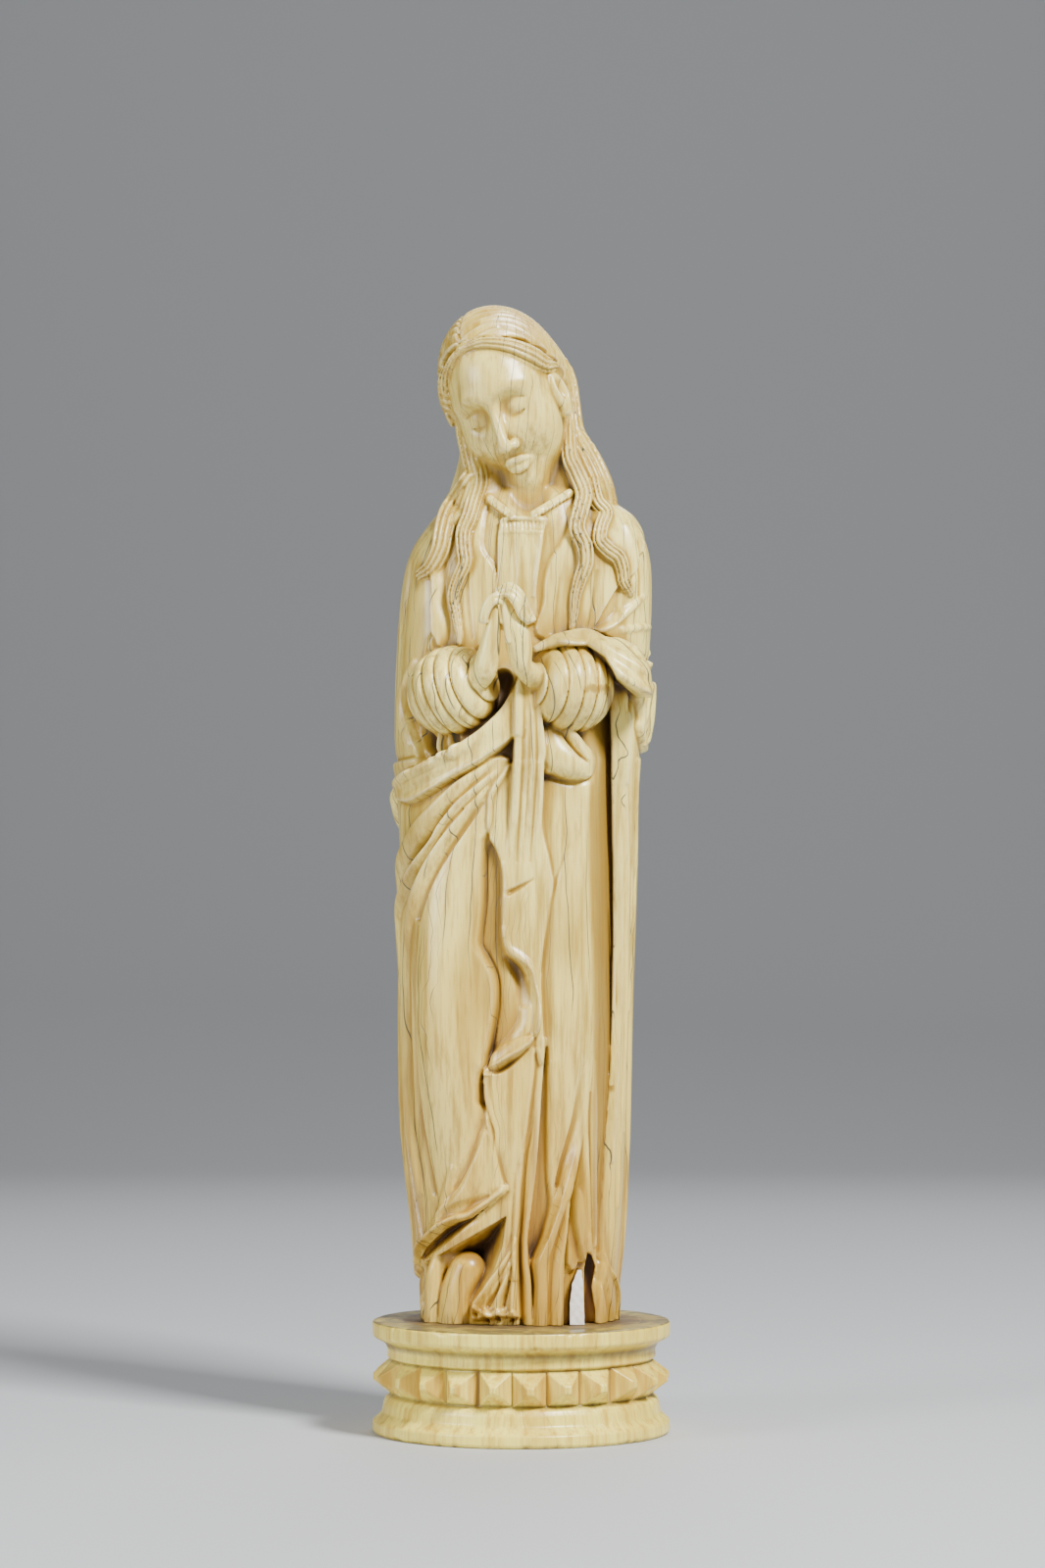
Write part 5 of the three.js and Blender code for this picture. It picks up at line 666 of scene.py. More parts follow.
class Block:
    """A block of material on a grid that holds the distance to its carved surface, negative inside"""

    def __init__(self, low, high, cell):
        self.low = np.array(low, np.float32)
        self.cell = cell
        self.axes = [np.arange(a, b + cell, cell, dtype=np.float32) for a, b in zip(low, high)]
        self.field = np.full([len(axis) for axis in self.axes], 9, np.float32)
        self.hair = []

    def part(self, low, high, margin):
        """The cells within a box and their coordinates"""
        ranges = []
        for a, b, start in zip(low, high, self.low):
            first = max(math.floor((a - margin - start) / self.cell), 0)
            last = max(math.ceil((b + margin - start) / self.cell), -1)
            ranges.append(slice(first, last + 1))
        x, y, z = (axis[r] for axis, r in zip(self.axes, ranges))
        return tuple(ranges), x[:, None, None], y[None, :, None], z[None, None, :]

    def work(self, low, high, distance, k=1.0, combine=join):
        """Works a distance into the block inside a box, joined or cut and rounded over k"""
        place, x, y, z = self.part(low, high, k + 2)
        self.field[place] = combine(self.field[place], distance(x, y, z).astype(np.float32), k)

    def fill(self, distance):
        """Works a distance over the whole block in slabs"""
        _, y, z = (axis.reshape([-1 if i == k else 1 for i in range(3)]) for k, axis in enumerate(self.axes))
        slabs = np.array_split(np.arange(len(self.axes[0])), 24)

        def work(rows):
            x = self.axes[0][rows][:, None, None]
            self.field[rows[0] : rows[-1] + 1] = distance(x, y, z)

        with ThreadPoolExecutor(4) as pool:
            list(pool.map(work, slabs))

    def ball(self, centre, radii, k=1.0, combine=join):
        centre = np.array(centre)
        radii = np.array(radii)

        def distance(x, y, z):
            return ball_distance((x, y, z), centre, radii)

        self.work(centre - radii, centre + radii, distance, k, combine)

    def limb(self, points, k=1.0, combine=join, strands=0, depth=0.0, facing=(0, -1, 0), twist=0.0):
        """A limb through points [x, y, z, radius], with grooves between strands that run along it,
        or round it by so many strands a millimetre"""
        path = smooth_path(points, 4)
        low = (path[:, :3] - path[:, 3:]).min(0)
        high = (path[:, :3] + path[:, 3:]).max(0)

        def distance(x, y, z):
            return limb_distance((x, y, z), path, strands, depth, facing, twist)

        self.work(low, high, distance, k, combine)
        if strands:
            self.hair.append(path)

    def sample(self, values, points, scale=1):
        """Values of a grid at points, blended between cells"""
        place = (points - self.low) / (self.cell * scale)
        first = np.clip(np.floor(place).astype(int), 0, np.array(values.shape) - 2)
        t = np.clip(place - first, 0, 1)
        total = 0
        for i in (0, 1):
            for j in (0, 1):
                for k in (0, 1):
                    sides = [t[:, n] if bit else 1 - t[:, n] for n, bit in enumerate((i, j, k))]
                    corner = values[first[:, 0] + i, first[:, 1] + j, first[:, 2] + k]
                    total = total + np.prod(sides, 0) * corner
        return total


def ball_distance(p, centre, radii):
    """The distance to a ball with three radii, true near its surface"""
    x, y, z = (p[i] - centre[i] for i in range(3))
    near = np.sqrt((x / radii[0]) ** 2 + (y / radii[1]) ** 2 + (z / radii[2]) ** 2)
    steep = np.sqrt((x / radii[0] ** 2) ** 2 + (y / radii[1] ** 2) ** 2 + (z / radii[2] ** 2) ** 2)
    return near * (near - 1) / np.maximum(steep, 1e-6)


def limb_distance(p, path, strands=0, depth=0.0, facing=(0, -1, 0), twist=0.0):
    """The distance to a limb, with the grooves between its strands"""
    path = np.array(path, float)
    best = None
    phase = size = start = 0
    for a, b in zip(path[:-1], path[1:]):
        d = b - a
        length = d[0] ** 2 + d[1] ** 2 + d[2] ** 2 + 1e-9
        t = np.clip(((p[0] - a[0]) * d[0] + (p[1] - a[1]) * d[1] + (p[2] - a[2]) * d[2]) / length, 0, 1)
        e = [p[i] - a[i] - t * d[i] for i in range(3)]
        radius = a[3] + t * d[3]
        gap = np.sqrt(e[0] ** 2 + e[1] ** 2 + e[2] ** 2) - radius
        if strands:
            side = np.cross(d[:3], facing)
            side = side / (np.linalg.norm(side) + 1e-9)
            across = (e[0] * side[0] + e[1] * side[1] + e[2] * side[2]) / radius
            place = (across + 1) / 2 * strands + twist * (start + t * math.sqrt(length))
            fine = np.minimum(radius / 2, 1)
            phase = place if best is None else np.where(gap < best, place, phase)
            size = fine if best is None else np.where(gap < best, fine, size)
            start += math.sqrt(length)
        best = gap if best is None else np.minimum(best, gap)
    if strands:
        best = best + depth * size * (1 - np.abs(np.sin(phase * math.pi)))
    return best


figure = Block([-41, -37, SKIRT_BOTTOM - 1.5], [41, 29, 303], CELL)
figure.fill(robe)

# The deep channel cut between dress and mantle on the right: height, where the dress starts to
# slope in, the mantle's edge, and how far back the cut reaches there
CHANNEL = np.array([
    [54, 18.9, 20.2, -14], [60, 18.5, 20.6, -12], [70, 18.4, 21.2, -10.5], [85, 18.4, 22.4, -8.5],
    [95, 18.2, 23.2, -7.5], [110, 18, 23.8, -6.5], [130, 17.4, 24.2, -5.5], [150, 16.4, 24.2, -5],
    [158, 16.2, 24, -4.6], [166, 16.4, 23.9, -4.2], [172, 17.4, 23.8, -4], [178, 18.4, 23.8, -3.6],
    [183, 16.4, 23.8, -3.2], [188, 15, 23.6, -2.6], [196, 14.6, 23.4, -2],
])


def channel_at(z):
    """The channel's start, edge and depth at a height"""
    return (np.interp(z, CHANNEL[:, 0], CHANNEL[:, k]) for k in (1, 2, 3))


def channel(x, y, z):
    """The distance to the channel, which slopes in from the dress to the mantle's edge"""
    start, edge, depth = channel_at(z)
    front = np.interp(z, CHANNEL[:, 0], [front_of(row[1], row[0]) - 2.4 for row in CHANNEL])
    drop = np.maximum(depth - front, CHANNEL_POWER * (edge - start))
    share = (x - start) / (edge - start)
    side = front + drop * np.where(share > 0, np.maximum(share, 0) ** CHANNEL_POWER, share)
    beside = np.maximum(x - edge, start - 1.5 - x)
    floor = (y - side) / np.sqrt(1 + (CHANNEL_POWER * drop / (edge - start)) ** 2)
    return np.maximum(np.maximum(beside, floor), np.maximum(z - CHANNEL_TOP, CHANNEL_BOTTOM - z))


figure.work([12, -30, CHANNEL_BOTTOM], [26, 4, CHANNEL_TOP], channel, 0.9, cut)

# The dark hollow under the mantle's lifted hem, with the lining, a fold and the shoe inside it
HOLLOW = np.array([
    *HEM[::-1], [-29.4, 41.6], [-29.4, 24], [-13, 24], [-13, 35.4], [-10.4, 38.8], [-7.2, 44], [-5, 50],
    [-3.9, 58],
])


def hollow(x, y, z):
    """The distance to the hollow, deeper the further inside its outline"""
    inner = inset(HOLLOW, x, z)
    floor = np.minimum(front_of(x, z) + 1.5 + 2 * inner, -2.5)
    return np.maximum(-inner, (y - floor) / 1.8)


figure.work([-30, -26, 24], [-2, -3, 68], hollow, 0.5, cut)
figure.limb([[-21.8, -8.6, 47, 1.4], [-23, -8.6, 42, 2.2], [-23.2, -8, 34, 2.5], [-23, -7.4, 24, 2.6]], 0.8)
figure.limb([
    [-21.6, -7.6, 42, 0.8], [-19.4, -9, 46, 1.1], [-15.8, -10, 50.8, 1.2], [-12.2, -11, 55.4, 1],
    [-9.4, -12, 59.4, 0.6],
], 1.4)
figure.limb([[-16.6, -9.2, 24, 5.2], [-16.5, -9.4, 36, 5.1], [-14.2, -9.8, 43.4, 4.9]], 0.6)

# The gap beside the broken fold
PIT_BACK = -8
PIT = np.array([
    [16.6, 24], [16.5, 44], [17.3, 48.4], [18.4, 47.4], [19.4, 44.4], [18.4, 39], [19.4, 32.6], [19.4, 24],
])


def pit(x, y, z):
    """The distance to the gap"""
    return np.maximum(-inset(PIT, x, z), y - PIT_BACK)


figure.work([15, -26, 24], [21, -6, 50], pit, 0.5, cut)

# Neck, and the beaded collar round it
figure.ball([2.2, -13.6, 252.4], [7.8, 7, 10], 1.2, cut)
figure.limb([[1, 2, 236, 9], [1.9, -1.4, 248, 7.6], [0.2, -2.6, 262, 8.2]], 1.5)
for outer, inner in [((-8.2, -10.2, 247.2), (-2.2, -13.4, 242.2)), ((12.8, -9.4, 249), (3.2, -13.4, 242.8))]:
    outer = np.array(outer)
    inner = np.array(inner)
    figure.limb([[*outer, 1.15], [*lerp(outer, inner, 0.5), 1.15], [*inner, 1.1]], 0.5)
    beads = round(np.linalg.norm(outer - inner) / 1.2)
    for i in range(beads):
        figure.ball(lerp(outer, inner, (i + 0.5) / beads) + [0, -1.2, -0.8], [0.55, 0.55, 0.55], 0.1)

# Head, in its own frame of right, forward and up


def turned(axis):
    """An axis bent forward by the pitch, turned aside by the yaw and tilted by the roll"""
    roll, yaw, pitch = (math.radians(v) for v in (-HEAD_ROLL, -HEAD_YAW, HEAD_PITCH))
    x, y, z = axis
    y, z = y * math.cos(pitch) - z * math.sin(pitch), y * math.sin(pitch) + z * math.cos(pitch)
    x, y = x * math.cos(yaw) - y * math.sin(yaw), x * math.sin(yaw) + y * math.cos(yaw)
    x, z = x * math.cos(roll) + z * math.sin(roll), -x * math.sin(roll) + z * math.cos(roll)
    return [x, y, z]


HEAD_AXES = np.array([turned(axis) for axis in ([1, 0, 0], [0, -1, 0], [0, 0, 1])])


def to_head(x, y, z):
    """A place in the head's own frame"""
    d = (x - HEAD_CENTRE[0], y - HEAD_CENTRE[1], z - HEAD_CENTRE[2])
    q = [(d[0] * a[0] + d[1] * a[1] + d[2] * a[2]) / HEAD_SCALE for a in HEAD_AXES]
    return [q[0], q[1], q[2] / HEAD_TALL]


def from_head(q):
    """The place of a point given in the head's own frame"""
    return HEAD_CENTRE + HEAD_SCALE * (np.array([q[0], q[1], q[2] * HEAD_TALL]) @ HEAD_AXES)


# A calm, plain face of even proportions with lowered lids. Each row joins or cuts a ball, given by
# its centre and radii, or a limb, rounded over a width, and on both sides where it is mirrored.
SKULL = [[0, -1.5, 4.6], [13.8, 16.2, 15.2]]
JAW = (join, 6, False, [[0, 3.2, -5], [11.8, 11.4, 15.4]])
CHEEKS = (join, 4, True, [[6.4, 8, -6], [5.2, 5, 6]])
CHIN = (join, 4, False, [[0, 9.8, -17.2], [4, 4.2, 3.8]])
BROWS = (join, 3, True, [[1.6, 13.7, 4.2, 0.8], [5.2, 12.7, 5.6, 1], [9, 9.9, 4.6, 0.8]])
EYE_HOLLOWS = (cut, 3.4, True, [[5.3, 16.2, 0.8], [4.6, 4.4, 3.2]])
EYES = (join, 0.9, True, [[5.3, 9.6, 0], [3.5, 3.3, 2.7]])
NOSE = (join, 1.4, False, [[0, 12.6, 4.4, 1.1], [0, 14.6, 0, 1.1], [0, 16.4, -4, 1.3], [0, 17.4, -7, 1.7]])
NOSTRILS = (join, 0.7, True, [[1.9, 15.2, -7.6], [1.3, 1.9, 1.3]])
NOSTRIL_HOLES = (cut, 0.3, True, [[1, 16.9, -8.9], [0.6, 0.9, 0.4]])
UPPER_LIP = (join, 0.6, True, [[0, 14.9, -11.6, 0.95], [1.8, 14.4, -11.7, 0.9], [3.7, 12.9, -12.4, 0.35]])
LOWER_LIP = (join, 0.6, True, [[0, 14.5, -13.7, 1.15], [1.6, 14, -13.6, 1], [3.4, 12.8, -12.9, 0.35]])
MOUTH_LINE = (cut, 0.3, True, [[0, 16, -12.6, 0.25], [2, 15.4, -12.6, 0.25], [4.1, 13.5, -12.7, 0.2]])
LIP_GROOVE = (cut, 0.6, False, [[0, 15.2, -9.4, 0.5], [0, 15.4, -10.4, 0.5]])
LOWERED_LIDS = (cut, 0.4, True, [
    [2.4, 13.3, -0.7, 0.05], [4, 13.1, -1.6, 0.25], [6.2, 12.6, -1.7, 0.25], [8.2, 11.5, -0.8, 0.05],
])
LID_CREASES = (cut, 0.6, True, [[2.6, 13.4, 1.7, 0.05], [5.2, 13, 2.6, 0.25], [8.2, 11.5, 1.6, 0.05]])
FACE = [
    JAW, CHEEKS, CHIN, BROWS, EYE_HOLLOWS, EYES, NOSE, NOSTRILS, NOSTRIL_HOLES, UPPER_LIP, LOWER_LIP,
    MOUTH_LINE, LIP_GROOVE, LOWERED_LIDS, LID_CREASES,
]


def face_distance(x, y, z):
    """The distance to the skull and face"""
    q = to_head(x, y, z)
    side = [np.abs(q[0]), q[1], q[2]]
    d = ball_distance(q, *SKULL)
    for combine, k, mirrored, shape in FACE:
        place = side if mirrored else q
        if len(shape[0]) == 3:
            d = combine(d, ball_distance(place, *shape), k)
        else:
            d = combine(d, limb_distance(place, shape), k)
    return HEAD_SCALE * d


HEAD_REACH = 25
HEAD_LOW = HEAD_CENTRE - HEAD_REACH
HEAD_HIGH = HEAD_CENTRE + HEAD_REACH
figure.work(HEAD_LOW, HEAD_HIGH, face_distance, 1.2)


def ear(x, y, z):
    """The distance to the ear on the right"""
    q = to_head(x, y, z)
    shell = ball_distance(q, [13.9, 1.6, -2.6], [2, 3.4, 5.6])
    shell = cut(shell, ball_distance(q, [15.6, 2.6, -1.4], [1.7, 1.7, 3.2]), 0.6)
    return join(shell, ball_distance(q, [13.6, 2.6, -7], [1.5, 1.5, 1.6]), 0.6)


def hair_cap(x, y, z):
    """Hair combed from a parting over the skull, in fine wavy strands"""
    q = to_head(x, y, z)
    cap = ball_distance(q, [0, -2.6, 4.8], [15.2, 18.2, 17.8])
    from_parting = np.abs(q[0] + PARTING)
    comb = q[1] + 0.5 * from_parting + 0.35 * np.sin(0.55 * from_parting + 0.3 * q[1])
    cap = cap + STRAND_DEPTH * (1 - np.abs(np.sin(comb * math.pi / STRAND_PITCH))) ** 1.4 - 0.45
    cap = cap + 0.7 * np.exp(-((from_parting / 0.5) ** 2)) * smoothstep(q[1], -10, 2)
    hairline = 0.785 * (q[1] - 7.6) - 0.62 * (q[2] - 17.4)
    return np.maximum(np.maximum(cap, hairline), -q[2] - 16)


figure.work(HEAD_LOW, HEAD_HIGH, ear, 0.8)
figure.work(HEAD_LOW, HEAD_HIGH, hair_cap, 0.5)

# Hair rolled back from the brow on both sides like a rope, then drawn behind the ears
for line in [
    [
        [-1.4, 8.4, 17.2, 1.2], [-6, 8.2, 15.4, 1.6], [-10.4, 7, 11.6, 2], [-13, 5, 7, 2.4],
        [-14, 3.4, 1.5, 2.6],
    ],
    [
        [-2.8, 8.4, 17.2, 1.2], [3, 8.4, 16.8, 1.9], [8.4, 7.2, 13.6, 2.6], [11.8, 5.2, 9.2, 3.1],
        [13.4, 3, 5.6, 2.7], [14, -0.6, 3.6, 2],
    ],
]:
    figure.limb([[*from_head(p[:3]), p[3]] for p in line], 0.8, strands=4, depth=0.7, twist=0.05)
figure.limb([
    [-12.6, -5, 294, 2], [-16.6, -6.4, 290, 2.9], [-18.8, -7, 284, 3.3], [-19.2, -6.6, 277.6, 3.2],
    [-18, -5.6, 271.6, 2.6],
], 0.6, strands=2, depth=0.9, twist=0.5)

# Hair falling past the neck onto the shoulders and down the back
figure.limb([[-9, 1, 268, 5], [-8.8, -0.6, 258, 6.4], [-9, -2, 248, 7]], 2)
figure.limb([[11, 2, 268, 5], [12, 0.4, 258, 6.4], [12.4, -1, 247, 7.4]], 2)
figure.limb([[0.6, 7, 280, 12.6], [3, 10, 268, 13], [4, 12, 254, 14], [3, 13, 242, 15]], 5)
figure.limb([
    [6.6, 5.4, 286.4, 4.2], [9.8, 3.8, 281.6, 5], [11.6, 2.6, 274, 4.6], [12.6, 1.4, 266, 4.8],
    [16.2, -0.6, 257.5, 6], [19.2, -1.6, 250, 6.2], [21.6, 0, 241, 5.2],
], 1.2, strands=8, depth=0.6)
figure.limb([
    [-15.6, -3.4, 270, 2.6], [-14.4, -4.4, 265, 3.2], [-12.6, -5, 259, 3.8], [-11.6, -5.6, 253, 4.2],
    [-13.6, -6, 246, 4.4],
], 1.2, strands=6, depth=0.6)
figure.limb([[-12, 4, 276, 6], [-10, 6, 262, 6.6], [-12, 6, 250, 7.4], [-16, 4, 240, 7]], 4)
figure.limb([
    [2, 16, 244, 11], [2, 19.4, 226, 9], [2, 20.4, 208, 6], [1, 21, 194, 2],
], 4, strands=9, depth=0.8, facing=(0, 1, 0))
figure.limb([
    [0.6, 9, 287.4, 8], [3, 14, 279, 9], [3, 17, 264, 10], [2, 18, 248, 10],
], 3, strands=9, depth=0.7, facing=(0, 1, 0))

# Wavy locks over the chest: [x, z, half width]
LOCKS = [
    [
        [12.6, 272, 1.6], [12.4, 266, 2.1], [12.8, 259, 2.3], [14.7, 254.5, 2.4], [16.6, 249.1, 2.5],
        [15.8, 244.5, 2.4], [14.7, 239.2, 2.4], [16.6, 234.6, 2.4], [17, 230, 2.3], [15.5, 225.5, 2],
        [14.3, 220.9, 1.6], [13.9, 216.3, 1.3], [13.4, 212.5, 0.9],
    ],
    [
        [18.9, 251.4, 2.1], [20, 246.8, 2.2], [22.3, 243.8, 2.2], [21.2, 240, 2.1], [20.8, 236.1, 2.1],
        [23.1, 233.5, 2.2], [25.7, 231.6, 2.2], [26.9, 228.5, 2], [27.3, 225.5, 1.8], [28.8, 222.8, 1.4],
    ],
    [
        [-13.9, 252.2, 3.2], [-17.7, 246.8, 3.3], [-19.6, 243, 3.2], [-20.7, 238.4, 3], [-21.5, 233.9, 2.8],
        [-23.8, 229.3, 2.5], [-26.4, 227.4, 1.9],
    ],
    [
        [-11.6, 257.5, 2.5], [-11.2, 252.2, 2.5], [-12.7, 246.8, 2.4], [-13.9, 242.3, 2.3],
        [-15.4, 238.4, 2.2], [-15.4, 233.9, 2.1], [-15, 230, 2], [-16.9, 225.5, 1.9], [-18.1, 220.9, 1.7],
        [-17.3, 216.3, 1.4], [-16.5, 211.7, 1.1], [-16.3, 208.7, 0.8],
    ],
]


def lying(x, z):
    """The depth at which a lock lies on the robe, and above it leads back to the head"""
    front = front_of(x, min(z, LOCK_ROOT)) - 1.5
    return front if z < LOCK_ROOT else lerp(front, -4, (z - LOCK_ROOT) / 18)


for lock in LOCKS:
    figure.limb([[x, lying(x, z), z, r * 1.06] for x, z, r in lock], 0.4, strands=4, depth=0.9)


class Sleeve:
    """A puffed sleeve with narrow ring seams, gathered at the wrist"""

    def __init__(self, centre, axis, radius, length):
        self.centre = np.array(centre)
        self.axis = np.array(axis) / np.linalg.norm(axis)
        self.radius = radius
        self.length = length
        figure.work(self.centre - radius - 3, self.centre + radius + 3, self.distance, 0.6)

    def reach(self, x, y, z):
        """The place along the sleeve and the distance to its plain barrel"""
        d = (x - self.centre[0], y - self.centre[1], z - self.centre[2])
        along = d[0] * self.axis[0] + d[1] * self.axis[1] + d[2] * self.axis[2]
        across = np.sqrt(np.maximum(d[0] ** 2 + d[1] ** 2 + d[2] ** 2 - along**2, 0))
        return along, (np.hypot(along / self.length, across / self.radius) - 1) * self.radius * 0.95

    def distance(self, x, y, z):
        along, barrel = self.reach(x, y, z)
        ring = np.abs((along / SLEEVE_RINGS + 64.5) % 1 - 0.5) * 2
        return np.maximum(barrel + 0.6 * ring**3 + 0.8 * ring**14, along - self.length * SLEEVE_GATHER)


Sleeve([-18, -13.6, 196], [0.8, -0.5, 0.3], 12, 12.6)
right_sleeve = Sleeve([12.6, -15, 196.8], [-0.86, -0.5, 0.06], 12.2, 12)

# Cloth thrown over the right forearm: a thick turned edge over a sheet that ends in a corner
FLAP = np.array([
    [2.9, 208.2], [6.7, 210.4], [11.3, 211.9], [17.4, 213], [21.9, 212.6], [26.5, 211], [31.1, 207.9],
    [33.7, 203.3], [34.6, 196.4], [34.4, 194.4], [30.6, 194.8], [27.4, 197], [25, 198.8], [23.6, 201.6],
    [21.9, 204.4], [17.4, 207.4], [10, 207.4],
])


def flap(x, y, z):
    """The distance to the cloth over the forearm, cut to its outline"""
    thrown = right_sleeve.reach(np.where(x > 14, lerp(x, 14, 0.5), x), y, lerp(z, 199, 0.12))[1]
    folds = 0.5 * np.sin((z - 203 + 0.62 * (x - 14)) * 1.15)
    return cut(thrown - 1.5 + 0.7 * folds, inset(FLAP, x, z), 1.6)


figure.work([0, -34, 188], [37, 0, 216], flap, 0.5)
figure.limb([
    [3.8, -22.4, 206.6, 0.9], [7, -21.4, 208, 1.4], [12, -20.2, 209.6, 1.8], [17, -19.8, 210, 2.1],
    [21, -19.6, 208, 2.1], [24.4, -19, 203.6, 2], [27, -17.6, 199.8, 1.7], [30, -15.6, 197, 1.4],
    [33, -13.2, 195.6, 1],
], 1)

# Clasped hands: the palms lean together and the fingers are laced over the top in two bundles
figure.limb([
    [-12.6, -20, 197.6, 3.4], [-9.8, -24.8, 200.6, 3.3], [-8.6, -26.2, 205, 2.9], [-7.7, -27.2, 210, 2.3],
    [-7.2, -27.8, 214, 1.6], [-7, -28.2, 217.4, 0.9],
], 0.4)
figure.limb([
    [4, -20.6, 199, 3.4], [0.4, -25.6, 201.6, 2.7], [-0.5, -26.4, 206, 3.3], [-1.2, -26.8, 210.4, 3.3],
    [-2.8, -27.4, 214.4, 2.3], [-4.4, -28, 218.4, 1.3],
], 0.4)
figure.limb([
    [-4.9, -28.8, 220.4, 0.8], [-4.4, -29.2, 217.4, 0.85], [-3.9, -29.4, 213, 0.9], [-3.4, -29.2, 208, 0.8],
], 0.3)
for finger in [
    [
        [-4.8, -29.2, 219.4], [-6.3, -30, 219.9], [-8.3, -30.2, 218.8], [-9.7, -29.8, 216.4],
        [-10.5, -29.2, 213.4],
    ],
    [
        [-5.4, -29.4, 218.2], [-6.8, -30.3, 218.4], [-8, -30.3, 217.4], [-8.9, -29.8, 215.6],
        [-9.6, -29.3, 213.2],
    ],
    [
        [-5.6, -28.6, 221.6], [-3.2, -29.2, 222.6], [-0.8, -29.4, 221.2], [0.9, -29.2, 218.4],
        [2, -29, 215.8], [3.2, -28.8, 213.8],
    ],
    [
        [-5.2, -29.4, 221.2], [-3, -30.2, 221.4], [-1, -30.4, 219.8], [0, -30.4, 217.4], [1, -30, 215.2],
        [2.6, -29.6, 213.4],
    ],
    [
        [-4.7, -29.8, 220.3], [-3, -30.7, 219.9], [-1.6, -30.9, 218.2], [-0.8, -30.7, 216],
        [0.2, -30.2, 214.2], [1.6, -29.6, 213.2],
    ],
]:
    figure.limb([[*p, r] for p, r in zip(finger, (0.75, 0.9, 0.9, 0.85, 0.8, 0.7))], 0.1)
figure.limb([
    [-5.3, -29, 212.6, 0.35], [-5.2, -29.4, 208, 0.7], [-4.9, -29.4, 204, 1.1], [-4.6, -28.6, 200, 2],
    [-4.6, -26, 196, 2.6],
], 0.5, cut)


# The white filling under the broken hem, and the pocket it stands in

FILLING = [
    [12.6, PLINTH_TOP], [16.6, PLINTH_TOP], [16.2, 41], [15.8, 43.6], [14.6, 43.8], [13.2, 40], [12.6, 35],
]
FILLING_FRONT = -17.2
FILLING_BACK = -12.6
FILLING_GAP = 0.3


def filling(x, y, z):
    """The distance to the filling"""
    flat = -inset(np.array(FILLING), x, z)
    return np.maximum(np.maximum(flat, FILLING_FRONT - y), y - FILLING_BACK)


def pocket(x, y, z):
    """The distance to the filling grown by the gap round it"""
    grown = [[corner, height if height > PLINTH_TOP else height - 3] for corner, height in FILLING]
    return np.maximum(-inset(np.array(grown), x, z) - FILLING_GAP, y - FILLING_BACK - FILLING_GAP)


figure.work([12, -21, 27], [17, -12, 45], pocket, 0.2, cut)
figure.field[...] = np.maximum(figure.field, PLINTH_TOP - figure.axes[2][None, None, :])


# From field to mesh


def box_blur(values, reach):
    """The mean over a cube that reaches so many cells each way, along one axis after another"""
    for axis in range(3):
        size = values.shape[axis]
        total = np.cumsum(values, axis=axis, dtype=np.float32)
        ahead = np.take(total, np.minimum(np.arange(size) + reach, size - 1), axis=axis)
        behind = np.take(total, np.maximum(np.arange(size) - reach - 1, 0), axis=axis)
        values = (ahead - behind) / (2 * reach + 1)
    return values


def mesh_of(block, name, triangles):
    """A block's surface as a piece with about so many triangles"""
    field = np.clip(block.field, -2 * block.cell, 2 * block.cell)
    for axis in range(3):
        ends = [slice(None)] * 3
        for end in (0, -1):
            ends[axis] = end
            field[tuple(ends)] = np.maximum(field[tuple(ends)], block.cell)
    grid = openvdb.FloatGrid(background=2 * block.cell)
    grid.copyFromArray(field)
    points, quads = grid.convertToQuads(isovalue=0.0)
    points = points * block.cell + block.low
    mesh = bpy.data.meshes.new(name)
    mesh.vertices.add(len(points))
    mesh.vertices.foreach_set("co", (points * MM).astype(np.float32).ravel())
    mesh.loops.add(quads.size)
    mesh.loops.foreach_set("vertex_index", quads[:, ::-1].astype(np.int32).ravel())
    mesh.polygons.add(len(quads))
    mesh.polygons.foreach_set("loop_start", np.arange(0, quads.size, 4, dtype=np.int32))
    mesh.polygons.foreach_set("loop_total", np.full(len(quads), 4, np.int32))
    mesh.update(calc_edges=True)
    piece = bpy.data.objects.new(name, mesh)
    bpy.context.scene.collection.objects.link(piece)
    reduce = piece.modifiers.new("reduce", "DECIMATE")
    reduce.ratio = min(triangles / (2 * len(quads)), 1)
    shown = piece.evaluated_get(bpy.context.evaluated_depsgraph_get())
    piece.data = bpy.data.meshes.new_from_object(shown)
    piece.modifiers.clear()
    piece.data.name = name
    piece.data.polygons.foreach_set("use_smooth", np.ones(len(piece.data.polygons), bool))
    keep_largest(piece)
    add_hollows(block, piece)
    return piece


def keep_largest(piece):
    """Removes loose crumbs that carving may leave"""
    mesh = piece.data
    edges = np.zeros(len(mesh.edges) * 2, np.int32)
    mesh.edges.foreach_get("vertices", edges)
    edges = edges.reshape(-1, 2)
    label = np.arange(len(mesh.vertices))
    while True:
        low = np.minimum(label[edges[:, 0]], label[edges[:, 1]])
        after = label.copy()
        np.minimum.at(after, edges[:, 0], low)
        np.minimum.at(after, edges[:, 1], low)
        after = after[after]
        if (after == label).all():
            break
        label = after
    names, counts = np.unique(label, return_counts=True)
    loose = np.nonzero(label != names[counts.argmax()])[0]
    if len(loose):
        work = bmesh.new()
        work.from_mesh(mesh)
        work.verts.ensure_lookup_table()
        bmesh.ops.delete(work, geom=[work.verts[i] for i in loose], context="VERTS")
        work.to_mesh(mesh)
        work.free()


# How far each kind of recess is felt, for its patina and painted shade: its name, size, grid stride and
# number of passes
RECESSES = [("line", 0.55, 1, 2), ("groove", 0.8, 1, 1), ("hollow", 3.4, 2, 2), ("bowl", 7.5, 4, 2)]


def add_values(mesh, name, values):
    """One value for each point, for the material to read"""
    attribute = mesh.attributes.new(name, "FLOAT", "POINT")
    attribute.data.foreach_set("value", values.astype(np.float32).ravel())


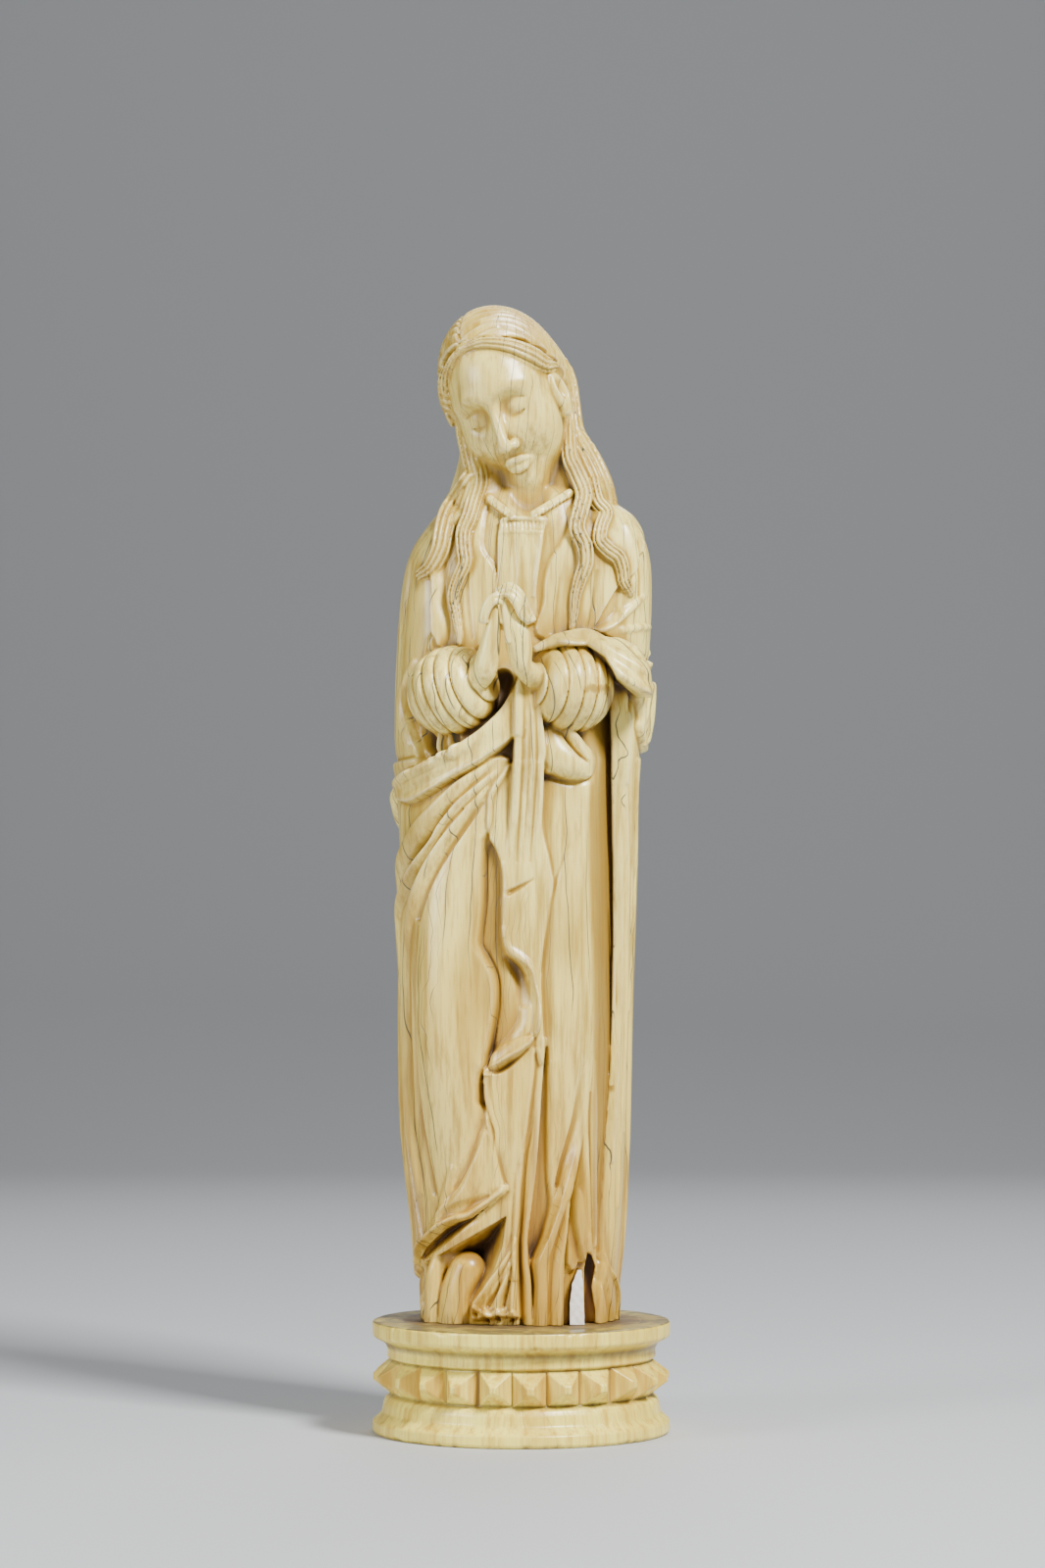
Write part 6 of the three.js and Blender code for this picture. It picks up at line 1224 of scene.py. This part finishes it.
def add_hollows(block, piece):
    """How deep each point lies in a groove or a hollow, for the patina that gathers there and the painted
    shade that darkens it
    """
    mesh = piece.data
    points = np.zeros(len(mesh.vertices) * 3, np.float32)
    mesh.vertices.foreach_get("co", points)
    points = points.reshape(-1, 3) / MM
    solid = np.clip(0.5 - block.field / (2 * block.cell), 0, 1)
    for name, size, stride, passes in RECESSES:
        spread = solid[::stride, ::stride, ::stride]
        reach = max(round(size / (stride * block.cell)), 1)
        for _ in range(passes):
            spread = box_blur(spread, reach)
        add_values(mesh, name, block.sample(spread, points, stride))
    if block.hair:
        head = points[:, 2] > 200
        x, y, z = points[head].T
        near = hair_cap(x, y, z)
        for path in block.hair:
            near = np.minimum(near, limb_distance((x, y, z), path))
        values = np.zeros(len(points), np.float32)
        values[head] = smoothstep(near, 0.9, 0.3)
        add_values(mesh, "hair", values)
        # Brown soil in the channel, and painted shade with soil in the deeper hollows of the skirt
        skirt = (points[:, 2] < 206) & (points[:, 1] < 3)
        values = np.zeros(len(points), np.float32)
        values[skirt] = soil_and_shade_at(*points[skirt].T)
        add_values(mesh, "soil_and_shade", values)


def soil_and_shade_at(x, y, z):
    """How far the brown soil of the channel, and soil with painted shade in the deeper hollows and under the
    hem, covers each point
    """
    start, edge, _ = channel_at(z)
    across = smoothstep((x - start) / (edge - start), -0.1, 0.6)
    across = across * (z > CHANNEL_BOTTOM - 2) * (z < CHANNEL_TOP + 4)
    in_channel = across * (np.abs(channel(x, y, z)) < 0.9) * (x < edge + 0.3)
    depth = y - front_of(x, z)
    lining = smoothstep(inset(HOLLOW, x, z), 0, 1.5) * smoothstep(depth, 0.4, 3) * smoothstep(z, 41, 47)
    return np.maximum(in_channel, 0.75 * np.maximum(smoothstep(depth, 1.2, 6), lining))


statue = mesh_of(figure, "carved_figure", FIGURE_TRIANGLES)

# The plinth, as rings of points round its turned profile with the pyramid studs standing out of it

PLINTH_PROFILE = [
    [0, 0], [38.9, 0], [39.7, 0.8], [39.6, 3.2], [38.4, 4.2], [37.2, 5.5], [36.8, 8], [36.2, 9.3],
    [34.8, 10.2], [34.6, 10.5], [34.6, 19.1], [34.9, 19.4], [35.9, 20.1], [35.7, 22], [36.3, 23.5],
    [37.5, 24.4], [39.2, 25.2], [39.7, 25.9], [39.7, 28.9], [39.3, 29.5], [0, 29.5],
]
BAND_BOTTOM = 10.2
BAND_TOP = 19.4
BAND_RADIUS = 34.6
RIM_RADIUS = 39
STUD_COUNT = 24
STUD_TURN = 3.5
STUD_ROOT = 33.1
STUD_REACH = 6.6
STUD_HALF = 5.57
STUD_TIP = 0.65
STUD_JOIN = 0.2
RING_STEP = 0.33
FLAT_STEP = 1.3
FLAT_RADIUS = 33
FLAT_THINNING = 4
PLINTH_COLUMNS = 720


def profile_rings():
    """Points along the profile at an even step, with its corners worn round, and fewer of them on
    the two flats"""
    corners = np.array(PLINTH_PROFILE, float)
    rings = [corners[0]]
    for a, b in zip(corners[:-1], corners[1:]):
        flat = abs(a[1] - b[1]) < 1e-6 and max(a[0], b[0]) - min(a[0], b[0]) > 20
        step = FLAT_STEP if flat else RING_STEP
        count = max(math.ceil(np.linalg.norm(b - a) / step), 1)
        rings += [lerp(a, b, (i + 1) / count) for i in range(count)]
    rings = np.array(rings)
    stain_and_shade = rings.copy()
    stain_and_shade[1:-1] = (rings[:-2] + 2 * rings[1:-1] + rings[2:]) / 4
    stain_and_shade[:, 1] = np.clip(stain_and_shade[:, 1], 0, PLINTH_TOP)
    stain_and_shade[rings[:, 1] == 0, 1] = 0
    spare = (rings[:, 0] < FLAT_RADIUS) & (np.arange(len(rings)) % FLAT_THINNING > 0)
    spare[[0, -1]] = False
    return stain_and_shade[~spare]


def stud_radius(angle, height, rng):
    """The radius of the stud band at each angle and height, with studs cut slightly unevenly"""
    pitch = 2 * math.pi / STUD_COUNT
    turned = angle - math.radians(STUD_TURN)
    number = np.round(turned / pitch).astype(int) % STUD_COUNT
    shift = rng.uniform(-0.012, 0.012, STUD_COUNT)[number]
    lift = rng.uniform(-0.3, 0.3, STUD_COUNT)[number]
    blunt = rng.uniform(0.0, 0.5, STUD_COUNT)[number]
    off = turned - np.round(turned / pitch) * pitch + shift
    slope = STUD_REACH / (STUD_HALF - STUD_TIP)
    level = np.abs(height - (BAND_BOTTOM + BAND_TOP) / 2 - lift)
    sides = (STUD_ROOT + slope * STUD_HALF) / (np.cos(off) + slope * np.abs(np.sin(off)))
    ends = (STUD_ROOT + slope * (STUD_HALF - level)) / np.cos(off)
    tip = (STUD_ROOT + STUD_REACH - blunt) / np.cos(off)
    stud = np.minimum(np.minimum(sides, ends), tip)
    radius = -join(-stud, -BAND_RADIUS * np.ones_like(off), STUD_JOIN)
    side_face = (sides < ends) & (sides < tip)
    seam = np.exp(-(((pitch / 2 - np.abs(off)) * BAND_RADIUS / 0.35) ** 2))
    return radius - 0.5 * seam, side_face, seam


def make_plinth():
    """The turned block with its studs, small dents, stains, and painted shade in its corners and seams"""
    rng = np.random.default_rng(7)
    rings = profile_rings()
    angles = np.arange(PLINTH_COLUMNS) * 2 * math.pi / PLINTH_COLUMNS
    angle, radius = np.meshgrid(angles, rings[:, 0])
    height = np.repeat(rings[:, 1:], PLINTH_COLUMNS, 1)
    banded = (height > BAND_BOTTOM) & (height < BAND_TOP) & (radius > 30)
    studs, side_face, seam = stud_radius(angle, height, rng)
    side = radius > 33
    shape = np.where(banded, np.maximum(radius, studs), radius)
    wander = 0.12 * np.sin(2 * angle + 0.7) + 0.05 * np.sin(7 * angle + height * 0.4)
    wander = wander + 0.04 * np.sin(17 * angle - height)
    shape = np.where(side, shape - 0.12 + wander * 0.6, shape)
    dents_and_foot = np.zeros_like(shape)
    # Small dents in the rims, each one darker at its middle
    for level, count in [(0.3, 16), (25.4, 9), (29.3, 12)]:
        for _ in range(count):
            turn = rng.uniform(0, 2 * math.pi)
            wide = rng.uniform(0.6, 1.7)
            along = ((angle - turn + math.pi) % (2 * math.pi) - math.pi) * RIM_RADIUS / wide
            gap = np.hypot(along, (height - level) / 0.8)
            dent = np.exp(-(gap**2)) * side
            shape = shape - rng.uniform(0.15, 0.5) * dent
            dents_and_foot = np.maximum(dents_and_foot, 0.5 * dent)
    top = (height > PLINTH_TOP - 0.01) & ~side
    left, right, front, back = OUTLINE[1][1:]
    x = shape * np.sin(angle)
    y = -shape * np.cos(angle)
    beside_foot = (x - (left + right) / 2) / (right - left)
    before_foot = (y - (front + back) / 2) / (back - front)
    from_foot = np.hypot(beside_foot, before_foot) * 2
    dip = 0.18 * np.abs(np.sin(x * 0.31 + 1.3) * np.sin(y * 0.23)) * (shape < 38)
    height = np.where(top, height - dip, height)
    # Painted shade with dirt: dark lines in the profile's concave corners and in the seams between the studs
    groove = np.zeros_like(shape)
    edges = [(BAND_BOTTOM, 0.9, 0.9), (BAND_TOP, 0.8, 0.9), (23.4, 1.6, 0.9), (5.2, 1.2, 0.45)]
    for level, wide, dark in edges:
        groove = np.maximum(groove, np.exp(-(((rings[:, 1:] - level) / wide) ** 2)) * side * dark)
    groove = np.maximum(groove, 0.95 * seam * banded)
    stain = np.where(banded & side_face, 0.75, 0.25 * banded)
    stain = np.maximum(stain, np.where(top, 1.0, 0.0))
    # Darker on the top round the figure's foot
    foot = np.where(top, np.clip(1.9 - from_foot, 0, 1), 0)
    count = len(rings)
    points = np.stack([x, y, height], -1).reshape(-1, 3)
    corner = np.arange((count - 1) * PLINTH_COLUMNS).reshape(count - 1, PLINTH_COLUMNS)
    beside = np.roll(corner, -1, 1)
    quads = np.stack([corner, beside, beside + PLINTH_COLUMNS, corner + PLINTH_COLUMNS], -1).reshape(-1, 4)
    mesh = bpy.data.meshes.new("turned_plinth")
    mesh.from_pydata((points * MM).tolist(), [], quads.tolist())
    mesh.validate()
    weld = bmesh.new()
    for name, values in [("groove", groove), ("hollow", stain), ("dents_and_foot", np.maximum(foot, dents_and_foot))]:
        add_values(mesh, name, values)
    weld.from_mesh(mesh)
    bmesh.ops.remove_doubles(weld, verts=weld.verts, dist=1e-6)
    bmesh.ops.recalc_face_normals(weld, faces=weld.faces)
    weld.to_mesh(mesh)
    weld.free()
    mesh.polygons.foreach_set("use_smooth", np.ones(len(mesh.polygons), bool))
    piece = bpy.data.objects.new("turned_plinth", mesh)
    bpy.context.scene.collection.objects.link(piece)
    return piece


plinth = make_plinth()

# The white filling, its own rough lump
lump = Block([10.5, -19, PLINTH_TOP - 1], [18.5, -10.5, 46], 0.14)
lump.work([12, -18, PLINTH_TOP], [17, -12, 44], filling, 0.4)
ripple = 0.07 * np.sin(lump.axes[0] * 2.7)[:, None, None] * np.sin(lump.axes[2] * 1.9 + 0.6)[None, None, :]
lump.field += ripple + 0.06
lump.field[...] = np.maximum(lump.field, PLINTH_TOP - lump.axes[2][None, None, :])
insert = mesh_of(lump, "white_filling", 20000)

# Material


class Nodes:
    """A material's nodes, added and joined in short calls"""

    def __init__(self, name):
        self.material = bpy.data.materials.new(name)
        self.material.use_nodes = True
        self.tree = self.material.node_tree
        self.shader = self.tree.nodes["Principled BSDF"]

    def add(self, kind, inputs=None, **settings):
        node = self.tree.nodes.new(kind)
        for key, value in settings.items():
            setattr(node, key, value)
        for key, value in (inputs or {}).items():
            self.put(node.inputs[key], value)
        return node

    def put(self, socket, value):
        if isinstance(value, bpy.types.NodeSocket):
            self.tree.links.new(value, socket)
        else:
            socket.default_value = value

    def ramp(self, value, low, high, bottom=0.0, top=1.0):
        inputs = {0: value, 1: low, 2: high, 3: bottom, 4: top}
        return self.add("ShaderNodeMapRange", inputs, interpolation_type="SMOOTHSTEP").outputs[0]

    def attribute(self, name):
        return self.add("ShaderNodeAttribute", attribute_name=name).outputs["Fac"]

    def math(self, operation, a, b=0.0):
        return self.add("ShaderNodeMath", {0: a, 1: b}, operation=operation).outputs[0]

    def mix(self, share, a, b, blend="MIX"):
        node = self.add("ShaderNodeMix", data_type="RGBA", blend_type=blend)
        self.put(node.inputs[0], share)
        self.put(node.inputs[6], a)
        self.put(node.inputs[7], b)
        return node.outputs[2]


FIGURE_CREAM = (0.95, 0.81, 0.25, 1)
FIGURE_OCHRE = (0.42, 0.26, 0.025, 1)
PLINTH_CREAM = (1.0, 0.85, 0.17, 1)
PLINTH_OCHRE = (0.58, 0.34, 0.025, 1)
# The darkest brown: painted shade in the deepest undercuts and corners, and the darkening of the plinth's
# dents and foot ring
DEEP = (0.075, 0.036, 0.01, 1)
# Brown for soil in the channel, and for painted shade with soil in the deeper hollows
SOIL_AND_SHADE = (0.4, 0.24, 0.03, 1)
# Tan for painted shade over the broad hollows, with their patina
HOLLOW_SHADE_TAN = (0.5, 0.32, 0.045, 1)
# Pale for rubbed wear and painted highlight on raised parts
RUBBED_EDGE_AND_HIGHLIGHT = (0.96, 0.87, 0.55, 1)
CRACK = (0.06, 0.065, 0.055, 1)
TOP_GRIME = (0.10, 0.075, 0.035, 1)
FOOT_YELLOW = (0.72, 0.5, 0.12, 1)
WHITE = (1, 1, 1, 1)
CHALK = (0.86, 0.83, 0.79, 1)
CHALK_SHADE = (0.66, 0.58, 0.5, 1)

# Sets of cracks: their number round the body, how they bend, where they show, width and shift
CRACKS = [
    (26.0, 12.0, 0.47, 0.53, 0.03, 11.0),
    (47.0, 16.0, 0.52, 0.58, 0.036, 23.0),
    (88.0, 26.0, 0.57, 0.62, 0.045, 37.0),
]


def ivory(name, base, ochre, stained_and_shaded=False):
    """Old ivory: creamy with ochre grain, brown in its recesses with patina and painted shade, and split by
    fine upright cracks
    """
    n = Nodes(name)
    place = n.add("ShaderNodeTexCoord").outputs["Object"]
    groove = n.attribute("groove")
    hollow = n.attribute("hollow")
    part = n.add("ShaderNodeSeparateXYZ", {0: place}).outputs

    def stretched(x, z, shift=0.0):
        inputs = {"Vector": place, "Location": (shift, shift, shift), "Scale": (x, x, z)}
        return n.add("ShaderNodeMapping", inputs).outputs[0]

    def noise(x, z, detail, shift=0.0, roughness=0.5):
        inputs = {"Vector": stretched(x, z, shift), "Scale": 1.0, "Detail": detail, "Roughness": roughness}
        return n.add("ShaderNodeTexNoise", inputs).outputs["Fac"]

    blotch = noise(55, 16, 4.0)
    streak = noise(420, 26, 5.0, 3.0, 0.62)
    grain = noise(1500, 90, 3.0, 5.0, 0.6)
    colour = n.mix(n.ramp(blotch, 0.42, 0.7, 0.0, 0.6), base, ochre)
    colour = n.mix(n.ramp(streak, 0.45, 0.68, 0.0, 0.7), colour, ochre)
    colour = n.mix(n.ramp(grain, 0.48, 0.72, 0.0, 0.4), colour, ochre)
    speck = n.math("MULTIPLY", n.math("SUBTRACT", streak, 0.5), 0.2)
    stain_and_shade = n.math("ADD", hollow, speck)
    tight = n.math("ADD", groove, speck)
    if stained_and_shaded:
        stained = n.math("MULTIPLY", n.ramp(stain_and_shade, 0.2, 1.0, 0.0, 1.0), n.ramp(streak, 0.35, 0.62, 0.35, 1.0))
        colour = n.mix(stained, colour, ochre)
        # Painted shade with dirt, darkest in the plinth's concave corners and stud seams
        colour = n.mix(n.ramp(tight, 0.3, 1.2, 0.0, 0.9), colour, DEEP)
    else:
        bowl = n.attribute("bowl")
        fine = n.attribute("line")
        hair = n.attribute("hair")
        colour = n.mix(n.math("MULTIPLY", hair, n.ramp(streak, 0.35, 0.65, 0.35, 0.75)), colour, ochre)
        colour = n.mix(n.ramp(part[2], 0.246, 0.262, 0.0, 0.22), colour, ochre)
        # Painted shade: a tan wash over the broad hollows, with their patina
        colour = n.mix(n.ramp(bowl, 0.47, 0.64, 0.0, 0.85), colour, HOLLOW_SHADE_TAN)
        # Ochre patina in the hollows, grooves and fine lines, partly painted shade
        colour = n.mix(n.ramp(stain_and_shade, 0.48, 0.65, 0.0, 0.85), colour, ochre)
        colour = n.mix(n.ramp(tight, 0.57, 0.73, 0.0, 0.8), colour, ochre)
        colour = n.mix(n.ramp(fine, 0.52, 0.64, 0.0, 0.85), colour, ochre)
        # Brown soil, and painted shade in the deeper hollows, darkest at the channel's core
        soil_and_shade = n.math("ADD", n.attribute("soil_and_shade"), n.math("MULTIPLY", speck, 0.6))
        colour = n.mix(n.ramp(soil_and_shade, 0.05, 0.6, 0.0, 0.8), colour, SOIL_AND_SHADE)
        colour = n.mix(n.ramp(soil_and_shade, 0.5, 1.0, 0.0, 0.25), colour, DEEP)
        # Painted shade: the darkest brown in the deepest grooves and undercuts, held back in the channel
        outside_channel = n.ramp(soil_and_shade, 0.76, 0.92, 1.0, 0.15)
        colour = n.mix(n.math("MULTIPLY", n.ramp(tight, 0.69, 0.9, 0.0, 0.85), outside_channel), colour, DEEP)
        colour = n.mix(n.math("MULTIPLY", n.ramp(stain_and_shade, 0.6, 0.76, 0.0, 0.95), outside_channel), colour, DEEP)
        # Painted highlight with rubbed wear: raised, open surfaces paler
        colour = n.mix(n.ramp(groove, 0.28, 0.46, 0.35, 0.0), colour, RUBBED_EDGE_AND_HIGHLIGHT)

    round_body = n.math("ARCTAN2", part[0], n.math("MULTIPLY", part[1], -1.0))
    lines = None
    for count, bend, low, high, width, shift in CRACKS:
        wander = n.math("SUBTRACT", noise(bend, bend * 1.4, 3.0, shift, 0.45), 0.5)
        drift = n.math("MULTIPLY", wander, count * 0.11)
        across = n.math("ADD", n.math("MULTIPLY", round_body, count / (2 * math.pi)), drift)
        wave = n.math("ABSOLUTE", n.math("SUBTRACT", n.math("FRACT", across), 0.5))
        present = n.ramp(noise(80, 9, 2.0, shift * 2), low, high)
        line = n.math("MULTIPLY", n.ramp(wave, width * 0.3, width, 1.0, 0.0), present)
        lines = line if lines is None else n.math("MAXIMUM", lines, line)
    colour = n.mix(n.math("MULTIPLY", lines, 0.12 if stained_and_shaded else 0.9), colour, CRACK)
    if stained_and_shaded:
        dents_and_foot = n.attribute("dents_and_foot")
        top = n.ramp(part[2], 0.0291, 0.02925)
        swirl = n.ramp(noise(150, 150, 5.0, 41.0, 0.65), 0.36, 0.6)
        colour = n.mix(n.math("MULTIPLY", top, n.ramp(swirl, 0.0, 1.0, 0.55, 0.93)), colour, TOP_GRIME)
        # Darker in the dents and round the figure's foot
        colour = n.mix(n.ramp(dents_and_foot, 0.1, 0.9, 0.0, 0.7), colour, DEEP)
    else:
        foot = n.math("MULTIPLY", n.ramp(part[2], 0.03, 0.2, 1.0, 0.0), n.ramp(blotch, 0.3, 0.6, 0.55, 1.0))
        colour = n.mix(foot, colour, n.mix(0.85, WHITE, FOOT_YELLOW), "MULTIPLY")
    n.put(n.shader.inputs["Base Color"], colour)
    n.shader.inputs["IOR"].default_value = 1.54
    n.shader.inputs["Subsurface Weight"].default_value = 0.1
    n.shader.inputs["Subsurface Radius"].default_value = (1.0, 0.6, 0.3)
    n.shader.inputs["Subsurface Scale"].default_value = 0.002
    gloss = n.ramp(stain_and_shade, 0.5, 0.8, 0.27, 0.6)
    n.put(n.shader.inputs["Roughness"], n.math("ADD", gloss, n.math("MULTIPLY", grain, 0.08)))
    rough = n.math("ADD", n.math("MULTIPLY", grain, 0.25), n.math("MULTIPLY", streak, 0.4))
    height = n.math("SUBTRACT", rough, lines)
    bump = n.add("ShaderNodeBump", {"Height": height, "Strength": 0.35, "Distance": 0.0002})
    n.put(n.shader.inputs["Normal"], bump.outputs[0])
    return n.material


def chalk(name):
    """The pale, dry filling"""
    n = Nodes(name)
    place = n.add("ShaderNodeTexCoord").outputs["Object"]
    spots = n.add("ShaderNodeTexNoise", {"Vector": place, "Scale": 700.0, "Detail": 4.0}).outputs["Fac"]
    n.put(n.shader.inputs["Base Color"], n.mix(n.ramp(spots, 0.35, 0.7, 0.0, 0.5), CHALK, CHALK_SHADE))
    n.shader.inputs["Roughness"].default_value = 0.85
    bump = n.add("ShaderNodeBump", {"Height": spots, "Strength": 0.4, "Distance": 0.0003})
    n.put(n.shader.inputs["Normal"], bump.outputs[0])
    return n.material


for piece, material, slot, node in [
    (statue, ivory("ivory", FIGURE_CREAM, FIGURE_OCHRE), "ivory_figure", "figure"),
    (plinth, ivory("plinth_ivory", PLINTH_CREAM, PLINTH_OCHRE, True), "ivory_plinth", "plinth"),
    (insert, chalk("filling"), "repair_filling", "repair_insert"),
]:
    piece.data.materials.clear()
    piece.data.materials.append(material)
    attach(piece, "root")
    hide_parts(node)

# Floor, light and camera


def area_light(name, location, size, power, colour, target=(0, 0, 0.17)):
    lamp = bpy.data.lights.new(name, "AREA")
    lamp.size = size
    lamp.energy = power
    lamp.color = colour
    holder = bpy.data.objects.new(name, lamp)
    holder.location = location
    holder.rotation_euler = (Vector(target) - Vector(location)).to_track_quat("-Z", "Y").to_euler()
    bpy.context.scene.collection.objects.link(holder)


area_light("key", (0.56, -0.7, 0.96), 0.26, 35, (1, 0.985, 0.95))
area_light("fill", (-0.85, -0.6, 0.45), 0.4, 9, (1, 0.99, 0.97))
area_light("back", (0.1, 0.9, 0.9), 0.6, 5, (1, 1, 1))

world = bpy.data.worlds.new("studio")
world.use_nodes = True
world.node_tree.nodes["Background"].inputs["Color"].default_value = (0.86, 0.87, 0.88, 1)
world.node_tree.nodes["Background"].inputs["Strength"].default_value = 0.055
bpy.context.scene.world = world

# The floor sweeps up behind the statuette in a smooth curve
FLOOR_HALF = 3.0
CURVE_START = 1.2
CURVE_RADIUS = 0.9
CURVE_STEPS = 24
WALL_TOP = 4.0
sweep = [(-FLOOR_HALF, 0.0), (CURVE_START, 0.0)]
for step in range(1, CURVE_STEPS + 1):
    turn = math.pi / 2 * step / CURVE_STEPS
    sweep.append((CURVE_START + CURVE_RADIUS * math.sin(turn), CURVE_RADIUS - CURVE_RADIUS * math.cos(turn)))
sweep.append((CURVE_START + CURVE_RADIUS, WALL_TOP))
floor_points = [(side, y, z) for y, z in sweep for side in (-FLOOR_HALF, FLOOR_HALF)]
floor_faces = [(2 * i, 2 * i + 1, 2 * i + 3, 2 * i + 2) for i in range(len(sweep) - 1)]
floor_mesh = bpy.data.meshes.new("floor")
floor_mesh.from_pydata(floor_points, [], floor_faces)
floor_mesh.polygons.foreach_set("use_smooth", [True] * len(floor_faces))
floor = bpy.data.objects.new("floor", floor_mesh)
bpy.context.scene.collection.objects.link(floor)
floor_nodes = Nodes("floor_paint")
floor_nodes.shader.inputs["Base Color"].default_value = (0.5, 0.52, 0.55, 1)
floor_nodes.shader.inputs["Roughness"].default_value = 0.7
floor_mesh.materials.append(floor_nodes.material)

CAMERA_PLACE = Vector((0.0003, -1.05, 0.128))
CAMERA_TARGET = Vector((0.0003, 0, 0.172))
camera = bpy.data.cameras.new("camera")
camera.sensor_fit = "VERTICAL"
camera.sensor_height = 36
camera.lens = 90.2
holder = bpy.data.objects.new("camera", camera)
holder.location = CAMERA_PLACE
holder.rotation_euler = (CAMERA_TARGET - CAMERA_PLACE).to_track_quat("-Z", "Y").to_euler()
bpy.context.scene.collection.objects.link(holder)
bpy.context.scene.camera = holder
